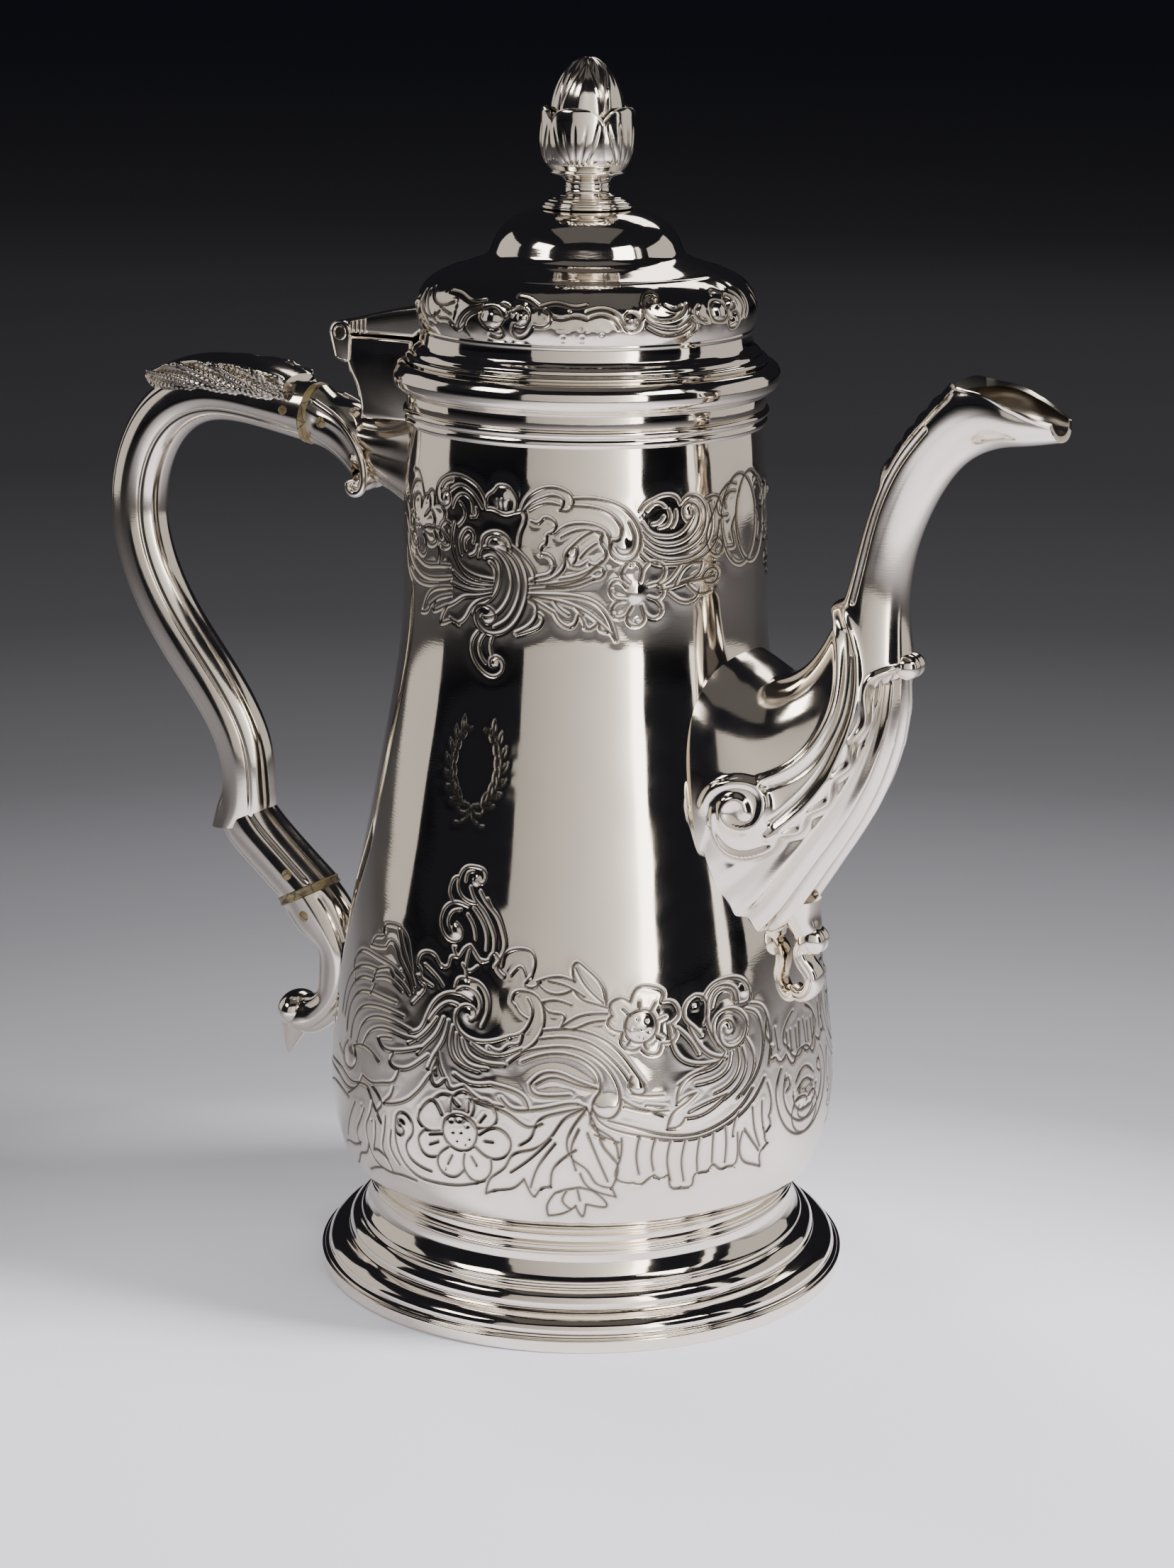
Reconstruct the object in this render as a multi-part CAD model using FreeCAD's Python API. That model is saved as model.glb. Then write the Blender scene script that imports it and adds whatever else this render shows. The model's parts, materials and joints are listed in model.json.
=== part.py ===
"""Georgian-style silver coffee pot on a stepped round foot.

Frame: millimetres, +Z up.  The origin is the centre of the circle that the foot rim stands on.
The spout points along +X, the handle along -X, and the whole pot is symmetric about the XZ plane.
"""
import FreeCAD, Part
import math
import os

V = FreeCAD.Vector
OVAL_STEPS = 8                # spans in each half of a lofted oval

# ---------------------------------------------------------------- driving dimensions
TOTAL_HEIGHT = 265.0          # standing plane to finial tip
SHEET = 1.0                   # raised silver sheet of body and lid
LID_GAP = 0.25                # between the lid flange and the rim it closes on

# foot
FOOT_TOP = 20.0
FOOT_RIM_RADIUS = 58.8
FOOT_RIM_HEIGHT = 2.8
FOOT_SHEET = 1.4
NECK_RING_RADIUS = 47.4

# body: outer radius against height, from the foot to the mouth
BASE_DISC_THICKNESS = 1.2
BODY_BOTTOM = FOOT_TOP + BASE_DISC_THICKNESS
BODY_TOP = 202.0
BODY_OUTER = [
    (46.4, BODY_BOTTOM), (51.2, 24.6), (54.3, 31.0), (55.8, 41.0), (55.3, 54.0), (53.3, 69.0),
    (50.7, 84.0), (47.4, 100.0), (43.9, 118.0), (41.0, 134.0), (39.4, 147.0), (39.1, 164.0),
    (38.4, 179.0), (37.6, 190.0), (37.6, BODY_TOP),
]

# mouldings round the mouth
REEDING_BOTTOM = 188.8
REEDING_HEIGHT = 3.8
REEDING_RADIUS = 39.0
BAND_HEIGHT = 2.9
BAND_RADIUS = 38.3
RIM_RADIUS = 41.3

# lid
LID_BOTTOM = BODY_TOP + LID_GAP
LID_TOP = 234.0
LID_FLANGE_RADIUS = 38.5
BEZEL_CLEARANCE = 0.4
BEZEL_DEPTH = 5.0
BEZEL_WALL = 0.9

# finial
FINIAL_BASE_RADIUS = 10.0
FINIAL_BASE_TOP = 236.6
STUD_RADIUS = 1.5
NUT_ACROSS_CORNERS = 7.0
NUT_HEIGHT = 2.4

# lid hinge: axis along Y
HINGE_X = -57.7
HINGE_Z = 204.4
HINGE_HALF_WIDTH = 8.0
KNUCKLE_RADIUS = 2.7
KNUCKLE_SPLIT = 4.0           # half width of the centre knuckle's slot
KNUCKLE_GAP = 0.15
PIN_RADIUS = 1.2
PIN_CLEARANCE = 0.05

# spout
SPOUT_WALL = 1.4
STRAINER_HOLE_RADIUS = 1.5
STRAINER_PITCH = 5.2
STRAINER_HEIGHT = 112.0

# handle
UPPER_JOINT = (-69.5, 184.8)          # centre of the upper insulator, (x, z)
UPPER_JOINT_DIRECTION = (-0.985, 0.174)
LOWER_JOINT = (-73.4, 73.2)           # centre of the lower insulator, (x, z)
LOWER_JOINT_DIRECTION = (-0.46, 0.888)
INSULATOR_THICKNESS = 2.2
TENON_LENGTH = 8.0
TENON_RADIUS = 4.2
HANDLE_HALF_WIDTH = 6.3
HANDLE_PIN_RADIUS = 1.3

os.makedirs("parts", exist_ok=True)


# ---------------------------------------------------------------- helpers
def export(name, shape):
    """Write one sub-part to its own STEP file."""
    shape = shape.removeSplitter() if len(shape.Solids) > 0 else shape
    solids = shape.Solids
    body = solids[0] if len(solids) == 1 else Part.makeCompound(solids)
    body.exportStep(f"parts/{name}.step")
    print(f"{name:22s} solids {len(solids)} valid {body.isValid()} volume {body.Volume:10.1f}")
    return body


def polyline(points):
    """Edges joining (r, z) points in the XZ plane with straight lines."""
    vectors = [V(r, 0, z) for r, z in points]
    return [Part.LineSegment(a, b).toShape() for a, b in zip(vectors, vectors[1:])]


def smooth(points):
    """One smooth edge through (r, z) points in the XZ plane."""
    curve = Part.BSplineCurve()
    curve.interpolate([V(r, 0, z) for r, z in points])
    return curve.toShape()


def revolve(edges):
    """Turn a closed outline about the pot's axis."""
    face = Part.Face(Part.Wire(Part.__sortEdges__(edges)))
    return face.revolve(V(0, 0, 0), V(0, 0, 1), 360)


def turned(points):
    """A turned solid whose outline is the closed polygon of (r, z) points."""
    return revolve(polyline(points + points[:1]))


def shell_outline(outer, thickness):
    """Closed outline between a smooth outer line and the same line set inwards."""
    inner = [(max(r - thickness, 0.0), z) for r, z in outer]
    ends = polyline([outer[0], inner[0]]) + polyline([outer[-1], inner[-1]])
    return [smooth(outer), smooth(inner)] + ends


def round_bar(start, end, radius):
    """A cylinder from one point to another."""
    axis = end - start
    return Part.makeCylinder(radius, axis.Length, start, axis)


def oval(back, front, half_width):
    """Closed oval of two halves, standing across the XZ plane between two (x, z) points."""
    cx, cz = (back[0] + front[0]) / 2, (back[1] + front[1]) / 2
    dx, dz = (back[0] - front[0]) / 2, (back[1] - front[1]) / 2
    halves = []
    for start, side in ((0.0, 1), (math.pi, -1)):
        points = []
        for i in range(OVAL_STEPS + 1):
            t = start + math.pi * i / OVAL_STEPS
            points.append(V(cx + dx * math.cos(t), half_width * math.sin(t), cz + dz * math.cos(t)))
        curve = Part.BSplineCurve()
        curve.interpolate(Points=points, InitialTangent=V(0, side, 0), FinalTangent=V(0, -side, 0))
        halves.append(curve.toShape())
    return Part.Wire(halves)


def tube_sections(stations, shrink=0.0):
    """Ovals for a loft: each station is (back, front, half width), drawn in by shrink."""
    wires = []
    for back, front, half_width in stations:
        length = math.hypot(back[0] - front[0], back[1] - front[1])
        k = shrink / length
        b = (back[0] + (front[0] - back[0]) * k, back[1] + (front[1] - back[1]) * k)
        f = (front[0] - (front[0] - back[0]) * k, front[1] - (front[1] - back[1]) * k)
        wires.append(oval(b, f, half_width - shrink))
    return wires


def along(joint, direction, distance):
    """The (x, z) point a distance from a joint centre along its direction."""
    return (joint[0] + direction[0] * distance, joint[1] + direction[1] * distance)


def across(joint, direction, distance, half_depth, half_width):
    """A loft station square to a direction, a distance along it from the joint centre."""
    cx, cz = along(joint, direction, distance)
    nx, nz = -direction[1], direction[0]
    back = (cx + nx * half_depth, cz + nz * half_depth)
    front = (cx - nx * half_depth, cz - nz * half_depth)
    return (back, front, half_width)


def path_stations(path, half_depths, half_width):
    """Loft stations square to a path of (x, z) points, one half depth for each point."""
    stations = []
    for i, point in enumerate(path):
        before, after = path[max(i - 1, 0)], path[min(i + 1, len(path) - 1)]
        run = math.hypot(after[0] - before[0], after[1] - before[1])
        direction = ((after[0] - before[0]) / run, (after[1] - before[1]) / run)
        stations.append(across(point, direction, 0.0, half_depths[i], half_width))
    return stations


def plate(points, y_low, y_high):
    """A flat plate with an (x, z) outline, between two Y planes."""
    vectors = [V(x, y_low, z) for x, z in points + points[:1]]
    face = Part.Face(Part.makePolygon(vectors))
    return face.extrude(V(0, y_high - y_low, 0))


def body_envelope():
    """The solid that the outside of the body encloses, used to trim what is soldered to it."""
    edges = [smooth(BODY_OUTER)] + polyline([BODY_OUTER[-1], (0, BODY_TOP)])
    edges += polyline([(0, BODY_TOP), (0, BODY_BOTTOM), BODY_OUTER[0]])
    return revolve(edges)


def largest(shape):
    """The biggest solid of a shape, which drops loose crumbs left by a cut."""
    return max(shape.Solids, key=lambda solid: solid.Volume)


# ---------------------------------------------------------------- foot and body
def make_foot_rim():
    """Plain wire that the pot stands on."""
    inner = FOOT_RIM_RADIUS - 3.6
    return turned([(inner, 0), (FOOT_RIM_RADIUS, 0), (FOOT_RIM_RADIUS, FOOT_RIM_HEIGHT),
                   (inner, FOOT_RIM_HEIGHT)])


def make_foot():
    """Spread foot of two steps and a hollow neck, open underneath."""
    t = FOOT_SHEET
    outer = [(FOOT_RIM_RADIUS - 0.6, FOOT_RIM_HEIGHT), (57.2, 3.9), (56.0, 4.3), (55.2, 6.2), (53.4, 6.9),
             (52.6, 7.2), (51.6, 9.6), (49.6, 10.8), (48.9, 11.4), (46.9, 14.4), (46.1, 17.6)]
    inner = [(r - t, z - 0.4 * t) for r, z in outer[2:-1]]
    start = [(FOOT_RIM_RADIUS - 3.4, FOOT_RIM_HEIGHT)]
    end = [(outer[-1][0] - t, outer[-1][1])]
    return turned(start + outer + end + inner[::-1])


def make_neck_ring():
    """Applied double fillet where the foot meets the body."""
    inner = 46.1 - 1.4 * FOOT_SHEET
    bottom = 17.6
    return turned([(inner, bottom), (46.9, bottom), (NECK_RING_RADIUS, 18.2), (46.9, 18.9),
                   (46.9, 19.2), (NECK_RING_RADIUS, 19.6), (46.8, FOOT_TOP), (inner, FOOT_TOP)])


def make_base_disc():
    """Flat bottom of the pot, soldered under the body wall."""
    disc = Part.makeCylinder(BODY_OUTER[0][0], BASE_DISC_THICKNESS)
    disc.translate(V(0, 0, FOOT_TOP))
    return disc


def strainer_holes():
    """Drills for the hexagonal field of holes between the body and the spout."""
    drills = []
    for row in range(-2, 3):
        count = 5 - abs(row)
        for i in range(count):
            y = (i - (count - 1) / 2) * STRAINER_PITCH
            z = STRAINER_HEIGHT + row * STRAINER_PITCH * math.sin(math.radians(60))
            drills.append(round_bar(V(30, y, z), V(60, y, z), STRAINER_HOLE_RADIUS))
    return drills


def make_body():
    """Raised baluster body: full at the base, tapering up to a straight neck."""
    shell = revolve(shell_outline(BODY_OUTER, SHEET))
    return shell.cut(Part.makeCompound(strainer_holes()))


def make_reeding():
    """Applied wire of two reeds below the plain band."""
    low, high, inner = REEDING_BOTTOM, REEDING_BOTTOM + REEDING_HEIGHT, 37.6
    mid = (low + high) / 2
    points = [(inner, low), (38.1, low)]
    arcs = [Part.Arc(V(38.1, 0, low), V(REEDING_RADIUS - 0.3, 0, low + REEDING_HEIGHT / 4), V(38.2, 0, mid)),
            Part.Arc(V(38.2, 0, mid), V(REEDING_RADIUS, 0, mid + REEDING_HEIGHT / 4), V(38.2, 0, high))]
    edges = polyline(points) + [a.toShape() for a in arcs]
    edges += polyline([(38.2, high), (inner, high), points[0]])
    return revolve(edges).cut(body_envelope())


def make_rim_band():
    """Plain band between the reeding and the rim moulding."""
    low = REEDING_BOTTOM + REEDING_HEIGHT
    high = low + BAND_HEIGHT
    return turned([(37.6, low), (BAND_RADIUS, low), (BAND_RADIUS, high), (37.6, high)])


def make_rim_moulding():
    """Bold half-round moulding round the mouth."""
    low = REEDING_BOTTOM + REEDING_HEIGHT + BAND_HEIGHT
    inner, shoulder = 37.6, 38.5
    mid = (low + BODY_TOP) / 2
    arc = Part.Arc(V(shoulder, 0, low), V(RIM_RADIUS, 0, mid), V(shoulder, 0, BODY_TOP))
    edges = polyline([(shoulder, BODY_TOP), (inner, BODY_TOP), (inner, low), (shoulder, low)])
    return revolve(edges + [arc.toShape()])


# ---------------------------------------------------------------- lid
def make_lid():
    """Raised lid: stepped flange, straight band, bulging border, shoulder and dome."""
    t = SHEET
    flange = [(LID_FLANGE_RADIUS, LID_BOTTOM), (LID_FLANGE_RADIUS, 203.3), (37.2, 203.5), (37.0, 204.4),
              (36.0, 204.8), (35.2, 206.4), (35.1, 209.4)]
    border = [(35.1, 209.4), (36.1, 212.0), (35.7, 215.6), (33.6, 218.9), (30.6, 220.7), (29.1, 221.0)]
    dome = [(29.1, 221.0), (24.2, 222.9), (20.9, 224.4), (19.3, 227.6), (16.4, 231.0), (12.0, 233.4),
            (7.5, LID_TOP)]
    hole = STUD_RADIUS
    inner_dome = [(hole, LID_TOP - t), (7.5, LID_TOP - t), (11.4, 232.3), (15.5, 230.1), (18.2, 227.0),
                  (19.8, 223.5), (23.8, 221.8), (28.8, 219.9)]
    inner_side = [(30.2, 219.6), (32.8, 218.0), (34.6, 215.2), (35.0, 212.0), (34.0, 209.4),
                  (34.0, LID_BOTTOM)]
    edges = polyline(flange) + [smooth(border), smooth(dome)]
    edges += polyline([(7.5, LID_TOP), (hole, LID_TOP), (hole, LID_TOP - t)])
    edges += polyline(inner_dome + inner_side)
    edges += polyline([inner_side[-1], (LID_FLANGE_RADIUS, LID_BOTTOM)])
    return revolve(edges)


def make_bezel():
    """Thin ring under the lid that drops inside the mouth."""
    outer = 37.6 - SHEET - BEZEL_CLEARANCE
    low = LID_BOTTOM - BEZEL_DEPTH
    inner = outer - BEZEL_WALL
    return turned([(inner, low), (outer, low), (outer, LID_BOTTOM), (inner, LID_BOTTOM)])


def make_finial_base(lid):
    """Stepped round plate under the finial, shaped to sit on the lid."""
    plate_outline = [(STUD_RADIUS, LID_TOP), (FINIAL_BASE_RADIUS, LID_TOP), (FINIAL_BASE_RADIUS, 235.2),
                     (8.8, 235.4), (8.6, 236.0), (7.8, 236.2), (7.6, FINIAL_BASE_TOP),
                     (STUD_RADIUS, FINIAL_BASE_TOP)]
    return largest(turned(plate_outline).cut(lid))


def make_finial():
    """Bud rising out of a leafy cup on a waisted stem, tapped below for the stud."""
    profile = [(4.6, FINIAL_BASE_TOP), (4.5, 238.4), (7.6, 241.0), (9.8, 244.6), (10.3, 249.0), (8.6, 253.6),
               (7.0, 256.6), (5.6, 260.2), (3.0, 263.6), (0, TOTAL_HEIGHT)]
    socket_top = FINIAL_BASE_TOP + 7.0
    edges = [smooth(profile)]
    edges += polyline([(0, TOTAL_HEIGHT), (0, socket_top), (STUD_RADIUS, socket_top),
                       (STUD_RADIUS, FINIAL_BASE_TOP), profile[0]])
    return revolve(edges)


def make_finial_stud():
    """Threaded rod from the finial down through the lid."""
    low, high = LID_TOP - SHEET - NUT_HEIGHT - 0.8, FINIAL_BASE_TOP + 7.0
    return round_bar(V(0, 0, low), V(0, 0, high), STUD_RADIUS)


def make_finial_nut():
    """Small hexagon nut inside the lid."""
    high = LID_TOP - SHEET
    radius = NUT_ACROSS_CORNERS / 2
    angles = [math.radians(60 * i) for i in range(7)]
    corners = [V(radius * math.cos(a), radius * math.sin(a), high - NUT_HEIGHT) for a in angles]
    nut = Part.Face(Part.makePolygon(corners)).extrude(V(0, 0, NUT_HEIGHT))
    return nut.cut(round_bar(V(0, 0, high - 2 * NUT_HEIGHT), V(0, 0, high + 1), STUD_RADIUS))


# ---------------------------------------------------------------- hinge
def knuckle(y_low, y_high, radius):
    """A round bar on the hinge axis."""
    return round_bar(V(HINGE_X, y_low, HINGE_Z), V(HINGE_X, y_high, HINGE_Z), radius)


def make_hinge_pin():
    """Plain pin right through the hinge."""
    return knuckle(-HINGE_HALF_WIDTH, HINGE_HALF_WIDTH, PIN_RADIUS)


def make_hinge_bracket():
    """Standing bracket from the rim and the upper socket out to the two outer knuckles."""
    top = HINGE_Z - 0.35
    outline = [(-36.0, top), (HINGE_X + 1.0, top), (HINGE_X - 2.3, HINGE_Z - 1.0), (-58.9, 198.4),
               (-56.9, 197.6), (-54.6, 194.2), (-53.6, 190.2), (-54.0, 186.0), (-36.0, 186.0)]
    web = plate(outline, -HINGE_HALF_WIDTH, HINGE_HALF_WIDTH)
    outer = knuckle(-HINGE_HALF_WIDTH, HINGE_HALF_WIDTH, KNUCKLE_RADIUS)
    slot_half = KNUCKLE_SPLIT
    slot = knuckle(-slot_half, slot_half, KNUCKLE_RADIUS + 0.3)
    slot = slot.fuse(Part.makeBox(8.0, 2 * slot_half, 6.0, V(HINGE_X - 8.0, -slot_half, HINGE_Z - 3.0)))
    bracket = web.fuse(outer).cut(slot)
    bracket = bracket.cut(knuckle(-20, 20, PIN_RADIUS))
    for soldered_to in (body_envelope(), make_reeding(), make_rim_band(), make_rim_moulding()):
        bracket = bracket.cut(soldered_to)
    lid_room = Part.makeCylinder(LID_FLANGE_RADIUS + LID_GAP, 10.0, V(0, 0, BODY_TOP))
    return largest(bracket.cut(lid_room))


def make_hinge_leaf(lid):
    """Lid side of the hinge: centre knuckle and a tapered plate up to the lid border."""
    low = HINGE_Z - 0.1
    half = HINGE_HALF_WIDTH
    outline = [(HINGE_X + KNUCKLE_RADIUS + 0.5, low), (HINGE_X + KNUCKLE_RADIUS + 0.5, 208.0),
               (-38.5, 211.4), (-33.0, 211.8), (-33.0, low)]
    leaf = plate(outline, -half, half)
    neck_end = HINGE_X + KNUCKLE_RADIUS + 1.0
    neck_outline = [(HINGE_X, low), (HINGE_X, HINGE_Z + KNUCKLE_RADIUS), (neck_end, 208.0), (neck_end, low)]
    inner_half = KNUCKLE_SPLIT - KNUCKLE_GAP
    leaf = leaf.fuse(plate(neck_outline, -inner_half, inner_half))
    leaf = leaf.fuse(knuckle(-inner_half, inner_half, KNUCKLE_RADIUS))
    leaf = leaf.cut(knuckle(-20, 20, PIN_RADIUS + PIN_CLEARANCE))
    return largest(leaf.cut(lid))


# ---------------------------------------------------------------- spout
SPOUT_STATIONS = [
    ((35.0, 145.5), (44.0, 77.0), 22.5),
    ((41.0, 142.5), (53.0, 85.0), 22.0),
    ((46.5, 139.6), (62.0, 98.0), 19.0),
    ((51.0, 140.2), (71.0, 112.5), 15.0),
    ((55.5, 143.5), (76.5, 127.0), 11.5),
    ((59.5, 149.5), (77.8, 140.5), 8.8),
    ((63.2, 157.8), (76.4, 154.5), 6.8),
    ((65.9, 167.4), (77.2, 165.6), 6.1),
    ((68.6, 177.2), (79.6, 173.8), 6.0),
    ((73.6, 188.6), (83.6, 181.8), 6.3),
    ((80.4, 197.6), (88.9, 188.0), 7.2),
    ((88.4, 205.0), (95.6, 191.2), 8.4),
    ((98.0, 208.0), (102.4, 192.2), 8.8),
    ((107.0, 205.0), (109.2, 193.4), 6.2),
]
MOUTH_LINE = ((87.0, 207.2), (111.5, 195.6))


def mouth_cutter():
    """Block above the slanting line where the spout is cut open."""
    (x0, z0), (x1, z1) = MOUTH_LINE
    return plate([(x0, z0), (x1, z1), (x1, z0 + 20), (x0, z0 + 20)], -20, 20)


def make_spout():
    """Swan-neck spout, hollow from the shell at its root to the open lip."""
    outer = Part.makeLoft(tube_sections(SPOUT_STATIONS), True)
    root = ((28.0, 146.0), (37.0, 76.0), 22.5)
    lip = ((109.0, 206.0), (111.4, 194.0), 6.0)
    inner = Part.makeLoft(tube_sections([root] + SPOUT_STATIONS[:-1] + [lip], SPOUT_WALL), True)
    return outer.cut(inner).cut(body_envelope()).cut(mouth_cutter())


def make_spout_half(spout, side):
    """One cast half of the spout, joined to the other along the XZ plane."""
    y_low = 0.0 if side > 0 else -60.0
    return spout.common(Part.makeBox(160.0, 60.0, 200.0, V(0, y_low, 50.0)))


def make_spout_drop():
    """Scrolled drop below the spout's root."""
    stem = Part.makeLoft(tube_sections([((48.0, 84.0), (58.5, 84.0), 6.0), ((48.0, 78.0), (57.0, 77.0), 4.2),
                                        ((48.0, 72.0), (56.4, 71.0), 3.2)]), True)
    curl = round_bar(V(54.6, -3.4, 69.4), V(54.6, 3.4, 69.4), 2.9)
    knob = round_bar(V(57.0, -3.8, 82.0), V(57.0, 3.8, 82.0), 3.2)
    return stem.fuse(curl).fuse(knob).cut(body_envelope())


# ---------------------------------------------------------------- handle
def mortise(joint, direction, sign, clearance=0.0):
    """Bore that takes one tenon of an insulator, on one side of the joint."""
    start = along(joint, direction, sign * INSULATOR_THICKNESS / 2)
    end = along(joint, direction, sign * (INSULATOR_THICKNESS / 2 + TENON_LENGTH))
    return round_bar(V(start[0], 0, start[1]), V(end[0], 0, end[1]), TENON_RADIUS + clearance)


def pin_hole(joint, direction, sign):
    """Cross pin through one tenon and the silver round it."""
    x, z = along(joint, direction, sign * (INSULATOR_THICKNESS / 2 + 0.5 * TENON_LENGTH))
    return round_bar(V(x, -HANDLE_HALF_WIDTH - 0.3, z), V(x, HANDLE_HALF_WIDTH + 0.3, z), HANDLE_PIN_RADIUS)


def make_insulator(joint, direction, half_depth):
    """Ivory ring with a tenon on each side, which keeps heat from the handle."""
    half = INSULATOR_THICKNESS / 2
    ends = [across(joint, direction, side * half, half_depth, HANDLE_HALF_WIDTH + 0.1) for side in (-1, 1)]
    ring = Part.makeLoft(tube_sections(ends), True)
    ring = ring.fuse(mortise(joint, direction, 1)).fuse(mortise(joint, direction, -1))
    return ring.cut(pin_hole(joint, direction, 1)).cut(pin_hole(joint, direction, -1))


UPPER_HALF_DEPTH = 6.7
LOWER_HALF_DEPTH = 7.6
HANDLE_PATH = [(-83.0, 186.6), (-97.5, 187.2), (-110.5, 181.5), (-117.8, 170.0), (-119.4, 156.5),
               (-115.6, 142.8), (-107.6, 129.8), (-97.4, 117.0), (-91.0, 105.0), (-90.0, 95.0), (-92.8, 87.0)]
HANDLE_DEPTHS = [6.2, 6.2, 6.6, 6.8, 6.8, 6.8, 6.9, 6.8, 6.6, 6.6, 5.2]
TAIL_PATH = [(-92.4, 90.0), (-86.4, 85.6), (-80.0, 80.2)]
TAIL_DEPTHS = [6.4, 7.0, 7.3]
CURL_PATH = [(-64.5, 58.0), (-63.5, 49.0), (-66.5, 42.0), (-71.0, 39.6), (-75.0, 40.6)]
CURL_DEPTHS = [6.0, 5.0, 4.0, 3.2, 3.0]


def make_handle():
    """Upper C scroll of the handle, down to its pointed spur."""
    half = INSULATOR_THICKNESS / 2
    stations = [across(UPPER_JOINT, UPPER_JOINT_DIRECTION, half, UPPER_HALF_DEPTH, HANDLE_HALF_WIDTH)]
    stations += path_stations(HANDLE_PATH, HANDLE_DEPTHS, HANDLE_HALF_WIDTH)
    scroll = Part.makeLoft(tube_sections(stations), True)
    scroll = scroll.cut(mortise(UPPER_JOINT, UPPER_JOINT_DIRECTION, 1))
    return scroll.cut(pin_hole(UPPER_JOINT, UPPER_JOINT_DIRECTION, 1))


def make_handle_tail(handle):
    """Lower section of the handle, stepped out of the spur."""
    half = INSULATOR_THICKNESS / 2
    stations = path_stations(TAIL_PATH, TAIL_DEPTHS, HANDLE_HALF_WIDTH - 0.2)
    stations += [across(LOWER_JOINT, LOWER_JOINT_DIRECTION, half, LOWER_HALF_DEPTH, HANDLE_HALF_WIDTH)]
    tail = Part.makeLoft(tube_sections(stations), True)
    tail = tail.cut(handle).cut(mortise(LOWER_JOINT, LOWER_JOINT_DIRECTION, 1))
    tail = tail.cut(pin_hole(LOWER_JOINT, LOWER_JOINT_DIRECTION, 1))
    return largest(tail)


def make_leaf(handle):
    """Leaf thumbpiece lying along the top of the handle."""
    stations = [((-74.5, 193.6), (-74.0, 187.0), 6.9), ((-84.0, 196.0), (-84.0, 187.0), 8.2),
                ((-96.0, 196.4), (-96.0, 187.6), 8.0), ((-106.0, 194.6), (-107.6, 186.0), 6.2),
                ((-116.2, 190.6), (-115.6, 188.2), 1.6)]
    leaf = Part.makeLoft(tube_sections(stations), True).cut(handle)
    return largest(leaf)


def make_upper_socket():
    """Socket soldered to the neck of the body, ending in a small scroll below."""
    half = INSULATOR_THICKNESS / 2
    stations = [across(UPPER_JOINT, UPPER_JOINT_DIRECTION, -half, UPPER_HALF_DEPTH, HANDLE_HALF_WIDTH),
                ((-58.5, 188.4), (-61.0, 175.2), 6.6), ((-48.0, 187.6), (-51.0, 170.4), 7.6),
                ((-33.0, 188.0), (-33.0, 164.0), 9.0)]
    socket = Part.makeLoft(tube_sections(stations), True)
    curl = round_bar(V(-53.4, -6.8, 171.6), V(-53.4, 6.8, 171.6), 2.6)
    socket = socket.fuse(curl).cut(body_envelope())
    socket = socket.cut(mortise(UPPER_JOINT, UPPER_JOINT_DIRECTION, -1))
    socket = socket.cut(pin_hole(UPPER_JOINT, UPPER_JOINT_DIRECTION, -1))
    return socket.cut(make_reeding())


def make_lower_socket():
    """Socket soldered low on the body, with a rolled ball and a leaf tip as its end."""
    half = INSULATOR_THICKNESS / 2
    stations = [across(LOWER_JOINT, LOWER_JOINT_DIRECTION, -half, LOWER_HALF_DEPTH, HANDLE_HALF_WIDTH),
                ((-61.5, 69.5), (-75.0, 62.5), 6.2), ((-57.0, 64.0), (-70.5, 56.0), 6.2),
                ((-49.0, 62.0), (-65.0, 45.0), 6.4)]
    socket = Part.makeLoft(tube_sections(stations), True)
    neck = Part.makeLoft(tube_sections(path_stations(CURL_PATH, CURL_DEPTHS, 5.2)), True)
    ball = Part.makeSphere(5.0, V(-75.4, 0, 43.0))
    tip = Part.makeCone(3.2, 0.4, 9.0, V(-76.5, 0, 41.0), V(-0.32, 0, -0.95))
    socket = socket.fuse(neck).fuse(ball).fuse(tip).cut(body_envelope())
    socket = socket.cut(mortise(LOWER_JOINT, LOWER_JOINT_DIRECTION, -1))
    return socket.cut(pin_hole(LOWER_JOINT, LOWER_JOINT_DIRECTION, -1))


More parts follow.
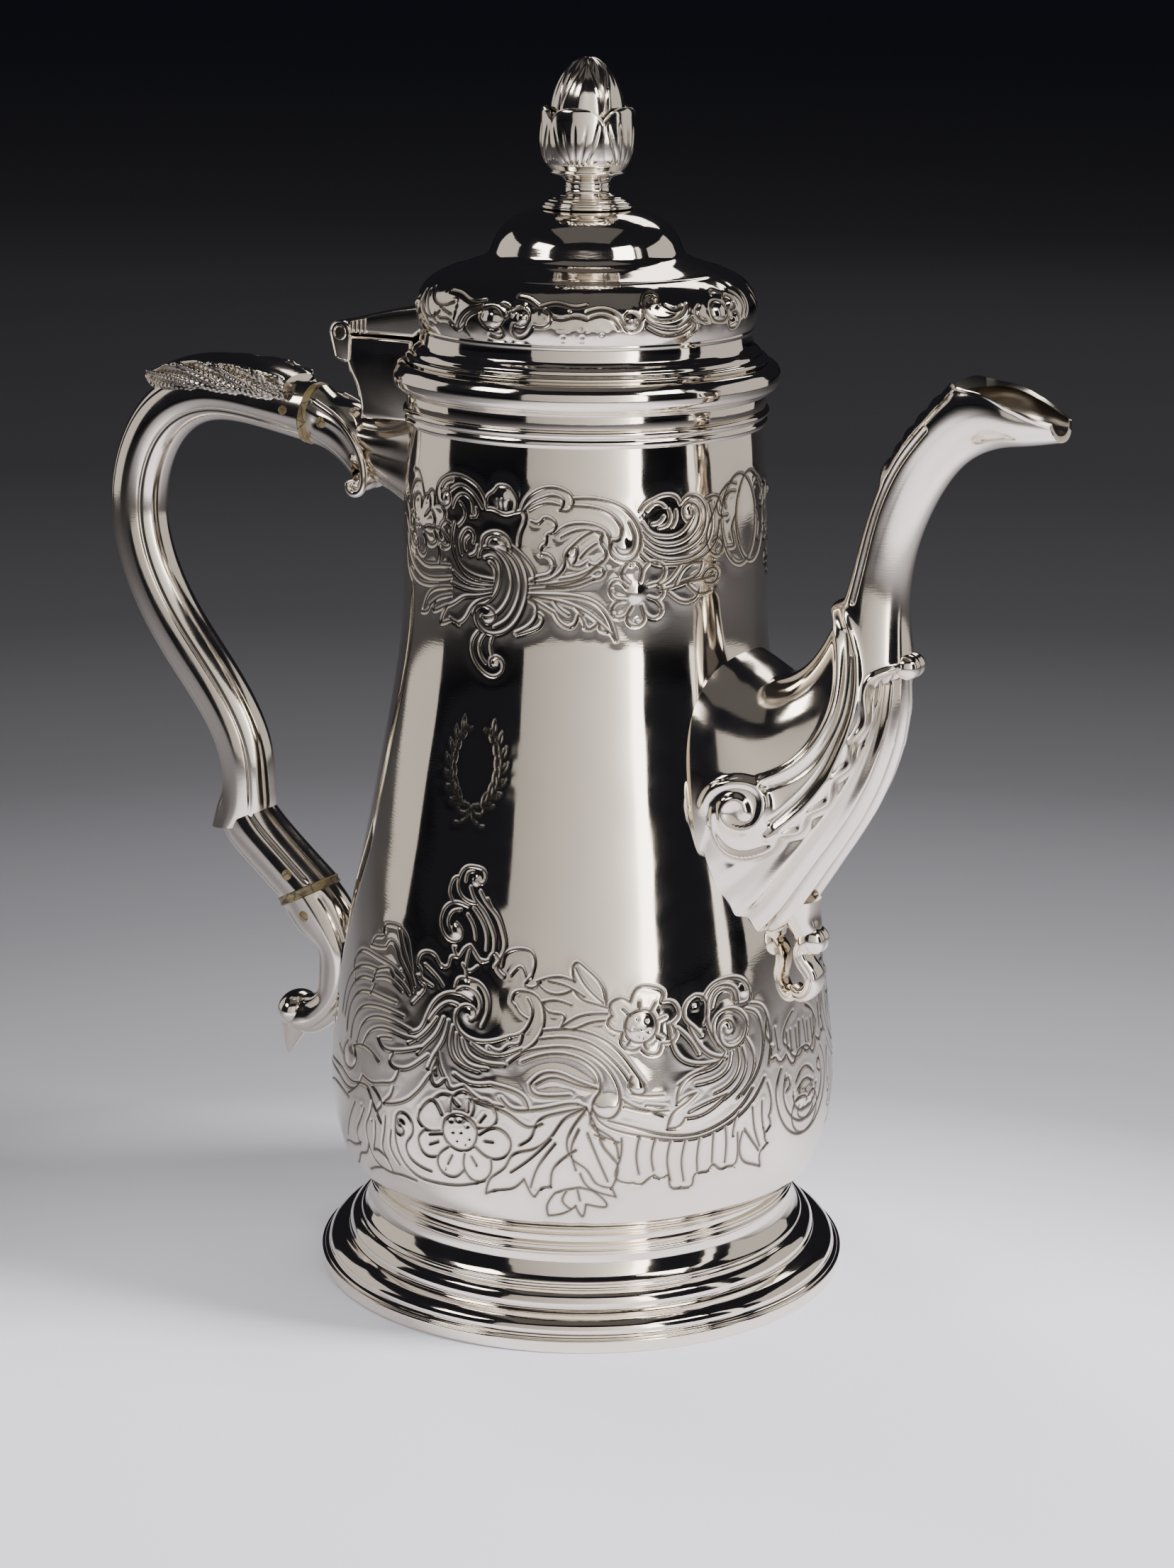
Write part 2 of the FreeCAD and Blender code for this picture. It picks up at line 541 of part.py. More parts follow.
# ---------------------------------------------------------------- build
def main():
    """Make and export every sub-part."""
    export("foot_rim", make_foot_rim())
    export("foot", make_foot())
    export("foot_neck_ring", make_neck_ring())
    export("base_disc", make_base_disc())
    export("body", make_body())
    export("neck_reeding", make_reeding())
    export("rim_band", make_rim_band())
    export("rim_moulding", make_rim_moulding())

    lid = make_lid()
    export("lid", lid)
    export("lid_bezel", make_bezel())
    export("finial_base", make_finial_base(lid))
    export("finial", make_finial())
    export("finial_stud", make_finial_stud())
    export("finial_nut", make_finial_nut())

    export("hinge_pin", make_hinge_pin())
    upper_socket = make_upper_socket()
    export("hinge_bracket", largest(make_hinge_bracket().cut(upper_socket)))
    export("hinge_leaf", make_hinge_leaf(lid))

    spout = make_spout()
    export("spout_right_half", make_spout_half(spout, -1))
    export("spout_left_half", make_spout_half(spout, 1))
    export("spout_drop", largest(make_spout_drop().cut(spout)))

    handle = make_handle()
    export("handle_scroll", handle)
    export("handle_tail", make_handle_tail(handle))
    export("handle_leaf", make_leaf(handle))
    export("upper_socket", upper_socket)
    export("lower_socket", make_lower_socket())
    export("upper_insulator", make_insulator(UPPER_JOINT, UPPER_JOINT_DIRECTION, UPPER_HALF_DEPTH + 0.1))
    export("lower_insulator", make_insulator(LOWER_JOINT, LOWER_JOINT_DIRECTION, LOWER_HALF_DEPTH + 0.1))
    export("upper_handle_pin", pin_hole(UPPER_JOINT, UPPER_JOINT_DIRECTION, 1))
    export("upper_socket_pin", pin_hole(UPPER_JOINT, UPPER_JOINT_DIRECTION, -1))
    export("lower_handle_pin", pin_hole(LOWER_JOINT, LOWER_JOINT_DIRECTION, 1))
    export("lower_socket_pin", pin_hole(LOWER_JOINT, LOWER_JOINT_DIRECTION, -1))


main()
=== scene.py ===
"""Silver coffee pot with a chased body, a swan-neck spout and a scroll handle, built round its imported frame.

Sizes are in millimetres until a mesh is made, and the origin is the centre of the foot on the table.
The spout points along +X and the handle along -X.  Round the pot, an arc length runs to the right from
the line that faces the front card, which stands 60 degrees to the right-hand side of the spout.
"""

import json
import logging
import math
from dataclasses import dataclass, field
from enum import Enum

import bmesh
import bpy
import numpy as np
from mathutils import Matrix, Vector

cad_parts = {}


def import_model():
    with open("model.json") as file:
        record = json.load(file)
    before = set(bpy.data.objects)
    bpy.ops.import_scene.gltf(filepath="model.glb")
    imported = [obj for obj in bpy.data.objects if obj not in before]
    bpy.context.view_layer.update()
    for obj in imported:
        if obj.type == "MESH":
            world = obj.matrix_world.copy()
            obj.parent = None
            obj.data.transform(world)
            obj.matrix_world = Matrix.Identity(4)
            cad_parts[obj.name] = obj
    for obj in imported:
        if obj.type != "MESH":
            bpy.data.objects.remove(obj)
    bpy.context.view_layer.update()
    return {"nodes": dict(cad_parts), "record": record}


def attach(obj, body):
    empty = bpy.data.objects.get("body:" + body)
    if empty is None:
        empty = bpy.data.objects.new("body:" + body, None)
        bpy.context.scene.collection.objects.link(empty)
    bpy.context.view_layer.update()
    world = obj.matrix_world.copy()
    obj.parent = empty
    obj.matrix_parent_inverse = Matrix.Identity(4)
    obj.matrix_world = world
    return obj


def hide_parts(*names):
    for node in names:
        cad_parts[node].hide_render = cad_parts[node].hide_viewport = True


log = logging.getLogger("coffee_pot")

Point = tuple[float, float]
Outline = tuple[Point, ...]
Strokes = tuple[tuple[float, ...], ...]
Station = tuple[Point, Point, float]

MM = 0.001
ROUND_COLS = 512
SHARP_DEG = 60.0
CHASED_SHARP_DEG = 70.0
SCROLL_SHARP_DEG = 55.0
FRONT_DEG = -60.0
SPOUT_ARC_DEG = 60.0


class Body(Enum):
    """The two moving bodies of the pot."""

    POT = "pot"
    LID = "lid"


class Slot(Enum):
    """Finishes that the record names."""

    POLISHED = "polished_silver"
    CHASED = "chased_silver"
    CAST = "cast_silver"
    IVORY = "ivory"


# ---------------------------------------------------------------- chased ornament
# A line of chasing is arc, height, arc, height and so on, a boss is arc, height, radius, and a punch
# mark is arc, height.
UPPER_LINES: Strokes = (
    (-46.2, 171.8, -47, 173.9, -45.5, 175.7, -43.5, 175.5, -42.8, 173.2),
    (-42.8, 173.2, -41.8, 175.5, -39.7, 176.2, -38.9, 173.9, -40.8, 171.8),
    (-40.8, 171.8, -38.9, 173.2, -37, 171.8, -37.5, 169.7, -40.3, 169.5),
    (-40.3, 169.5, -37.4, 169.5, -36.2, 167.4, -38.2, 166, -41.2, 168),
    (-41.2, 168, -40.1, 165.5, -41.6, 163.4, -43.7, 164.3, -43.7, 167.4),
    (-43.7, 167.4, -44.7, 164.9, -47, 165.1, -47.2, 167.2, -45.5, 168.5),
    (-45.5, 168.5, -47.8, 168.2, -48.9, 169.8, -47.8, 171.6, -46, 170.8),
    (-40.3, 175.5, -38.9, 177.4, -37.5, 177, -37.2, 174.7),
    (-37.2, 174.7, -35.1, 174.9, -33.4, 173.7, -33.7, 171.8),
    (-48.2, 180.5, -45.5, 180.5, -43.2, 178.5, -41.8, 176.2),
    (-50.5, 173.5, -48.8, 176.2, -46.6, 178.2, -43.9, 178.5),
    (-55.1, 173.5, -52, 172.8, -49.7, 170.8, -48.9, 168.2),
    (-54.3, 170.1, -51.2, 168.9, -49.3, 166.6, -48.8, 164.3),
    (-33.4, 174.9, -35.2, 174.9, -36.6, 176.6, -36.2, 179.1, -33.9, 180.9, -30.5, 181.7, -27, 181.2,
     -23.9, 179.5, -21.8, 176.6),
    (-33.4, 174.9, -32.2, 175.8, -32.4, 177.4, -33.7, 178, -34.7, 177, -34, 176),
    (-32, 178.5, -29.7, 179.7, -27, 179.3, -24.7, 177.8, -22.9, 175.7),
    (-34.9, 178.3, -33.9, 179.7, -31.6, 180.5),
    (-31.2, 175.1, -30.1, 177.2, -27.8, 178, -25.8, 176.6, -25.4, 174.5),
    (-30.5, 171.8, -31.1, 168.9, -30.3, 165.5, -28.2, 162.9, -24.3, 161.4, -20.1, 161.1),
    (-29.1, 176.2, -28.2, 175.5, -27.5, 173.9, -28.2, 172.4, -29.3, 171.4),
    (-25.8, 173.5, -24.3, 173.9, -24.5, 175.5),
    (-38.9, 169.7, -35.8, 169.7, -33.4, 168.9, -31.8, 167, -33.2, 166.2, -34.7, 166.6),
    (-34.3, 168.2, -35.1, 169.7, -34.7, 170.8, -33.2, 171.8, -31.6, 171.4),
    (-22, 176.2, -21.8, 178.3, -20.1, 179.7, -19.5, 180.5, -18.2, 180.8, -16.8, 180.5, -15.8, 179.5,
     -14.9, 177.8, -15.1, 175.7),
    (-21.8, 175.7, -20.1, 175.7, -17.8, 174.9, -15.1, 175.5), (-18.9, 176.2, -19.1, 177.8),
    (-18, 176.2, -18, 178), (-17, 176.2, -16.6, 177.7),
    (-14.9, 175.5, -13.2, 175.7, -12.8, 174.2, -13.7, 171.8, -14.2, 168.9),
    (-13.7, 176, -12.8, 178.2, -10.6, 180.1, -7.8, 181, -4.7, 180.5, -2.9, 179.1, -2.8, 177.2, -3.9, 176.3,
     -5.5, 176.6),
    (-13.4, 175.7, -11.6, 177.5, -8.9, 178.9, -6.2, 179.3, -4.7, 178.3, -5.1, 176.9),
    (-12, 176.2, -9.7, 177.4, -7.2, 177.8, -5.5, 177.4),
    (-2.8, 178.8, 1.1, 178.9, 4.9, 178.2, 8.4, 176.5, 10.7, 173.9, 11.8, 170.8, 11.2, 167.8, 9.2, 166,
     6.5, 166.5, 5.1, 168.5, 5.7, 170.3),
    (-3.2, 177.4, 0.7, 177.2, 4.3, 176.2, 6.8, 174.2, 7.6, 171.8, 6.5, 170.3, 5.7, 170.3),
    (6.2, 168.9, 7.2, 167.5, 9.2, 167.5, 10.3, 169.3, 10.2, 171.6, 9.2, 173.9),
    (-6.5, 171.4, -4.2, 173.2, -0.8, 173.8, 2.5, 173.2, 4.8, 171.4, 5.1, 168.9),
    (-5.2, 170.8, -2.4, 172.2, 1.1, 172.4, 3.5, 171.2),
    (-11.6, 173.9, -9.7, 173.7, -8.9, 174.7, -7.2, 174.5, -6.2, 173.2, -6.9, 171.8),
    (-6.9, 171.8, -8.2, 171.2, -8.3, 169.5, -9.1, 168.9, -9.4, 167.2),
    (-9.4, 167.2, -8.2, 167.2, -6.9, 166.2, -6.6, 164.7, -7.5, 163.2, -9.5, 162.6, -11.6, 161.6),
    (-11.6, 161.4, -8.2, 161.8, -5.5, 163.4, -4.3, 165.5, -4.2, 167.2, -2.4, 169.5, -0.1, 171.4, 1.7, 172.3),
    (1.7, 172.3, 3.4, 171.8, 3.2, 170.1, 4.3, 168.2, 3.8, 166.2, 2.2, 165.2, 0.7, 165.5),
    (3.5, 166.2, 1.1, 164.3, -2, 162.9, -5.5, 162.2),
    (-3.2, 165.2, -3.8, 167, -3.2, 168.5, -2.2, 168.9, -1.8, 167.2, -2.6, 165.5),
    (-1.2, 166.6, 0.5, 168.5, 2.2, 169.7), (-2.8, 165.1, -1.6, 164.9, 0.5, 166),
    (-12, 160.6, -7.8, 161.1, -3.5, 161.8, 0.5, 163.4, 2.6, 164.9, 3.8, 164.5, 3.5, 162.9, 1.7, 162.4),
    (1.7, 162.4, -0.5, 161.4, -3.5, 160.6, -8.2, 160.2, -11.6, 159.8), (-8.2, 160.6, -3.5, 161.2, 1.1, 162.9),
    (-12.2, 158.8, -7.8, 158.9, -3.2, 158.8, 1.1, 157.8, 3.8, 155.8, 5.5, 152.8, 6.5, 149.5),
    (6.5, 149.5, 5.1, 151.2, 3.4, 151.6, 2.8, 153.2), (2.8, 153.2, 0.5, 152, -0.5, 153.9, -1.4, 154.9),
    (-1.4, 154.9, -2.9, 152.3, -5.2, 153.2, -6.5, 155.2), (-6.5, 155.2, -8.9, 156.6, -11.8, 158.2),
    (-11.6, 158.5, -6.6, 157.8, -2, 156.5, 1.8, 154.2, 4.8, 151.4), (-6.6, 157.7, -5.2, 156, -3.5, 154.9),
    (-2, 156.3, -0.5, 154.9), (9.2, 161.2, 7.6, 163.2, 8.4, 165.1, 10.3, 165.8, 11.7, 164.9, 11.5, 161.6),
    (11.5, 161.6, 13, 165.1, 15.5, 165.5, 17.1, 163.9, 16.5, 161.8, 13.2, 160.6),
    (13.2, 160.6, 15.8, 160.8, 16.8, 159.3, 16.1, 157.8, 13.4, 158.2),
    (13.4, 158.2, 15.7, 157, 16.5, 155.1, 15.1, 153.7, 13, 154.5, 12, 156.6),
    (12, 156.6, 12.5, 153.7, 11.1, 152.4, 9.2, 152.9, 8.9, 155.1, 9.9, 156.6),
    (9.9, 156.6, 8, 154.3, 6.3, 154.2, 5.5, 156, 6.6, 157.5, 8.4, 157.8),
    (8.4, 157.8, 6.1, 158.2, 5.1, 160.1, 5.8, 161.8, 7.6, 161.6, 8.8, 160.3),
    (16.1, 159.5, 18.8, 159.8, 22.2, 160.5, 26.5, 160.9, 30.3, 161.1),
    (19.5, 160.1, 20.7, 162.4, 23, 164.2, 26.5, 164.5), (26.5, 164.5, 25.7, 162.4, 23.4, 161.2, 20.7, 160.6),
    (26.5, 161.2, 28.4, 162.8, 30.3, 162.6, 31.2, 161.2, 29.9, 159.8, 27.2, 160.1),
    (18, 158.9, 19.9, 157.4, 22.6, 156.5, 24.9, 157.2, 25.7, 158.8),
    (22.6, 160.3, 24.2, 158.8, 26.5, 157.8, 28.8, 158.2), (15.7, 160.5, 18, 161.4, 19.5, 162.8, 20.7, 164.3),
    (11.5, 176.2, 12.5, 177.4, 14.2, 178.2, 15.7, 178.8, 18, 179.1, 20.2, 178.3, 20.9, 177),
    (13, 176.2, 14.2, 177.2, 16.1, 177.4, 17.2, 176.6),
    (12, 173.5, 13.8, 171.4, 16.8, 170.5, 19.7, 170.6, 22, 171.8, 23.5, 173.5),
    (12.2, 171.8, 14.5, 169.7, 18, 168.8, 21.5, 169.3, 24.3, 171.1, 25.7, 173.5, 25.3, 176, 23.5, 177,
     21.8, 176.2, 21.7, 174.5, 22.8, 173.5, 24, 174.2, 23.8, 175.2),
    (12.2, 170.1, 14.9, 168, 19.2, 167.2, 23, 168, 26.3, 170.1, 27.6, 173.2, 27.1, 176.2, 24.9, 178.2,
     22.6, 178.3, 20.9, 177),
    (12.5, 168.2, 15.7, 166.2, 20.3, 165.5, 24.9, 166.2, 28.4, 168.9, 29.4, 172.8, 28.6, 176.2),
    (11.5, 167.5, 13.8, 165.5, 18.8, 164.5, 24.2, 164.9, 28, 166.2, 30.7, 168.9, 31.5, 172.4),
    (27.6, 177.4, 29.9, 177.8, 31.7, 177, 32.2, 175.5), (14.2, 173.2, 15.7, 173.5, 16.8, 174.7),
    (15.7, 172.4, 17.6, 172.9, 18.4, 174.5, 18, 176), (18.8, 172.4, 19.7, 173.9, 19.7, 175.7),
    (45.3, 179.3, 47.6, 179.7, 49.9, 178.5, 51.7, 176.2, 51.1, 173.5, 48.8, 173.2),
    (45.7, 177.8, 48, 177.8, 49.5, 176.2, 49.2, 174.7),
    (51.7, 176.2, 53.4, 173.5, 54.9, 170.1, 54.2, 166.6, 51.5, 165.5, 50.3, 167.4, 51.8, 168.9, 53.4, 168.2),
    (45.7, 172.8, 47.2, 169.7, 46.5, 166.6, 48.8, 166.6),
    (-23.5, 165.5, -23.2, 167, -21.2, 167.8, -18.9, 167.2, -17, 165.5, -15.8, 162.8, -15.8, 159.3,
     -17.4, 155.8, -20.1, 153.5, -22.8, 153.2),
    (-22, 165.5, -20.5, 166, -18.9, 165.1, -18.3, 162.4, -18.9, 159.3, -20.5, 157, -23.2, 155.2),
    (-20.8, 164.7, -19.7, 163.7, -19.5, 161.2, -20.1, 158.9),
    (-18.9, 167.8, -16.2, 166.6, -14.3, 163.9, -13.7, 160.5, -14.7, 156.2, -17, 152.8, -19.7, 151.2),
    (-17.8, 168.5, -14.7, 167, -12.6, 163.7, -12.2, 159.7, -13.2, 155.5, -15.7, 151.6, -18.9, 149.8,
     -22.4, 150.1, -24.3, 152, -24.5, 154.3),
    (-15.8, 168.5, -12.8, 166.2, -10.8, 163.2, -10.6, 161.2),
    (-12.2, 157.8, -10.6, 157, -10.3, 154.3, -12, 152, -14.7, 150.5),
    (-10.3, 155.1, -8.9, 154.3, -9.3, 152.4, -11.2, 151.2, -14.3, 150.1),
    (-22.9, 167.5, -22.6, 169.7, -20.8, 170.9, -18.5, 171.1, -16.5, 169.8, -15.7, 167.5),
    (-21.6, 168, -21.1, 169.5, -19.3, 170, -17.4, 169.1, -16.8, 167.5),
    (-19.8, 160.5, -23.5, 160.6, -27, 161.6, -29.3, 163.9, -30.3, 166.6),
    (-19.8, 159.8, -23.9, 159.5, -27.8, 160.1, -30.6, 161.6),
    (-20, 159.1, -24.3, 158.3, -28.2, 158.5, -31.1, 159.1),
    (-20.2, 158.3, -24.3, 157.2, -27.8, 156.5, -30.1, 155.1, -32.8, 153.9),
    (-20.5, 157.5, -23.7, 156.2, -25.8, 154.3, -27, 152.4, -29.7, 150.8, -31.6, 151.6),
    (-22, 155.8, -24.3, 155.1, -25.1, 153.5),
    (-28.2, 165.5, -28.8, 168.2, -28, 170.1, -26.5, 171.1, -24.9, 170.1, -25.1, 168.2),
    (-27, 166.6, -27.2, 168.5, -26.2, 169.5), (-25.8, 165.5, -24.5, 166.2, -23.9, 167.8),
    (-31.2, 158.2, -35.1, 157.5, -38.9, 155.8, -40.8, 153.5, -42, 151.2),
    (-42, 151.2, -39.7, 151.8, -38.3, 153.5, -36.6, 154.2),
    (-36.6, 154.2, -37.2, 152.4, -34.7, 153.2, -32.4, 154.2),
    (-32.4, 154.2, -33.9, 152, -34.5, 150.3, -31.2, 151.1, -28.9, 150.5),
    (-38.9, 153.2, -35.5, 155.2, -31.2, 156.5),
    (-50.5, 166.6, -48.8, 163.2, -45.1, 160.3, -40.5, 159.1, -35.5, 159.5, -31.2, 160.3),
    (-49.3, 159.7, -45.1, 157.8, -39.7, 157.5, -35.5, 158.2), (-51.2, 163.5, -49.7, 158.9, -47.4, 157.2),
    (-44.7, 162.8, -39.7, 161.6, -35.5, 162.2, -31.6, 162.6), (-35.5, 162.2, -34.9, 164.2, -35.5, 166.2),
    (-24.5, 154.3, -23.2, 155.2, -20.8, 155.1, -19.5, 153.7, -20.1, 152.2, -22, 151.8, -22.9, 152.9),
    (-23.7, 149.8, -25.1, 147.8, -25.2, 145.5, -23.9, 143.2, -21.6, 141.4, -19.3, 140.9, -17.5, 142.2,
     -17.5, 144.2, -19.2, 145.1, -20.5, 144.2, -20, 142.9, -18.9, 143.1),
    (-22, 149.5, -23.2, 147.4, -22.9, 145.1, -21.4, 143.4), (-19.8, 149.5, -20.5, 147.4, -20.1, 145.5),
)
UPPER_DOMES: Strokes = (
    (-43.5, 169.9, 2.4), (10.7, 159.1, 1.5), (23, 174.9, 1), (7.8, 168.9, 1.6), (-19.5, 143.7, 0.8),
    (-33.4, 176.5, 0.9), (-21.6, 153.2, 1.2), (-19.2, 168.9, 1.6), (-18.2, 178.2, 1.6), (-3.2, 167, 0.7),
)
UPPER_PUNCHES: Strokes = (
    (-6.9, 171.8), (-9.4, 167.2), (-6.6, 164.6), (-2.9, 152.5), (0, 152.2), (4.6, 151.5), (0.7, 165.5),
    (1.7, 162.5), (-41.8, 151.4), (-5.5, 176.6), (-35.1, 166.6), (29.9, 161.2), (-44.3, 170.5),
    (-43.1, 170.6),
    (-43.8, 169.2), (-42.6, 169.5), (9.7, 165.1), (15.7, 165.1), (16.3, 155.2), (11.1, 153.2), (6, 154.9),
    (5.5, 160.1),
)

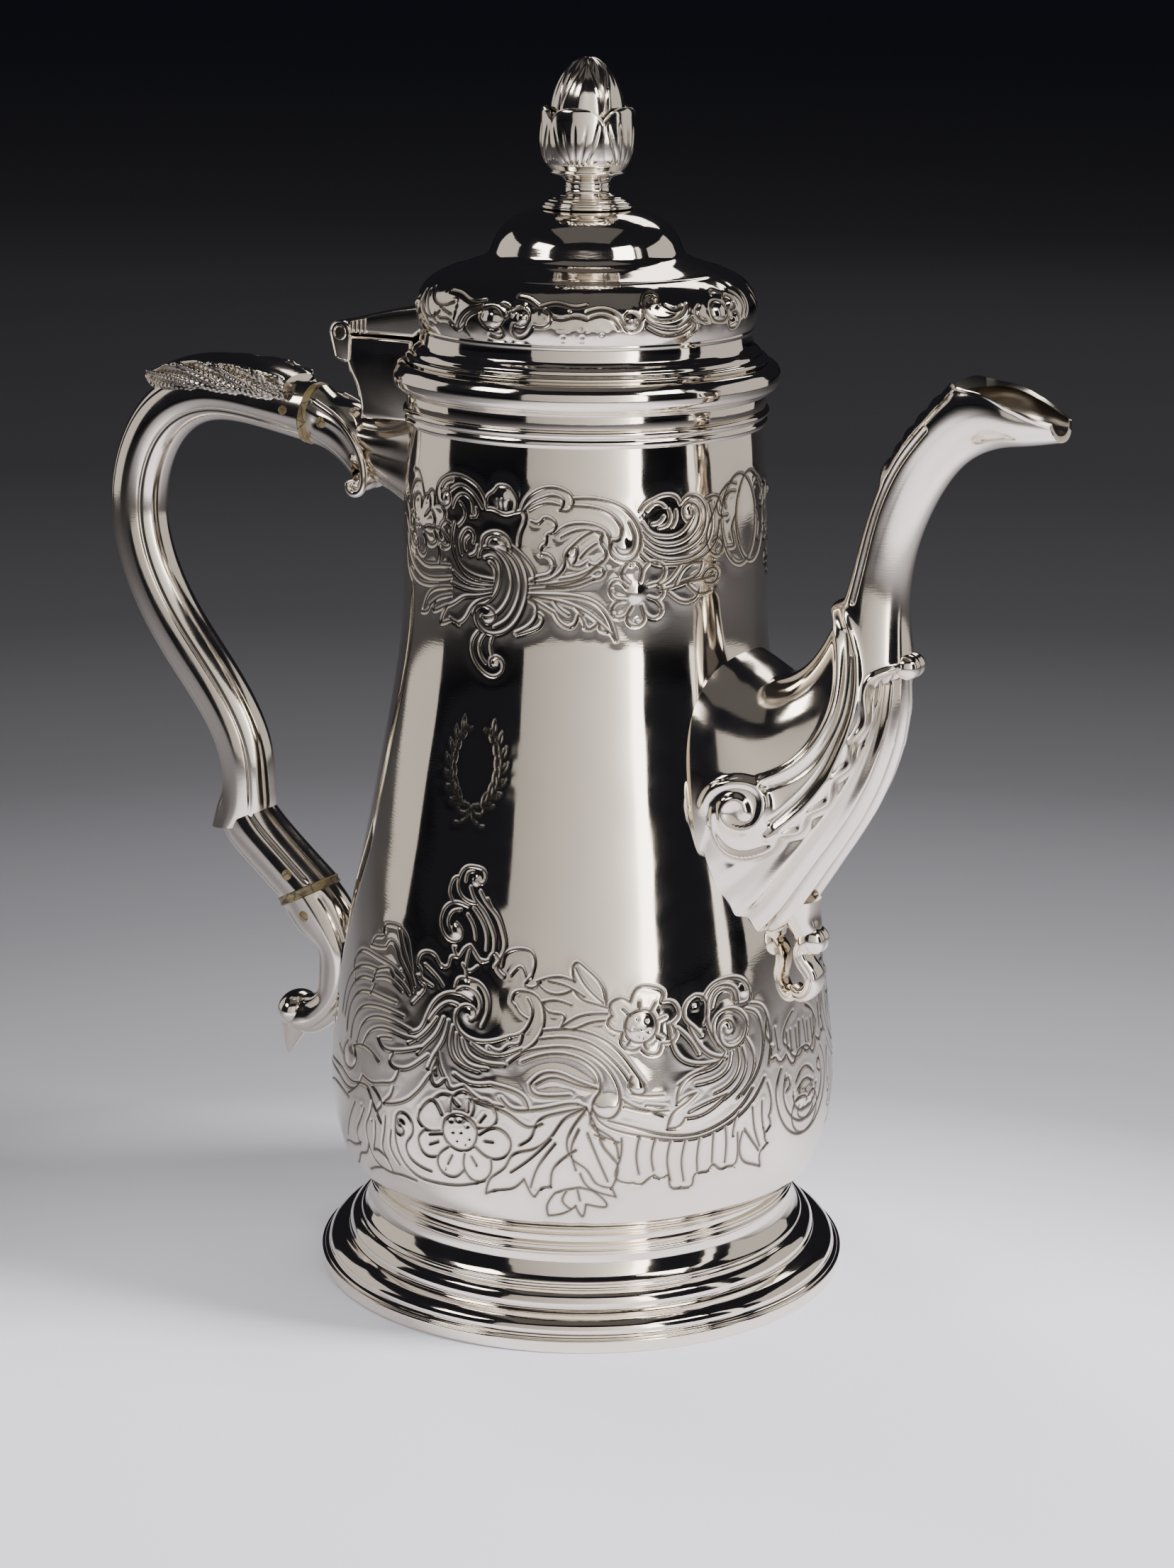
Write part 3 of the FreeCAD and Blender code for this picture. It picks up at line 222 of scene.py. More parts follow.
LOWER_LINES: Strokes = (

    (-25.3, 99.1, -24.4, 98.4, -23.3, 99.5, -23.8, 101.1, -26.2, 101.7, -28.9, 101.3, -30.5, 99.1,
     -30.2, 96.4, -28.2, 94.7, -25.3, 94.2),
    (-28.5, 98.4, -28.2, 100.2, -26.6, 100.7), (-32.5, 97.5, -32.7, 95.6, -31.6, 94),
    (-32.5, 97.5, -31.8, 98.7, -30.4, 99.1),
    (-27.1, 97.5, -25.7, 95.2, -23.5, 93.4, -21.2, 90.6, -19.8, 87.5, -19.8, 84.7),
    (-24.4, 97, -22.4, 94.7, -19.8, 92.5, -18, 89.3, -17.3, 86.1, -18.5, 83.4, -19.4, 82),
    (-22.4, 95.6, -21.2, 93.8), (-25.7, 93.4, -23.5, 91.3, -21.8, 88.2, -21.6, 85.2),
    (-27.1, 93.4, -30.7, 93.8, -33.3, 92.5, -34.2, 89.7, -33, 87, -30.3, 85.8, -28.2, 86.7, -28.5, 88.8,
     -29.8, 89.7),
    (-28.9, 92.5, -31.5, 91.5, -32.1, 89.3, -30.7, 87.6), (-27.1, 91.8, -25.3, 89.7, -24.4, 87),
    (-39.4, 79.3, -38.9, 81.5, -36.6, 82.5, -34.4, 82, -32.5, 80.2, -30.9, 80.4, -30.3, 82.5, -28.5, 82.7),
    (-39.4, 79.3, -38, 77.9, -38.5, 76.4, -36.6, 75.2, -37.8, 72.9, -39.4, 71.1),
    (-30, 84.7, -28.5, 82.7, -27.1, 84.7, -25.7, 85.6), (-25.7, 85.6, -24.4, 84.3, -22.5, 82.7, -20.9, 83.1),
    (-20.9, 83.1, -19.8, 84.7, -18.5, 83.1, -18.9, 82, -17.3, 80.2), (-38.9, 77, -34.4, 75.6),
    (-37.1, 79.7, -32.5, 77, -31.6, 76.1), (-25.7, 84.7, -26.2, 81.1, -25.7, 78.4),
    (-27.1, 81.5, -25.7, 80.2, -23.5, 81.5),
    (-56.9, 79.3, -55.3, 81.5, -52.1, 82.9, -52.4, 84.3, -49.8, 85.5, -46.6, 85.6, -44.2, 84.7, -42.1, 81.5,
     -40.7, 77.6),
    (-56.9, 79.3, -53.5, 79.7, -50.7, 80.4), (-50.7, 80.4, -49.4, 82, -46.6, 81.5, -45.1, 79.7),
    (-45.1, 79.7, -43.5, 78.2, -41.2, 76.1, -39.8, 73.4), (-46.6, 85.6, -44.8, 82.5, -41.6, 78.2,
     -39.4, 74.7),
    (-53.9, 72, -53.3, 74.5, -50.7, 75.8, -48, 76.4, -46.2, 75.2), (-46.2, 75.2, -43.5, 74.5, -40.7, 72.7),
    (-54.2, 69.3, -53, 72), (-52.5, 73.4, -48, 74.3, -43, 72.9),
    (-64.4, 72, -64.5, 74.3, -62.1, 76.7, -57.1, 77.6, -51.6, 77.5, -46.6, 77, -43, 75.6),
    (-68.5, 61.1, -68.2, 66.5, -65.7, 70.6, -61.6, 73.4, -56.2, 74.9, -52.1, 75.2),
    (-66.2, 61.1, -65.7, 65.6, -63, 69.5, -58.5, 72, -53.5, 72.7),
    (-63.6, 58.4, -63.9, 62.9, -61.2, 67.3, -56.2, 69.5, -49.8, 70, -44.4, 70),
    (-60.9, 57.5, -60.7, 61.5, -57.5, 65.5, -52.5, 67.3, -47.1, 67.9, -41.6, 67.6),
    (-57.8, 57.5, -56.9, 61.1, -53.5, 64.3, -48.5, 65.8, -43, 65.8, -38.9, 65.2),
    (-55.3, 57.5, -53.6, 60.6, -50.3, 62.9, -46.2, 63.8, -41.2, 63.6, -37.1, 63.8),
    (-64.4, 72, -63, 70.6, -62.5, 69.3), (-49.1, 61.1, -47.1, 61.8, -44.8, 62.2),
    (-49.1, 61.1, -47.5, 59.7, -43.6, 59.7, -38.9, 61.1, -35.3, 62.5),
    (-43.6, 59.7, -44.4, 57, -41.6, 56.4, -37.1, 58.4, -33.9, 61.1),
    (-41.6, 56.4, -43.5, 52.9, -46.2, 52, -49.8, 50.9, -54.2, 51.3),
    (-54.2, 51.3, -55.3, 49.3, -57.5, 47.3, -60.7, 45.2),
    (-43, 52, -44.2, 49.3, -45.7, 47.9, -41.6, 48.8, -38, 50.9),
    (-38, 50.9, -35.3, 53.8, -33.5, 56.5, -31.6, 58.8),
    (-62.5, 56.5, -64.4, 53.8, -63.5, 51.5, -60.3, 50.9, -57.8, 52.5, -57.5, 54.7, -59.1, 56.4),
    (-68, 53.8, -64.4, 52.5), (-59.1, 56.4, -56.2, 57.5, -51.6, 57.5, -48, 56.1),
    (-75.3, 48.4, -69.8, 49.3, -64.4, 49.3, -59.8, 48.4, -55.3, 49.3),
    (-78, 46.5, -72.5, 47.3, -66.2, 47.3, -60.7, 46.5, -57.5, 47.3),
    (-76.2, 42.9, -70.7, 44.7, -64.4, 44.9, -60.3, 44.3),
    (-24.8, 71.1, -24.2, 70.2, -23.1, 71.1, -23.6, 72.7, -25.7, 73.1, -27.5, 71.8, -27.8, 69.5, -26.2, 67.3,
     -23, 66.1, -18.9, 66.5, -15.3, 67.9),
    (-28.5, 76.5, -28, 78.2, -25.3, 78.7, -22.4, 77.9, -20.5, 75.2, -20.5, 72, -21.5, 69.3),
    (-28.2, 75.8, -25.7, 77, -23, 75.8, -22.1, 72.9, -22.9, 70.9),
    (-35.3, 68.8, -33.5, 72.5, -30.3, 74.9, -27.1, 75.2, -24.4, 74.3),
    (-35.3, 68.8, -36.6, 66.1, -39.4, 64.7),
    (-34.4, 68.4, -32.1, 71.5, -29.4, 73.1, -27.5, 72.9), (-32.5, 69.3, -35.3, 65.6, -38, 63.4, -39.4, 62.5),
    (-30.7, 69.7, -32.5, 65.6, -35.3, 62.5, -36.6, 60.9), (-29.4, 69.3, -30.5, 64.7, -32.5, 61.1,
     -33.6, 58.4),
    (-28.2, 68.4, -28.5, 64.3, -27.1, 61.5, -24.4, 60.2, -21.6, 59.7),
    (-27.1, 67, -26.6, 63.4, -24.4, 61.1, -19.8, 60.6), (-25.7, 66.1, -24.4, 63.4, -21.6, 62, -16.2, 61.8),
    (-23.5, 65.5, -19.8, 63.8, -15.3, 64.3, -12.5, 65.6),
    (-15.3, 67.9, -13.3, 68.5, -11.2, 71.1, -10.7, 73.8, -11.8, 76.1),
    (-19.8, 65.2, -16.9, 64.7, -15.3, 66.1, -13.3, 66.5, -12.7, 68.5),
    (-15.3, 75.2, -14.8, 77, -12.5, 77.6, -9.6, 76.5, -8.2, 73.4, -8.5, 69.7, -10.5, 66.5, -12.7, 64.9),
    (-14.4, 74.5, -13.3, 72.9, -11.8, 72), (-15.3, 75.2, -14.2, 74),
    (-17.8, 82.5, -17.3, 84.7, -14.4, 86.1, -11.2, 85.5, -10.5, 83.1, -11.2, 80.6),
    (-15.7, 80.6, -13.5, 82.5, -12.4, 80.6), (-11.2, 80.6, -12.5, 78.8, -10.3, 78.5, -9.1, 80),
    (-31.5, 62.5, -32.1, 59.7, -32.7, 57.5, -31.2, 55.2, -28.9, 57, -28.2, 55.6, -25.3, 56.1),
    (-31.5, 62.5, -30.7, 59.7, -29.4, 57.5), (-31.5, 61.1, -31.5, 57.5),
    (-10, 79.7, -7.5, 80.6, -4.4, 80.9, -1.8, 80),
    (-1.8, 80, -2.3, 82.5, -1.6, 84, 0.4, 82.9, 2.5, 81.1, 4.3, 78.8, 4.9, 75.2),
    (-10, 79.7, -8, 77.9, -3.9, 77.6, -2.1, 78.4), (-2.1, 78.4, -0.7, 76.7, 2, 75.6, 5.2, 74.5),
    (-8.5, 75.6, -6.2, 76.1, -2.5, 75.2), (-8.5, 75.6, -7.5, 73.8, -3.9, 72.9, -4.5, 70.6),
    (-4.5, 70.6, -0.7, 72.9, 5.2, 73.4), (-4.5, 70.6, -2.5, 70.2, 1.1, 71.5, 4.7, 72),
    (-1.6, 82.9, 0.2, 79.7, 4.3, 75.6), (-7.5, 80, -3.5, 79.1, 0.2, 77),
    (-15.3, 62.5, -12.5, 64.7, -8, 66.1, -2.5, 66.4, 2, 64.7, 5.6, 61.5, 7.5, 57.5, 7.5, 53.8, 5.6, 51.5,
     3.4, 52, 2, 54.3, 3.4, 57),
    (-12.5, 62.9, -8, 64.7, -3, 64.9, 1.1, 63.1, 3.6, 59.7, 3.4, 57),
    (-8.5, 69.7, -2.5, 70.2, 2.9, 68.8, 7.5, 65.6, 10.6, 61.5, 12.7, 58.4),
    (12.7, 58.4, 12.5, 56.4, 10.6, 56.4, 9.5, 57.9, 10, 60.2),
    (-8.9, 67.9, -3.5, 68.5, 1.5, 67.3, 5.6, 64.3, 8.8, 60.6, 10, 58.4), (10, 56.4, 12.9, 55.8, 16.5, 55.6),
    (8.4, 53.8, 12.9, 52.5, 17.5, 52.2), (12.9, 53.8, 17, 53.1),
    (7.9, 55.5, 10.2, 53.8, 13.8, 52.5, 16.7, 51.3), (-9.6, 58.4, -6.2, 60, -1.6, 58.8, 3.4, 57.6),
    (-10.7, 58.4, -8.5, 60.6, -5.3, 61.1, -1.6, 59.7, 2.9, 57.9),
    (-10.7, 58.4, -10.3, 57, -6.2, 56.1, -2.5, 56.4), (-18.9, 57.5, -15.3, 57, -11.6, 55.2, -10.7, 52.9),
    (-10.7, 52.9, -14.4, 52.9, -16.6, 54.9), (-23.5, 53.8, -18.9, 52.9, -14.4, 51.5, -10.3, 49.3, -8, 50.2),
    (-24.8, 56.4, -20.7, 53.8, -16.2, 53.1), (-27.1, 58.4, -23.5, 57, -18.9, 57.5),
    (-10.3, 52.9, -6.2, 53.8, -0.7, 54.5, 0.9, 53.8),
    (0.9, 53.8, -5.3, 52.5, -8.9, 50.6, -10.3, 47, -12.5, 45.2),
    (0.9, 53.6, -1.6, 50.2, -3, 46.1, -1.8, 42.5, 1.1, 40, 2.9, 37, 6.1, 35.8),
    (0.9, 53.6, 2.9, 49.3, 4.7, 44.7, 7, 41.5, 6.1, 35.8), (6.1, 35.8, 7, 33.6),
    (7, 33.6, 3.8, 34.7, 1.1, 36.4, -0.3, 39.3),
    (0.9, 53.6, -3.5, 51.5, -6.2, 47.5, -10.3, 44.3, -13.9, 42.9, -15.3, 40.2, -18.5, 37, -20, 32.9),
    (-20, 32.9, -18, 34, -13.9, 35.2, -11.6, 37.5), (-11.6, 37.5, -9.4, 33.6, -8.2, 35.5, -6.2, 36.1),
    (-6.2, 36.1, -5.7, 40.2, -1.2, 44.7), (-5.3, 34.7, -7.1, 31.1, -6.9, 28.8),
    (-6.9, 28.8, -3.5, 29.7, -1.2, 31.5), (-1.2, 31.5, 0.2, 28.8, 0.9, 32),
    (0.9, 32, 5.2, 31.5, 2.9, 34.7, -0.3, 36.1), (-5.3, 34.7, -3, 35.6, -0.3, 36.1),
    (-3, 35.2, -3.9, 32.9, -2.1, 30.6), (-0.9, 35.8, -0.3, 32.9), (-0.7, 49.3, -2.1, 44.7, -1.2, 40.2),
    (1.1, 48.4, 2.9, 43.4, 5.2, 37.5), (-5.3, 46.1, -8.9, 40.2, -10.3, 35.6),
    (-6.2, 47, -10.7, 42, -14.4, 38.8), (2, 50.2, 4.3, 48.4, 6.1, 47, 7.3, 42.5), (2.5, 47.9, 4.3, 47),
    (6.1, 72.9, 5.6, 75.2, 7.5, 76.5, 10, 75.6), (10, 75.6, 11.5, 78.4, 14.7, 78.5, 17.5, 77, 17, 75.2),
    (17, 75.2, 19.7, 74.7, 20.6, 72, 18.8, 70.4), (18.8, 70.4, 20, 68.5, 18.5, 66.5, 16.5, 66.5),
    (16.5, 66.5, 15.6, 64.5, 13.4, 64.7, 12, 66.1), (12, 66.1, 9.7, 65.6, 7.9, 67.5, 8.4, 69.5),
    (8.4, 69.5, 6.1, 70.2, 5.2, 72, 6.1, 72.9),
    (11.5, 73.8, 14.3, 73.4, 15.6, 71.1, 14.9, 68.4, 12.5, 67, 9.7, 67.9, 8.8, 70.6, 9.7, 72.9, 11.5, 73.8),
    (10, 72.9, 8.5, 74.3), (12, 74, 12, 75.6), (14.3, 73.4, 15.5, 75.2), (15.6, 71.3, 17.6, 72),
    (15.2, 68.5, 16.7, 67.6), (12.9, 67, 13.3, 65.6), (10, 67.8, 9.1, 66.7),
    (18.4, 70.4, 18.8, 66.5, 20.6, 62.9, 24.7, 61.1, 28.8, 60.9), (20.2, 69.3, 22.9, 66.5, 24.7, 63.4),
    (24.7, 75.6, 22.5, 74.3, 22, 71.1, 23.6, 69.3, 25.6, 67), (24.7, 75.6, 26.5, 75.2, 27.5, 72, 26.5, 69.3),
    (22.9, 69.3, 24.7, 65.6, 27.9, 62.5, 31.1, 61.5),
    (31.1, 67.9, 31.5, 66.5, 33.1, 66.4, 33.6, 67.9, 32.5, 69.3, 30.6, 68.8, 30, 66.5, 31.1, 64, 34.3, 63.4,
     36.7, 65.2, 37.3, 68.4, 35.6, 70.6, 32.5, 71.5, 29.3, 70.2, 28.5, 67.5, 29.5, 64.3),
    (35.6, 72, 35.2, 75.2, 32.5, 76.7, 29.3, 76.1, 27.5, 73.4, 27.3, 69.7, 28.5, 66.1, 31.1, 62.9),
    (35.6, 72, 38.8, 72.5, 38.5, 75.6, 36.1, 77.5, 32.2, 77.9, 28.8, 77, 26.5, 74.7),
    (34.7, 72.9, 34, 75.2, 32, 75.8, 29.7, 74.9, 28.5, 72.5),
    (37.5, 70.6, 40.2, 69.3, 41.5, 65.6, 41.1, 61.1, 38.8, 56.5, 34.7, 52.9),
    (38.8, 71.5, 42.2, 70.2, 43.8, 66.5, 43.8, 62.5, 42.5, 57.5),
    (35.6, 62.9, 36.1, 59.3, 33.8, 55.2, 30.2, 52.9), (34.3, 62.9, 34.3, 59.3, 32, 56.1, 27.9, 54.5),
    (32.5, 62.5, 31.5, 59.3, 28.4, 57.5, 23.8, 57), (31.1, 62.5, 28.4, 60.2, 23.8, 59.3, 20, 57.5),
    (36.7, 64.7, 38.4, 61.1, 37.5, 56.5, 33.4, 52.5),
    (29.3, 61.1, 24.7, 59.7, 21.5, 58.4, 19.7, 56.1, 19.5, 53.4), (19.5, 53.4, 21.5, 54.7, 23.8, 55.2),
    (23.8, 55.2, 20.6, 52.9, 18.4, 51.5, 17.3, 48.4), (17.3, 48.4, 19.7, 48.5, 21.1, 50.2),
    (21.1, 50.2, 23.8, 50.2, 27.5, 51.5, 31.1, 53.8), (31.1, 53.8, 26.5, 52.9, 22, 51.5),
    (2, 53.8, 3.4, 50.9, 7.5, 48.5, 12.9, 47, 18.4, 45.8, 24.7, 45.6, 30.2, 47, 34.7, 49.1, 38.4, 52,
     41.1, 55.2),
    (5.2, 50.9, 10.2, 49.3, 16.5, 47.3, 22.9, 46.5, 29.3, 47.9, 34.3, 50.6, 37.5, 53.8),
    (2, 53.8, 1.8, 50.2, 4.3, 47.5, 7.5, 46.1), (7.9, 47, 7.5, 42, 7, 37.9, 8.4, 37, 10.4, 36.7),
    (10.4, 36.7, 12.2, 36.4, 13.4, 37.5, 14.7, 38.2),
    (14.7, 38.2, 16.5, 37.3, 17.5, 37.9, 18.2, 35.2, 20.6, 34.5),
    (20.6, 34.5, 23.1, 34.7, 23.4, 37, 25.2, 37.5),
    (25.2, 37.5, 26.7, 37.6, 27.5, 38.8, 29.1, 37.5, 31.1, 37.6),
    (31.1, 37.6, 32.9, 37.5, 33.6, 40.2, 33.4, 44.7), (11.5, 47.3, 10.9, 42.9, 11.5, 38.8),
    (14.7, 46.4, 14, 42.5, 14.5, 39.3), (17.9, 45.6, 17.3, 41.5, 18.2, 36.5),
    (21.1, 45.2, 20.4, 41.1, 21.1, 36.1), (24.3, 45.2, 23.8, 41.5, 24, 37.9),
    (27.5, 45.8, 27.3, 42.5, 27.3, 39.3), (30.4, 46.5, 30.6, 42.9, 30.4, 38.8),
    (34.7, 44.7, 34, 40.6, 35.2, 37.9, 37.9, 36.4, 40.4, 35.2), (40.4, 35.2, 40, 38.8, 41.8, 40.2),
    (41.8, 40.2, 40.9, 42.5, 42.5, 44.3, 42, 46.5), (35.2, 45.2, 36.7, 42.9, 39.3, 39.3),
    (37.5, 49.3, 37.9, 44.7, 39.5, 40.2), (40.2, 50.2, 40.2, 45.6, 41.1, 42),
    (42, 53.8, 42.9, 49.3, 42.2, 46.5), (33.8, 49.3, 32.5, 46.5, 32.2, 44.3),
    (43.4, 67.5, 42.7, 63.8, 43.8, 61.1, 43.4, 58.4, 45.2, 58.4), (45.2, 58.4, 46.4, 57, 48.8, 58.2),
    (48.8, 58.2, 51.1, 55.5, 52.9, 57.3, 55.2, 57.9), (55.2, 57.9, 57.5, 56.5, 60.2, 57.5, 61.1, 59.3),
    (61.1, 59.3, 62.9, 61.1, 62, 63.8, 58.4, 66.5), (45.6, 64.7, 46.1, 59.7), (49.3, 62.9, 49.5, 58.8),
    (52.9, 62.9, 52.9, 58.4), (56.5, 63.8, 57, 58.4), (60.2, 62.9, 60.2, 58.4),
    (46.5, 55.6, 44.9, 52.9, 44.7, 48.4, 46.5, 43.8, 50.2, 40.2, 54.7, 38.8, 59.3, 40.2, 61.1, 43.8,
     59.7, 47, 56.5, 47.3, 55.2, 46.1),
    (47.9, 53.8, 47, 49.7, 48.4, 45.6, 52, 42.5, 56.1, 42, 58.8, 44, 58.4, 45.6),
    (50.6, 49.3, 51.1, 46.1, 53.8, 44.3, 57, 44.7), (47.9, 50.2, 49.3, 51.5, 48.8, 53.1, 47.5, 52.5),
    (51.5, 51.1, 53.4, 52.9, 56.5, 53.4, 58.4, 52), (52, 49.3, 54.7, 50.6, 57.5, 50.2, 58.4, 48.4),
    (-29.4, 49.3, -32.1, 52, -34.4, 50.2, -35.5, 47, -33.6, 45.2, -29.8, 45.6),
    (-27.5, 50.2, -27.1, 53.8, -24.4, 55.2, -22.4, 53.4, -23, 50), (-27.1, 53.8, -29.8, 53.8, -32.1, 52),
    (-22.4, 53.4, -19.4, 53.8, -17.3, 50.9, -18.5, 48.4, -21.5, 47.9),
    (-20.9, 46.5, -17.3, 48.4, -14.5, 46.4, -15.3, 42.5, -18.5, 41.5, -21.8, 43.6),
    (-18.5, 41.5, -18.9, 37.5, -22.1, 35.5, -24.4, 37.9, -24.2, 41.5),
    (-24.4, 37.9, -27.1, 35.6, -30.3, 36.7, -30.5, 39.7, -27.8, 42.5),
    (-30.5, 39.7, -33.6, 39.3, -35.5, 42.5, -33.6, 45.2), (-29.1, 45.2, -32.5, 44.3),
    (-28.9, 48.4, -27.1, 49.8, -24.2, 50, -21.8, 48.5, -21.5, 45.6, -22.7, 43.1, -25.5, 42.2, -28, 43.4,
     -29.2, 45.8, -28.9, 48.4),
    (-27.5, 53.4, -25.7, 52), (-23.5, 53.1, -23.5, 51.1), (-19.8, 50.9, -20.9, 49.3),
    (-18, 45.2, -19.8, 45.2),
    (-21.6, 39.3, -22.7, 41.1), (-28.2, 38.5, -27.1, 40.6), (-32.5, 42, -30.3, 43.1),
    (-42.1, 44.3, -41.6, 46.4, -39.4, 47.3, -37.3, 45.8, -37.3, 42.9, -38.9, 40.6, -38.9, 38.5, -36.6, 36.5,
     -32.5, 35.6),
    (-42.1, 44.3, -41.8, 42.5, -40.3, 42, -39.4, 43.4, -40.3, 44.5),
    (-42.1, 44.3, -42.1, 40.2, -40.7, 36.5, -37.1, 33.6, -31.6, 33.1, -25.3, 34, -19.8, 36.1),
    (-43.5, 42, -43.9, 37.9, -41.6, 34.7), (-45.3, 34.7, -46.6, 36.5, -46, 40.2, -45.3, 44.7),
    (-44.2, 31.8, -41.6, 32.2, -37.1, 32), (-52.1, 36.5, -53.5, 33.8, -56.6, 32.5, -59.4, 29.7, -61.2, 28.5),
    (-52.1, 36.5, -51.2, 33.8, -48.9, 32.2, -44.2, 31.8), (-44.2, 31.8, -46.2, 35.2, -48.5, 36.1,
     -50.3, 35.6),
    (-53.9, 29.5, -50.7, 31.1, -48, 32), (-65.7, 32, -63, 33.1, -58.9, 33.8, -55.5, 35.5),
    (-54.8, 49.3, -51.6, 49.3, -49.8, 47, -48, 44.9, -46.6, 42.9),
    (-46.6, 42.9, -48, 45.2, -46.6, 47, -48, 49.3, -49.8, 50.2),
    (-49.8, 47, -50.7, 43.8, -52.5, 40.2, -52.1, 36.5), (-53, 44.3, -55.3, 40.2, -57.1, 36.5, -56.2, 34.7),
    (-57.1, 44.3, -59.8, 40.2, -63, 34.7), (-48.9, 42.5, -49.1, 39.3, -50.3, 35.6),
)
LOWER_DOMES: Strokes = (
    (-25.5, 46.2, 4), (12.2, 70.4, 2.6), (32.2, 67.6, 1.4), (-24.4, 71.5, 1.3), (-25.7, 99.1, 1),
    (-60.3, 53.6, 2), (-40.2, 44, 1.2), (5.2, 53.8, 2), (11.1, 57.6, 1.3), (54, 47, 1.6), (-25.3, 77, 1.5),
    (-29.8, 88.2, 1.3), (37.5, 74.7, 1.2),
)
LOWER_PUNCHES: Strokes = (
    (-29.4, 84.7), (-22.4, 82.7), (-18.5, 83.1), (-32.5, 80.2), (-38, 77), (-36.6, 75.6), (-38, 73.1),
    (-0.9, 54.9), (0.9, 53.8), (-27.1, 48.4), (-25.3, 48.8), (-23.5, 47.9), (-26.6, 46.1), (-24.8, 46.4),
    (-23, 45.2), (-25.7, 44.3), (-23.9, 43.8), (11.5, 72), (13.4, 71.5), (10.6, 70.2), (12.5, 70),
    (13.8, 69.5),
    (11.5, 68.5), (12.9, 68.2), (24.3, 73.4), (25.2, 67.9), (25.2, 65.5), (6.1, 35.8), (-9.4, 35.2),
    (-6.2, 36.1), (-18, 34), (-8.2, 35.5), (-1.2, 31.5), (20.6, 34.7), (27, 37.9), (10.6, 37), (14.7, 37.9),
    (33.1, 37), (37.5, 49.7), (40.6, 44.3), (42, 40.6), (-11.2, 80.6), (-12.7, 68.5), (-15.3, 67.6),
    (-19.8, 65.2), (-53.9, 44.7), (-50, 42.5), (44.3, 61.1), (44.7, 58.5), (50.4, 48.4), (-46.6, 85.6),
    (-51.6, 83.8), (-44.2, 77), (-28.9, 37), (-21.8, 35.2), (-35.3, 49.3),
)

LID_LINES: Strokes = (
    (-22.5, 216, -23.1, 214.4, -21.9, 212.9, -20, 212.2, -18.1, 213, -17.2, 214.4),
    (-22.5, 216, -20.6, 216.5, -18.8, 216.1, -17.2, 214.4),
    (-17.2, 214.4, -15.9, 215.4, -16.9, 216.9, -18.1, 217.2),
    (-15.9, 215.4, -14.1, 216.6, -12.2, 216, -11.9, 214.4, -13.1, 213.2, -15, 213.6),
    (-15, 213.6, -15.3, 211.6, -13.8, 210.7, -11.9, 211.8, -10.9, 213.5),
    (-18.1, 213, -17.5, 211, -18.4, 210.5, -20.6, 211),
    (-26.2, 210.4, -27.2, 212.2, -25.9, 214.4, -23.1, 215.7),
    (-10.9, 213.5, -9.1, 213.2, -7.5, 214.1, -7.5, 215.7, -8.8, 216.6),
    (-26.9, 212.9, -29.4, 211.3, -31.9, 212.9, -35, 212.9, -37.5, 213.8),
    (-29.4, 211.3, -28.4, 213.5, -26.9, 215.1, -23.1, 216.6), (-31.2, 214.1, -33.8, 214.8, -35.6, 215.4),
    (-43.8, 217.9, -41.9, 215.4, -40, 213.5, -36.9, 212.2),
    (-42.5, 218.5, -39.4, 216.6, -35, 215.7, -31.2, 216.6), (-46.2, 216.6, -43.8, 214.1, -40.6, 211.6),
    (-7.5, 215.4, -5, 214.8, -2.5, 215.4, 0, 214.8),
    (0, 216.3, 3.1, 216.9, 6.2, 215.7, 7.2, 214.1, 8.4, 212.6, 10.3, 212.9, 10.9, 214.4, 9.7, 215.9,
     8.1, 215.7, 7.8, 214.4, 8.8, 214),
    (0.6, 215.1, 3.1, 215.7, 5.6, 214.4, 6.6, 212.9), (10.9, 214.4, 11.9, 216, 11.6, 217.6),
    (13.8, 218.2, 14.7, 217.6, 15.6, 218.4, 15, 219.4, 13.1, 219.4, 11.9, 217.9, 12.5, 215.7, 15, 214.4,
     18.1, 214.4, 21.2, 216, 21.9, 217.2),
    (11.6, 216.3, 13.1, 214.1, 16.2, 212.9, 19.7, 212.9, 22.5, 214.4),
    (12.5, 213.2, 15.6, 211.6, 19.4, 211.6, 22.5, 213.2), (16.9, 217.2, 18.8, 216.3, 20.6, 216.9),
    (21.9, 213.5, 23.1, 213.8, 23.8, 212.6, 22.8, 211.6), (25, 216.6, 23.8, 215.4, 24.7, 214.1, 26.2, 213.5),
    (28.1, 215.1, 28.4, 216.6, 30.3, 217.2, 32.5, 216.3, 33.4, 214.8, 32.5, 213.4, 30.3, 213.2, 28.6, 213.8,
     28.1, 215.1),
    (33.4, 217.2, 35, 217.9, 36.6, 216.9, 36.2, 215.4, 34.4, 215.1),
    (33.4, 213.5, 34.1, 211.6, 35.9, 211.3, 37.5, 212.9, 36.9, 214.4, 35, 214.4),
    (37.5, 218.5, 39.4, 217.2, 40, 215.1, 38.8, 213.5), (30, 218.5, 31.9, 219.1, 33.8, 218.2),
    (41.2, 219.1, 42.5, 217.2, 42.2, 214.8, 40.9, 213.5), (-9.4, 217.2, -6.2, 217.9, -2.5, 217.2, 0, 217.6),
    (-15, 218.8, -12.5, 218.5, -10, 217.2), (-34.4, 218.5, -30, 218.2, -26.2, 217.2, -22.5, 217.6),
)
LID_DOMES: Strokes = (
    (-20, 214.4, 1.6), (-15.9, 215.7, 0.8), (-13.1, 214.9, 1.1), (8.8, 214.4, 1), (14.7, 218.2, 1),
    (30.6, 215.1, 1.8), (34.7, 216.3, 1), (35.6, 212.9, 1.2),
)
LID_PUNCHES: Strokes = (
    (-4.7, 211.3), (-1.2, 212.9), (-0.9, 211.3), (3.1, 211.8), (-3.4, 216.3), (-13.1, 217.2), (-18.1, 211.6),
    (-30.9, 212.2), (-35, 212.9),
)

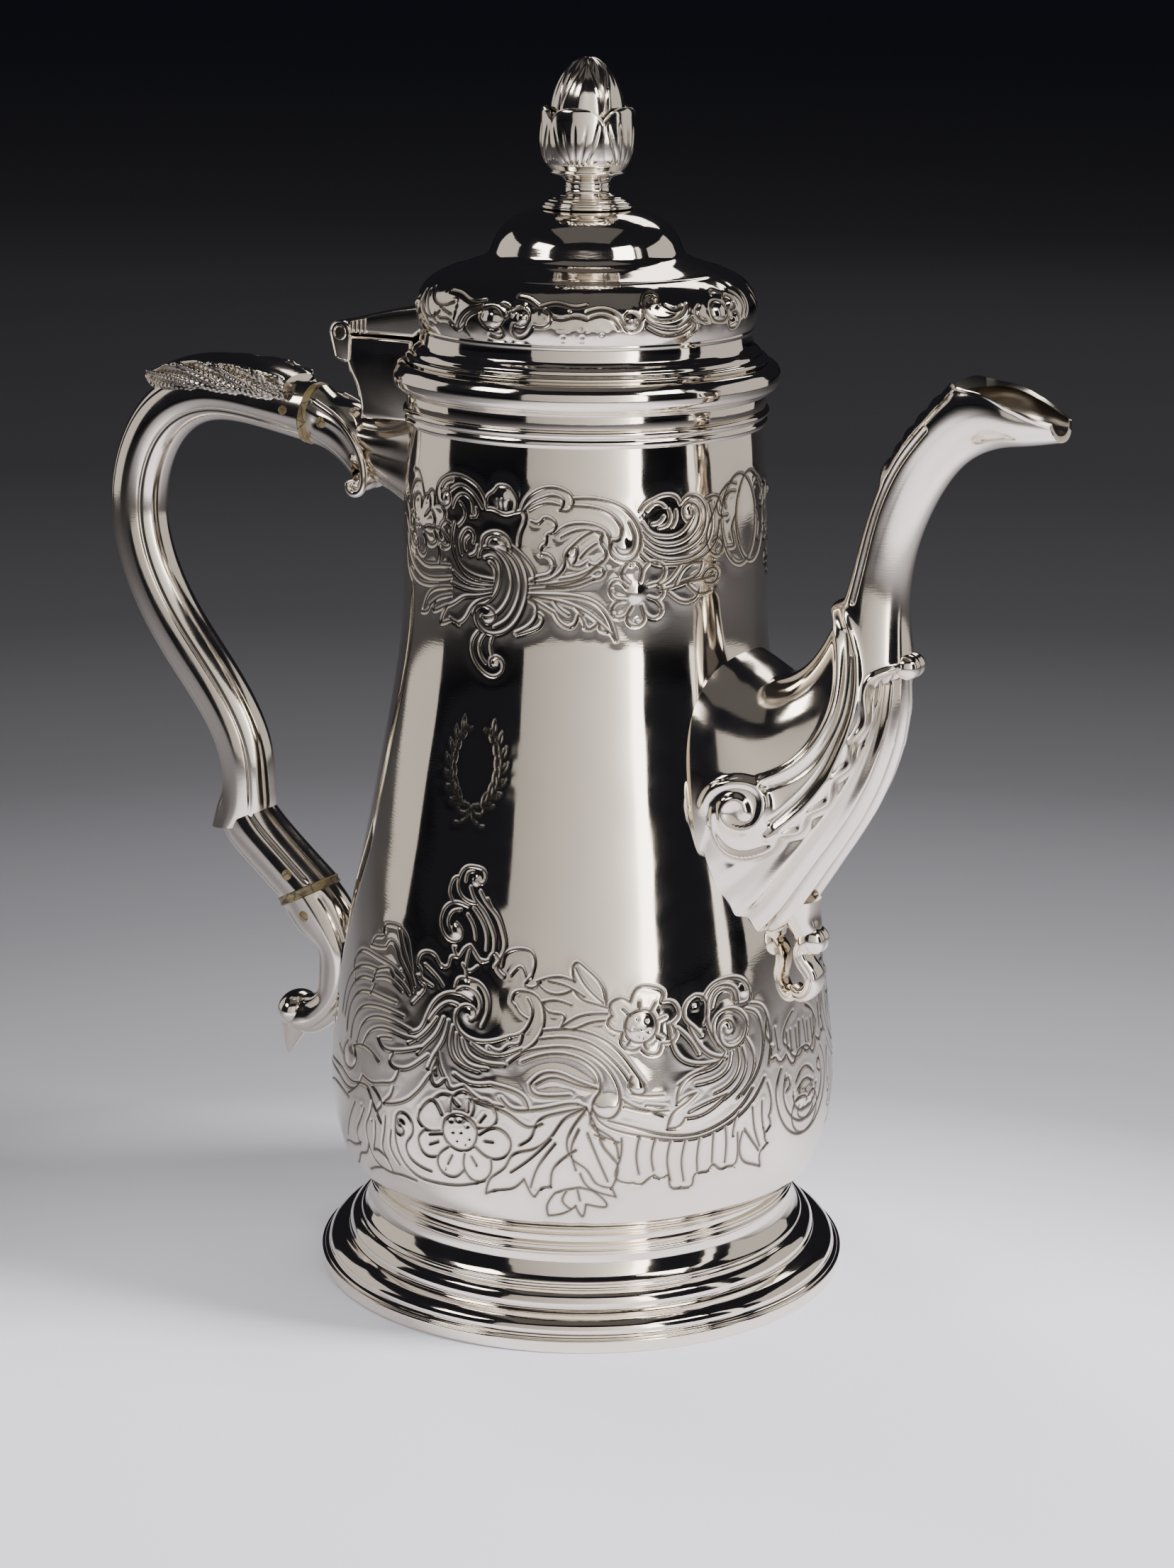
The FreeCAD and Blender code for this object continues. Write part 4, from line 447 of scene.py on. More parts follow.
# ---------------------------------------------------------------- curves and meshes
def spline_at(knots: np.ndarray, points: np.ndarray, where: np.ndarray) -> np.ndarray:
    """Natural cubic spline.

    Args:
        knots: Rising parameter of each point.
        points: One row for each point.
        where: Parameters to read the curve at.

    Returns:
        One row for each parameter.
    """
    count = len(knots)
    gaps = np.diff(knots)
    matrix = np.eye(count)
    right = np.zeros(points.shape)
    for i in range(1, count - 1):
        matrix[i, i - 1 : i + 2] = (gaps[i - 1], 2 * (gaps[i - 1] + gaps[i]), gaps[i])
        right[i] = 6 * ((points[i + 1] - points[i]) / gaps[i] - (points[i] - points[i - 1]) / gaps[i - 1])
    bend = np.linalg.solve(matrix, right)
    i = np.clip(np.searchsorted(knots, where, "right") - 1, 0, count - 2)
    gap = gaps[i][:, None]
    after = (knots[i + 1] - where)[:, None]
    before = (where - knots[i])[:, None]
    curve = (bend[i] * after**3 + bend[i + 1] * before**3) / (6 * gap)
    curve += (points[i] / gap - bend[i] * gap / 6) * after
    return curve + (points[i + 1] / gap - bend[i + 1] * gap / 6) * before


def smooth_line(points: np.ndarray | Outline, count: int) -> np.ndarray:
    """Evenly spaced points on a smooth curve.

    Args:
        points: Points the curve goes through.
        count: How many points to return.

    Returns:
        Array of points, one row each.
    """
    through = np.asarray(points, float)
    steps = np.linalg.norm(np.diff(through, axis=0), axis=1)
    knots = np.concatenate(([0.0], np.cumsum(steps)))
    return spline_at(knots, through, np.linspace(0, knots[-1], count))


def rounded(points: Outline, radius: float, steps: int = 5) -> np.ndarray:
    """Rounds the corners of an open outline.

    Args:
        points: Corners, in order.
        radius: How far each corner is cut back, at most.
        steps: Points in each rounded corner.

    Returns:
        Array of points, one row each.
    """
    corners = np.asarray(points, float)
    out = [corners[0]]
    for before, corner, after in zip(corners, corners[1:], corners[2:]):
        way_in, way_out = before - corner, after - corner
        len_in, len_out = np.linalg.norm(way_in), np.linalg.norm(way_out)
        start = corner + way_in / len_in * min(radius, 0.45 * len_in)
        end = corner + way_out / len_out * min(radius, 0.45 * len_out)
        for t in np.linspace(0, 1, steps):
            out.append((1 - t) ** 2 * start + 2 * t * (1 - t) * corner + t**2 * end)
    out.append(corners[-1])
    return np.array(out)


def grid_quads(
    rows: int, cols: int, wrap_rows: bool = False, wrap_cols: bool = True, first: int = 0
) -> np.ndarray:
    """Corner numbers of the quads of a grid of points.

    Args:
        rows: Rows of points.
        cols: Points in each row.
        wrap_rows: Whether the last row joins the first.
        wrap_cols: Whether the last column joins the first.
        first: Number of the grid's first point.

    Returns:
        Array of four corner numbers for each quad.
    """
    r, c = np.meshgrid(np.arange(rows - (not wrap_rows)), np.arange(cols - (not wrap_cols)), indexing="ij")
    r2, c2 = (r + 1) % rows, (c + 1) % cols
    quads = np.stack([r * cols + c, r * cols + c2, r2 * cols + c2, r2 * cols + c], -1)
    return quads.reshape(-1, 4) + first


def grid_normals(points: np.ndarray, wrap_rows: bool = False, wrap_cols: bool = True) -> np.ndarray:
    """Unit normals of a grid of points, outwards where rows climb and columns run anticlockwise.

    Args:
        points: Array of rows, columns and three coordinates.
        wrap_rows: Whether the last row joins the first.
        wrap_cols: Whether the last column joins the first.

    Returns:
        Array of the same shape.
    """
    def slope(axis: int, wrap: bool) -> np.ndarray:
        """Central differences along one axis."""
        if wrap:
            return np.roll(points, -1, axis) - np.roll(points, 1, axis)
        return np.gradient(points, axis=axis)

    normal = np.cross(slope(1, wrap_cols), slope(0, wrap_rows))
    length = np.linalg.norm(normal, axis=-1, keepdims=True)
    return normal / np.maximum(length, 1e-9)


@dataclass
class MeshDraft:
    """Points and faces of one piece, gathered before its mesh is made."""

    points: list[np.ndarray] = field(default_factory=list)
    quads: list[np.ndarray] = field(default_factory=list)
    triangles: list[np.ndarray] = field(default_factory=list)
    tarnish_and_shade: list[np.ndarray] = field(default_factory=list)
    count: int = 0

    def add(self, points: np.ndarray, tarnish_and_shade: np.ndarray | None = None) -> int:
        """Adds points and returns the number of the first.

        Args:
            points: Array whose last axis is x, y, z.
            tarnish_and_shade: How dark each point's silver is, 0 to 1: tarnish held in lines, and painted
                shade on a few pieces.

        Returns:
            Number of the first added point.
        """
        flat = points.reshape(-1, 3)
        self.points.append(flat)
        self.tarnish_and_shade.append(np.zeros(len(flat)) if tarnish_and_shade is None else tarnish_and_shade.reshape(-1))
        first, self.count = self.count, self.count + len(flat)
        return first

    def grid(self, points: np.ndarray, tarnish_and_shade: np.ndarray | None = None, wrap_rows: bool = False,
             wrap_cols: bool = True) -> int:
        """Adds a grid of points with its quads.

        Args:
            points: Array of rows, columns and three coordinates.
            tarnish_and_shade: How dark each point's silver is: tarnish, and painted shade on a few pieces.
            wrap_rows: Whether the last row joins the first.
            wrap_cols: Whether the last column joins the first.

        Returns:
            Number of the first added point.
        """
        first = self.add(points, tarnish_and_shade)
        self.quads.append(grid_quads(points.shape[0], points.shape[1], wrap_rows, wrap_cols, first))
        return first

    def cap(self, first: int, cols: int, centre: np.ndarray, upwards: bool) -> None:
        """Closes a ring of points with a fan.

        Args:
            first: Number of the ring's first point.
            cols: Points in the ring.
            centre: Middle of the fan.
            upwards: Whether the ring is the last row of its grid.
        """
        middle = self.add(np.asarray(centre, float).reshape(1, 3))
        ring = first + np.arange(cols)
        after = np.roll(ring, -1)
        sides = (ring, after) if upwards else (after, ring)
        self.triangles.append(np.stack([sides[0], sides[1], np.full(cols, middle)], -1))

    def build(self, name: str, sharp_deg: float = 180.0) -> bpy.types.Object:
        """Makes the mesh object, in metres.

        Args:
            name: Object name.
            sharp_deg: Edges that turn more than this stay sharp.

        Returns:
            The new object, in the scene.
        """
        points = np.concatenate(self.points) * MM
        quads = np.concatenate(self.quads) if self.quads else np.zeros((0, 4), int)
        triangles = np.concatenate(self.triangles) if self.triangles else np.zeros((0, 3), int)
        corners = np.concatenate([quads.ravel(), triangles.ravel()]).astype(np.int32)
        starts = np.concatenate([np.arange(len(quads)) * 4, quads.size + np.arange(len(triangles)) * 3])
        mesh = bpy.data.meshes.new(name)
        mesh.vertices.add(len(points))
        mesh.vertices.foreach_set("co", points.astype(np.float32).ravel())
        mesh.loops.add(len(corners))
        mesh.loops.foreach_set("vertex_index", corners)
        mesh.polygons.add(len(starts))
        mesh.polygons.foreach_set("loop_start", starts.astype(np.int32))
        mesh.update(calc_edges=True)
        mesh.polygons.foreach_set("use_smooth", np.ones(len(starts), bool))
        layer = mesh.attributes.new("tarnish_and_shade", "FLOAT", "POINT")
        layer.data.foreach_set("value", np.clip(np.concatenate(self.tarnish_and_shade), 0, 1).astype(np.float32))
        if sharp_deg < 180.0:
            mesh.set_sharp_from_angle(angle=math.radians(sharp_deg))
        obj = bpy.data.objects.new(name, mesh)
        bpy.context.scene.collection.objects.link(obj)
        return obj


def turn(profile: np.ndarray, cols: int) -> np.ndarray:
    """Turns a profile about the pot's axis.

    Args:
        profile: Array of radius and height.
        cols: Points round the axis.

    Returns:
        Grid of points.
    """
    angle = np.linspace(0, 2 * math.pi, cols, endpoint=False)
    radius, height = profile[:, 0:1], profile[:, 1:2]
    return np.stack([radius * np.cos(angle), radius * np.sin(angle), height + 0 * angle], -1)


def turned_piece(
    name: str, profile: np.ndarray, cols: int = 384, sharp_deg: float = 180.0
) -> bpy.types.Object:
    """A ring turned from a closed profile.

    Args:
        name: Object name.
        profile: Closed loop of radius and height, up the outside and down the inside.
        cols: Points round the axis.
        sharp_deg: Edges that turn more than this stay sharp.

    Returns:
        The new object.
    """
    draft = MeshDraft()
    draft.grid(turn(profile, cols), wrap_rows=True)
    return draft.build(name, sharp_deg)


# ---------------------------------------------------------------- finishes
@dataclass(frozen=True)
class SilverFinish:
    """Polished silver with fine wear, a warm cast, tarnish held in its lines and painted shade where a piece
    is darkened.
    """

    name: str
    colour: tuple[float, float, float] = (0.93, 0.87, 0.785)
    tarnish_and_shade_colour: tuple[float, float, float] = (0.055, 0.04, 0.026)
    roughness: float = 0.055
    wear: float = 0.05
    scratch: float = 0.012

    def material(self) -> bpy.types.Material:
        """Builds the node material.

        Returns:
            The material.
        """
        mat = bpy.data.materials.new(self.name)
        mat.use_nodes = True
        nodes, links = mat.node_tree.nodes, mat.node_tree.links
        shader = nodes["Principled BSDF"]
        shader.inputs["Metallic"].default_value = 1.0
        place = nodes.new("ShaderNodeTexCoord")
        tarnish_and_shade = nodes.new("ShaderNodeAttribute")
        tarnish_and_shade.attribute_name = "tarnish_and_shade"

        patina = nodes.new("ShaderNodeTexNoise")
        patina.inputs["Scale"].default_value = 55.0
        patina.inputs["Detail"].default_value = 5.0
        links.new(place.outputs["Object"], patina.inputs["Vector"])
        tone = nodes.new("ShaderNodeMix")
        tone.data_type = "RGBA"
        tone.inputs["A"].default_value = (*self.colour, 1)
        tone.inputs["B"].default_value = (*(c * f for c, f in zip(self.colour, (0.955, 0.94, 0.91))), 1)
        links.new(patina.outputs["Fac"], tone.inputs["Factor"])
        dark = nodes.new("ShaderNodeMix")
        dark.data_type = "RGBA"
        dark.inputs["B"].default_value = (*self.tarnish_and_shade_colour, 1)
        links.new(tarnish_and_shade.outputs["Fac"], dark.inputs["Factor"])
        links.new(tone.outputs["Result"], dark.inputs["A"])
        links.new(dark.outputs["Result"], shader.inputs["Base Color"])

        wear = nodes.new("ShaderNodeTexNoise")
        wear.inputs["Scale"].default_value = 180.0
        wear.inputs["Detail"].default_value = 6.0
        links.new(place.outputs["Object"], wear.inputs["Vector"])
        gloss = nodes.new("ShaderNodeMapRange")
        gloss.inputs["From Min"].default_value = 0.35
        gloss.inputs["From Max"].default_value = 0.75
        gloss.inputs["To Min"].default_value = self.roughness
        gloss.inputs["To Max"].default_value = self.roughness + self.wear
        links.new(wear.outputs["Fac"], gloss.inputs["Value"])
        dull = nodes.new("ShaderNodeMath")
        dull.operation = "MULTIPLY_ADD"
        dull.inputs[1].default_value = 0.3
        links.new(tarnish_and_shade.outputs["Fac"], dull.inputs[0])
        links.new(gloss.outputs["Result"], dull.inputs[2])
        links.new(dull.outputs["Value"], shader.inputs["Roughness"])

        stretch = nodes.new("ShaderNodeMapping")
        stretch.inputs["Scale"].default_value = (1.0, 1.0, 9.0)
        stretch.inputs["Rotation"].default_value = (0.3, 0.2, 0.0)
        links.new(place.outputs["Object"], stretch.inputs["Vector"])
        lines = nodes.new("ShaderNodeTexNoise")
        lines.inputs["Scale"].default_value = 420.0
        lines.inputs["Detail"].default_value = 3.0
        links.new(stretch.outputs["Vector"], lines.inputs["Vector"])
        fine = nodes.new("ShaderNodeBump")
        fine.inputs["Strength"].default_value = self.scratch
        fine.inputs["Distance"].default_value = 0.0004
        links.new(lines.outputs["Fac"], fine.inputs["Height"])
        links.new(fine.outputs["Normal"], shader.inputs["Normal"])
        return mat


@dataclass(frozen=True)
class IvoryFinish:
    """Aged ivory: yellow brown with grain and dark hairline cracks."""

    name: str
    light: tuple[float, float, float] = (0.33, 0.27, 0.13)
    dark: tuple[float, float, float] = (0.075, 0.05, 0.022)
    roughness: float = 0.32

    def material(self) -> bpy.types.Material:
        """Builds the node material.

        Returns:
            The material.
        """
        mat = bpy.data.materials.new(self.name)
        mat.use_nodes = True
        nodes, links = mat.node_tree.nodes, mat.node_tree.links
        shader = nodes["Principled BSDF"]
        shader.inputs["Subsurface Weight"].default_value = 0.08
        shader.inputs["Subsurface Scale"].default_value = 0.001
        shader.inputs["Coat Weight"].default_value = 0.25
        shader.inputs["Coat Roughness"].default_value = 0.2
        place = nodes.new("ShaderNodeTexCoord")
        grain = nodes.new("ShaderNodeTexNoise")
        grain.inputs["Scale"].default_value = 260.0
        grain.inputs["Detail"].default_value = 8.0
        grain.inputs["Distortion"].default_value = 0.6
        links.new(place.outputs["Object"], grain.inputs["Vector"])
        ramp = nodes.new("ShaderNodeValToRGB")
        ramp.color_ramp.elements[0].position = 0.3
        ramp.color_ramp.elements[0].color = (*self.dark, 1)
        ramp.color_ramp.elements[1].position = 0.62
        ramp.color_ramp.elements[1].color = (*self.light, 1)
        links.new(grain.outputs["Fac"], ramp.inputs["Fac"])
        cracks = nodes.new("ShaderNodeTexVoronoi")
        cracks.feature = "DISTANCE_TO_EDGE"
        cracks.inputs["Scale"].default_value = 190.0
        links.new(place.outputs["Object"], cracks.inputs["Vector"])
        lines = nodes.new("ShaderNodeMapRange")
        lines.inputs["From Max"].default_value = 0.035
        lines.inputs["To Min"].default_value = 1.0
        lines.inputs["To Max"].default_value = 0.0
        links.new(cracks.outputs["Distance"], lines.inputs["Value"])
        mix = nodes.new("ShaderNodeMix")
        mix.data_type = "RGBA"
        mix.inputs["B"].default_value = (0.02, 0.013, 0.008, 1)
        links.new(lines.outputs["Result"], mix.inputs["Factor"])
        links.new(ramp.outputs["Color"], mix.inputs["A"])
        links.new(mix.outputs["Result"], shader.inputs["Base Color"])
        gloss = nodes.new("ShaderNodeMapRange")
        gloss.inputs["To Min"].default_value = self.roughness
        gloss.inputs["To Max"].default_value = self.roughness + 0.2
        links.new(grain.outputs["Fac"], gloss.inputs["Value"])
        links.new(gloss.outputs["Result"], shader.inputs["Roughness"])
        bump = nodes.new("ShaderNodeBump")
        bump.inputs["Strength"].default_value = 0.15
        bump.inputs["Distance"].default_value = 0.0003
        links.new(grain.outputs["Fac"], bump.inputs["Height"])
        links.new(bump.outputs["Normal"], shader.inputs["Normal"])
        return mat


@dataclass
class Workshop:
    """The finishes in use, and how a piece is handed over to its body."""

    finishes: dict[Slot, SilverFinish | IvoryFinish] = field(default_factory=lambda: {
        Slot.POLISHED: SilverFinish("polished_silver", roughness=0.05),
        Slot.CHASED: SilverFinish("chased_silver", roughness=0.045, wear=0.04),
        Slot.CAST: SilverFinish("cast_silver", roughness=0.085, wear=0.08, scratch=0.02),
        Slot.IVORY: IvoryFinish("aged_ivory"),
    })
    materials: dict[Slot, bpy.types.Material] = field(default_factory=dict)

    def material(self, slot: Slot) -> bpy.types.Material:
        """The one material of a slot, made when it is first asked for."""
        if slot not in self.materials:
            self.materials[slot] = self.finishes[slot].material()
        return self.materials[slot]

    def hand_over(self, obj: bpy.types.Object, slot: Slot, body: Body, *nodes: str) -> bpy.types.Object:
        """Dresses a piece and fixes it to its body.

        Args:
            obj: The piece.
            slot: Its finish.
            body: The body it moves with.
            nodes: CAD nodes it stands for.

        Returns:
            The same piece.
        """
        obj.data.materials.clear()
        obj.data.materials.append(self.material(slot))
        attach(obj, body.value)
        if nodes:
            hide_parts(*nodes)
        log.info("%s: %d points, %s", obj.name, len(obj.data.vertices), slot.value)
        return obj


# ---------------------------------------------------------------- chasing
@dataclass
class ChasedField:
    """Distance field of chased lines over a grid of (arc, height) points."""

    arcs: np.ndarray
    heights: np.ndarray
    girth: float
    reach: float = 3.0
    distance: np.ndarray = field(init=False)
    swell: np.ndarray = field(init=False)

    def __post_init__(self) -> None:
        """Starts with plain silver, no line within reach."""
        shape = (len(self.heights), len(self.arcs))
        self.distance = np.full(shape, self.reach)
        self.swell = np.zeros(shape)

    def window(
        self, arc: float, height: float, half_arc: float, half_height: float
    ) -> tuple[np.ndarray, np.ndarray]:
        """Row and column numbers near a place.

        Args:
            arc: Arc of the place.
            height: Height of the place.
            half_arc: Half the window's arc.
            half_height: Half the window's height.

        Returns:
            Row numbers, and column numbers that may run past the seam.
        """
        step = self.girth / len(self.arcs)
        first = math.floor((arc - half_arc - self.arcs[0]) / step)
        last = math.ceil((arc + half_arc - self.arcs[0]) / step)
        rows = np.arange(*np.searchsorted(self.heights, (height - half_height, height + half_height)))
        return rows, np.arange(first, last + 1)

    def offsets(
        self, rows: np.ndarray, cols: np.ndarray, arc: float, height: float
    ) -> tuple[np.ndarray, np.ndarray]:
        """Arc and height of the window's points, measured from a place.

        Args:
            rows: Row numbers.
            cols: Column numbers.
            arc: Arc of the place.
            height: Height of the place.

        Returns:
            Arcs as one row and heights as one column.
        """
        step = self.girth / len(self.arcs)
        return (self.arcs[0] + cols * step - arc)[None, :], (self.heights[rows] - height)[:, None]

    def line(self, points: np.ndarray) -> None:
        """Chases one line.

        Args:
            points: Array of arc and height, close together.
        """
        for (a0, h0), (a1, h1) in zip(points, points[1:]):
            half_arc = abs(a1 - a0) / 2 + self.reach
            rows, cols = self.window((a0 + a1) / 2, (h0 + h1) / 2, half_arc, abs(h1 - h0) / 2 + self.reach)
            if len(rows) == 0:
                continue
            across, up = self.offsets(rows, cols, a0, h0)
            da, dh = a1 - a0, h1 - h0
            run = max(da * da + dh * dh, 1e-9)
            t = np.clip((across * da + up * dh) / run, 0, 1)
            gap = np.hypot(across - t * da, up - t * dh)
            place = np.ix_(rows, cols % len(self.arcs))
            self.distance[place] = np.minimum(self.distance[place], gap)

    def strokes(self, strokes: Strokes, mirror_arc: float | None = None, shift: float = 0.0) -> None:
        """Chases a table of strokes.

        Args:
            strokes: Each stroke is arc, height, arc, height and so on.
            mirror_arc: Arc of the line to mirror them in, if they are mirrored.
            shift: Arc length to move them by.
        """
        for stroke in strokes:
            points = np.array(stroke, float).reshape(-1, 2)
            if mirror_arc is not None:
                points[:, 0] = 2 * mirror_arc - points[:, 0]
            points[:, 0] += shift
            if len(points) > 2:
                length = np.linalg.norm(np.diff(points, axis=0), axis=1).sum()
                points = smooth_line(points, max(4, int(length / 0.7)))
            self.line(points)

    def domes(
        self, domes: Strokes, mirror_arc: float | None = None, shift: float = 0.0, height: float = 0.45
    ) -> None:
        """Raises round bosses, each given as arc, height and radius.

        Args:
            domes: The table of bosses.
            mirror_arc: Arc of the line to mirror them in, if they are mirrored.
            shift: Arc length to move them by.
            height: How far a boss of 2 mm radius stands up.
        """
        for arc, level, radius in domes:
            arc = shift + (arc if mirror_arc is None else 2 * mirror_arc - arc)
            rows, cols = self.window(arc, level, 2.2 * radius, 2.2 * radius)
            across, up = self.offsets(rows, cols, arc, level)
            place = np.ix_(rows, cols % len(self.arcs))
            bump = height * min(1.0, radius / 2 + 0.35) * np.exp(-(((across**2 + up**2) / radius**2) ** 1.4))
            self.swell[place] += bump

    def punches(self, punches: Strokes, mirror_arc: float | None = None, shift: float = 0.0) -> None:
        """Sinks round punch marks.

        Args:
            punches: The marks, each as arc and height.
            mirror_arc: Arc of the line to mirror them in, if they are mirrored.
            shift: Arc length to move them by.
        """
        for arc, level in punches:
            arc = shift + (arc if mirror_arc is None else 2 * mirror_arc - arc)
            rows, cols = self.window(arc, level, 1.2, 1.2)
            across, up = self.offsets(rows, cols, arc, level)
            place = np.ix_(rows, cols % len(self.arcs))
            self.swell[place] -= 0.22 * np.exp(-((across**2 + up**2) / 0.35**2))
            self.distance[place] = np.minimum(self.distance[place], 0.2 + np.hypot(across, up))

    def relief(self, depth: float, width: float, puff: float, spread: float) -> tuple[np.ndarray, np.ndarray]:
        """Height of the chased surface and its tarnish.

        Args:
            depth: Depth of a line.
            width: Half width of a line.
            puff: How far the silver beside a line is pushed up.
            spread: Distance from a line to the top of that swelling.

        Returns:
            Height in millimetres and tarnish from 0 to 1.
        """
        near = self.distance / spread
        fade = np.clip((self.reach - self.distance) / self.reach, 0, 1) ** 0.5
        height = self.swell + puff * near * np.exp(1 - near) * fade
        groove = np.exp(-((self.distance / width) ** 2))
        ground = 0.13 * np.exp(-((self.distance / 1.7) ** 2))
        return height - depth * groove, ground + 0.85 * np.exp(-((self.distance / (1.2 * width)) ** 2))


# ---------------------------------------------------------------- foot and body
@dataclass
class Foot:
    """Stepped round foot: wire rim, two bold mouldings, a hollow neck and a double fillet."""

    shop: Workshop
    rim: Outline = ((55.2, 0.0), (58.6, 0.0), (58.72, 0.15), (58.72, 2.5), (58.5, 2.8), (55.2, 2.8))
    swell: Outline = (
        (58.0, 2.75), (57.9, 3.1), (57.2, 3.35), (56.95, 3.6), (57.0, 4.3), (56.7, 5.1), (56.0, 5.8),
        (55.0, 6.4),
        (53.7, 6.8), (52.6, 7.0), (52.3, 7.3), (52.35, 7.9), (52.2, 8.8), (51.6, 9.8), (50.7, 10.5),
        (49.8, 10.8),
        (49.5, 11.1), (49.5, 11.6), (48.9, 11.9), (48.1, 12.9), (47.4, 14.3), (47.0, 15.7), (46.9, 16.9),
        (47.0, 17.6),
    )
    neck: Outline = (
        (46.6, 17.6), (47.3, 17.65), (47.6, 18.0), (47.55, 18.4), (47.15, 18.75), (47.15, 18.95),
        (47.5, 19.2),
        (47.65, 19.5), (47.4, 19.85), (46.8, 20.0), (46.3, 20.0),
    )
    sheet: float = 1.4

    def build(self) -> None:
        """Builds the rim, the foot and the neck ring."""
        wire = turned_piece("foot_rim_wire", rounded(self.rim, 0.3), ROUND_COLS)
        self.shop.hand_over(wire, Slot.POLISHED, Body.POT,
                            "foot_rim")
        outside = rounded(self.swell, 0.35, 4)
        inside = (outside - (self.sheet, 0.3))[::-1]
        inside[:, 1] = np.maximum(inside[:, 1], 2.8)
        steps = turned_piece("foot_mouldings", np.vstack([outside, inside]), ROUND_COLS)
        self.shop.hand_over(steps, Slot.POLISHED,
                            Body.POT, "foot")
        ring = np.vstack([rounded(self.neck, 0.25, 4), [(44.4, 20.0), (44.4, 17.6)]])
        fillets = turned_piece("foot_neck_fillets", ring, ROUND_COLS)
        self.shop.hand_over(fillets, Slot.POLISHED, Body.POT, "foot_neck_ring")


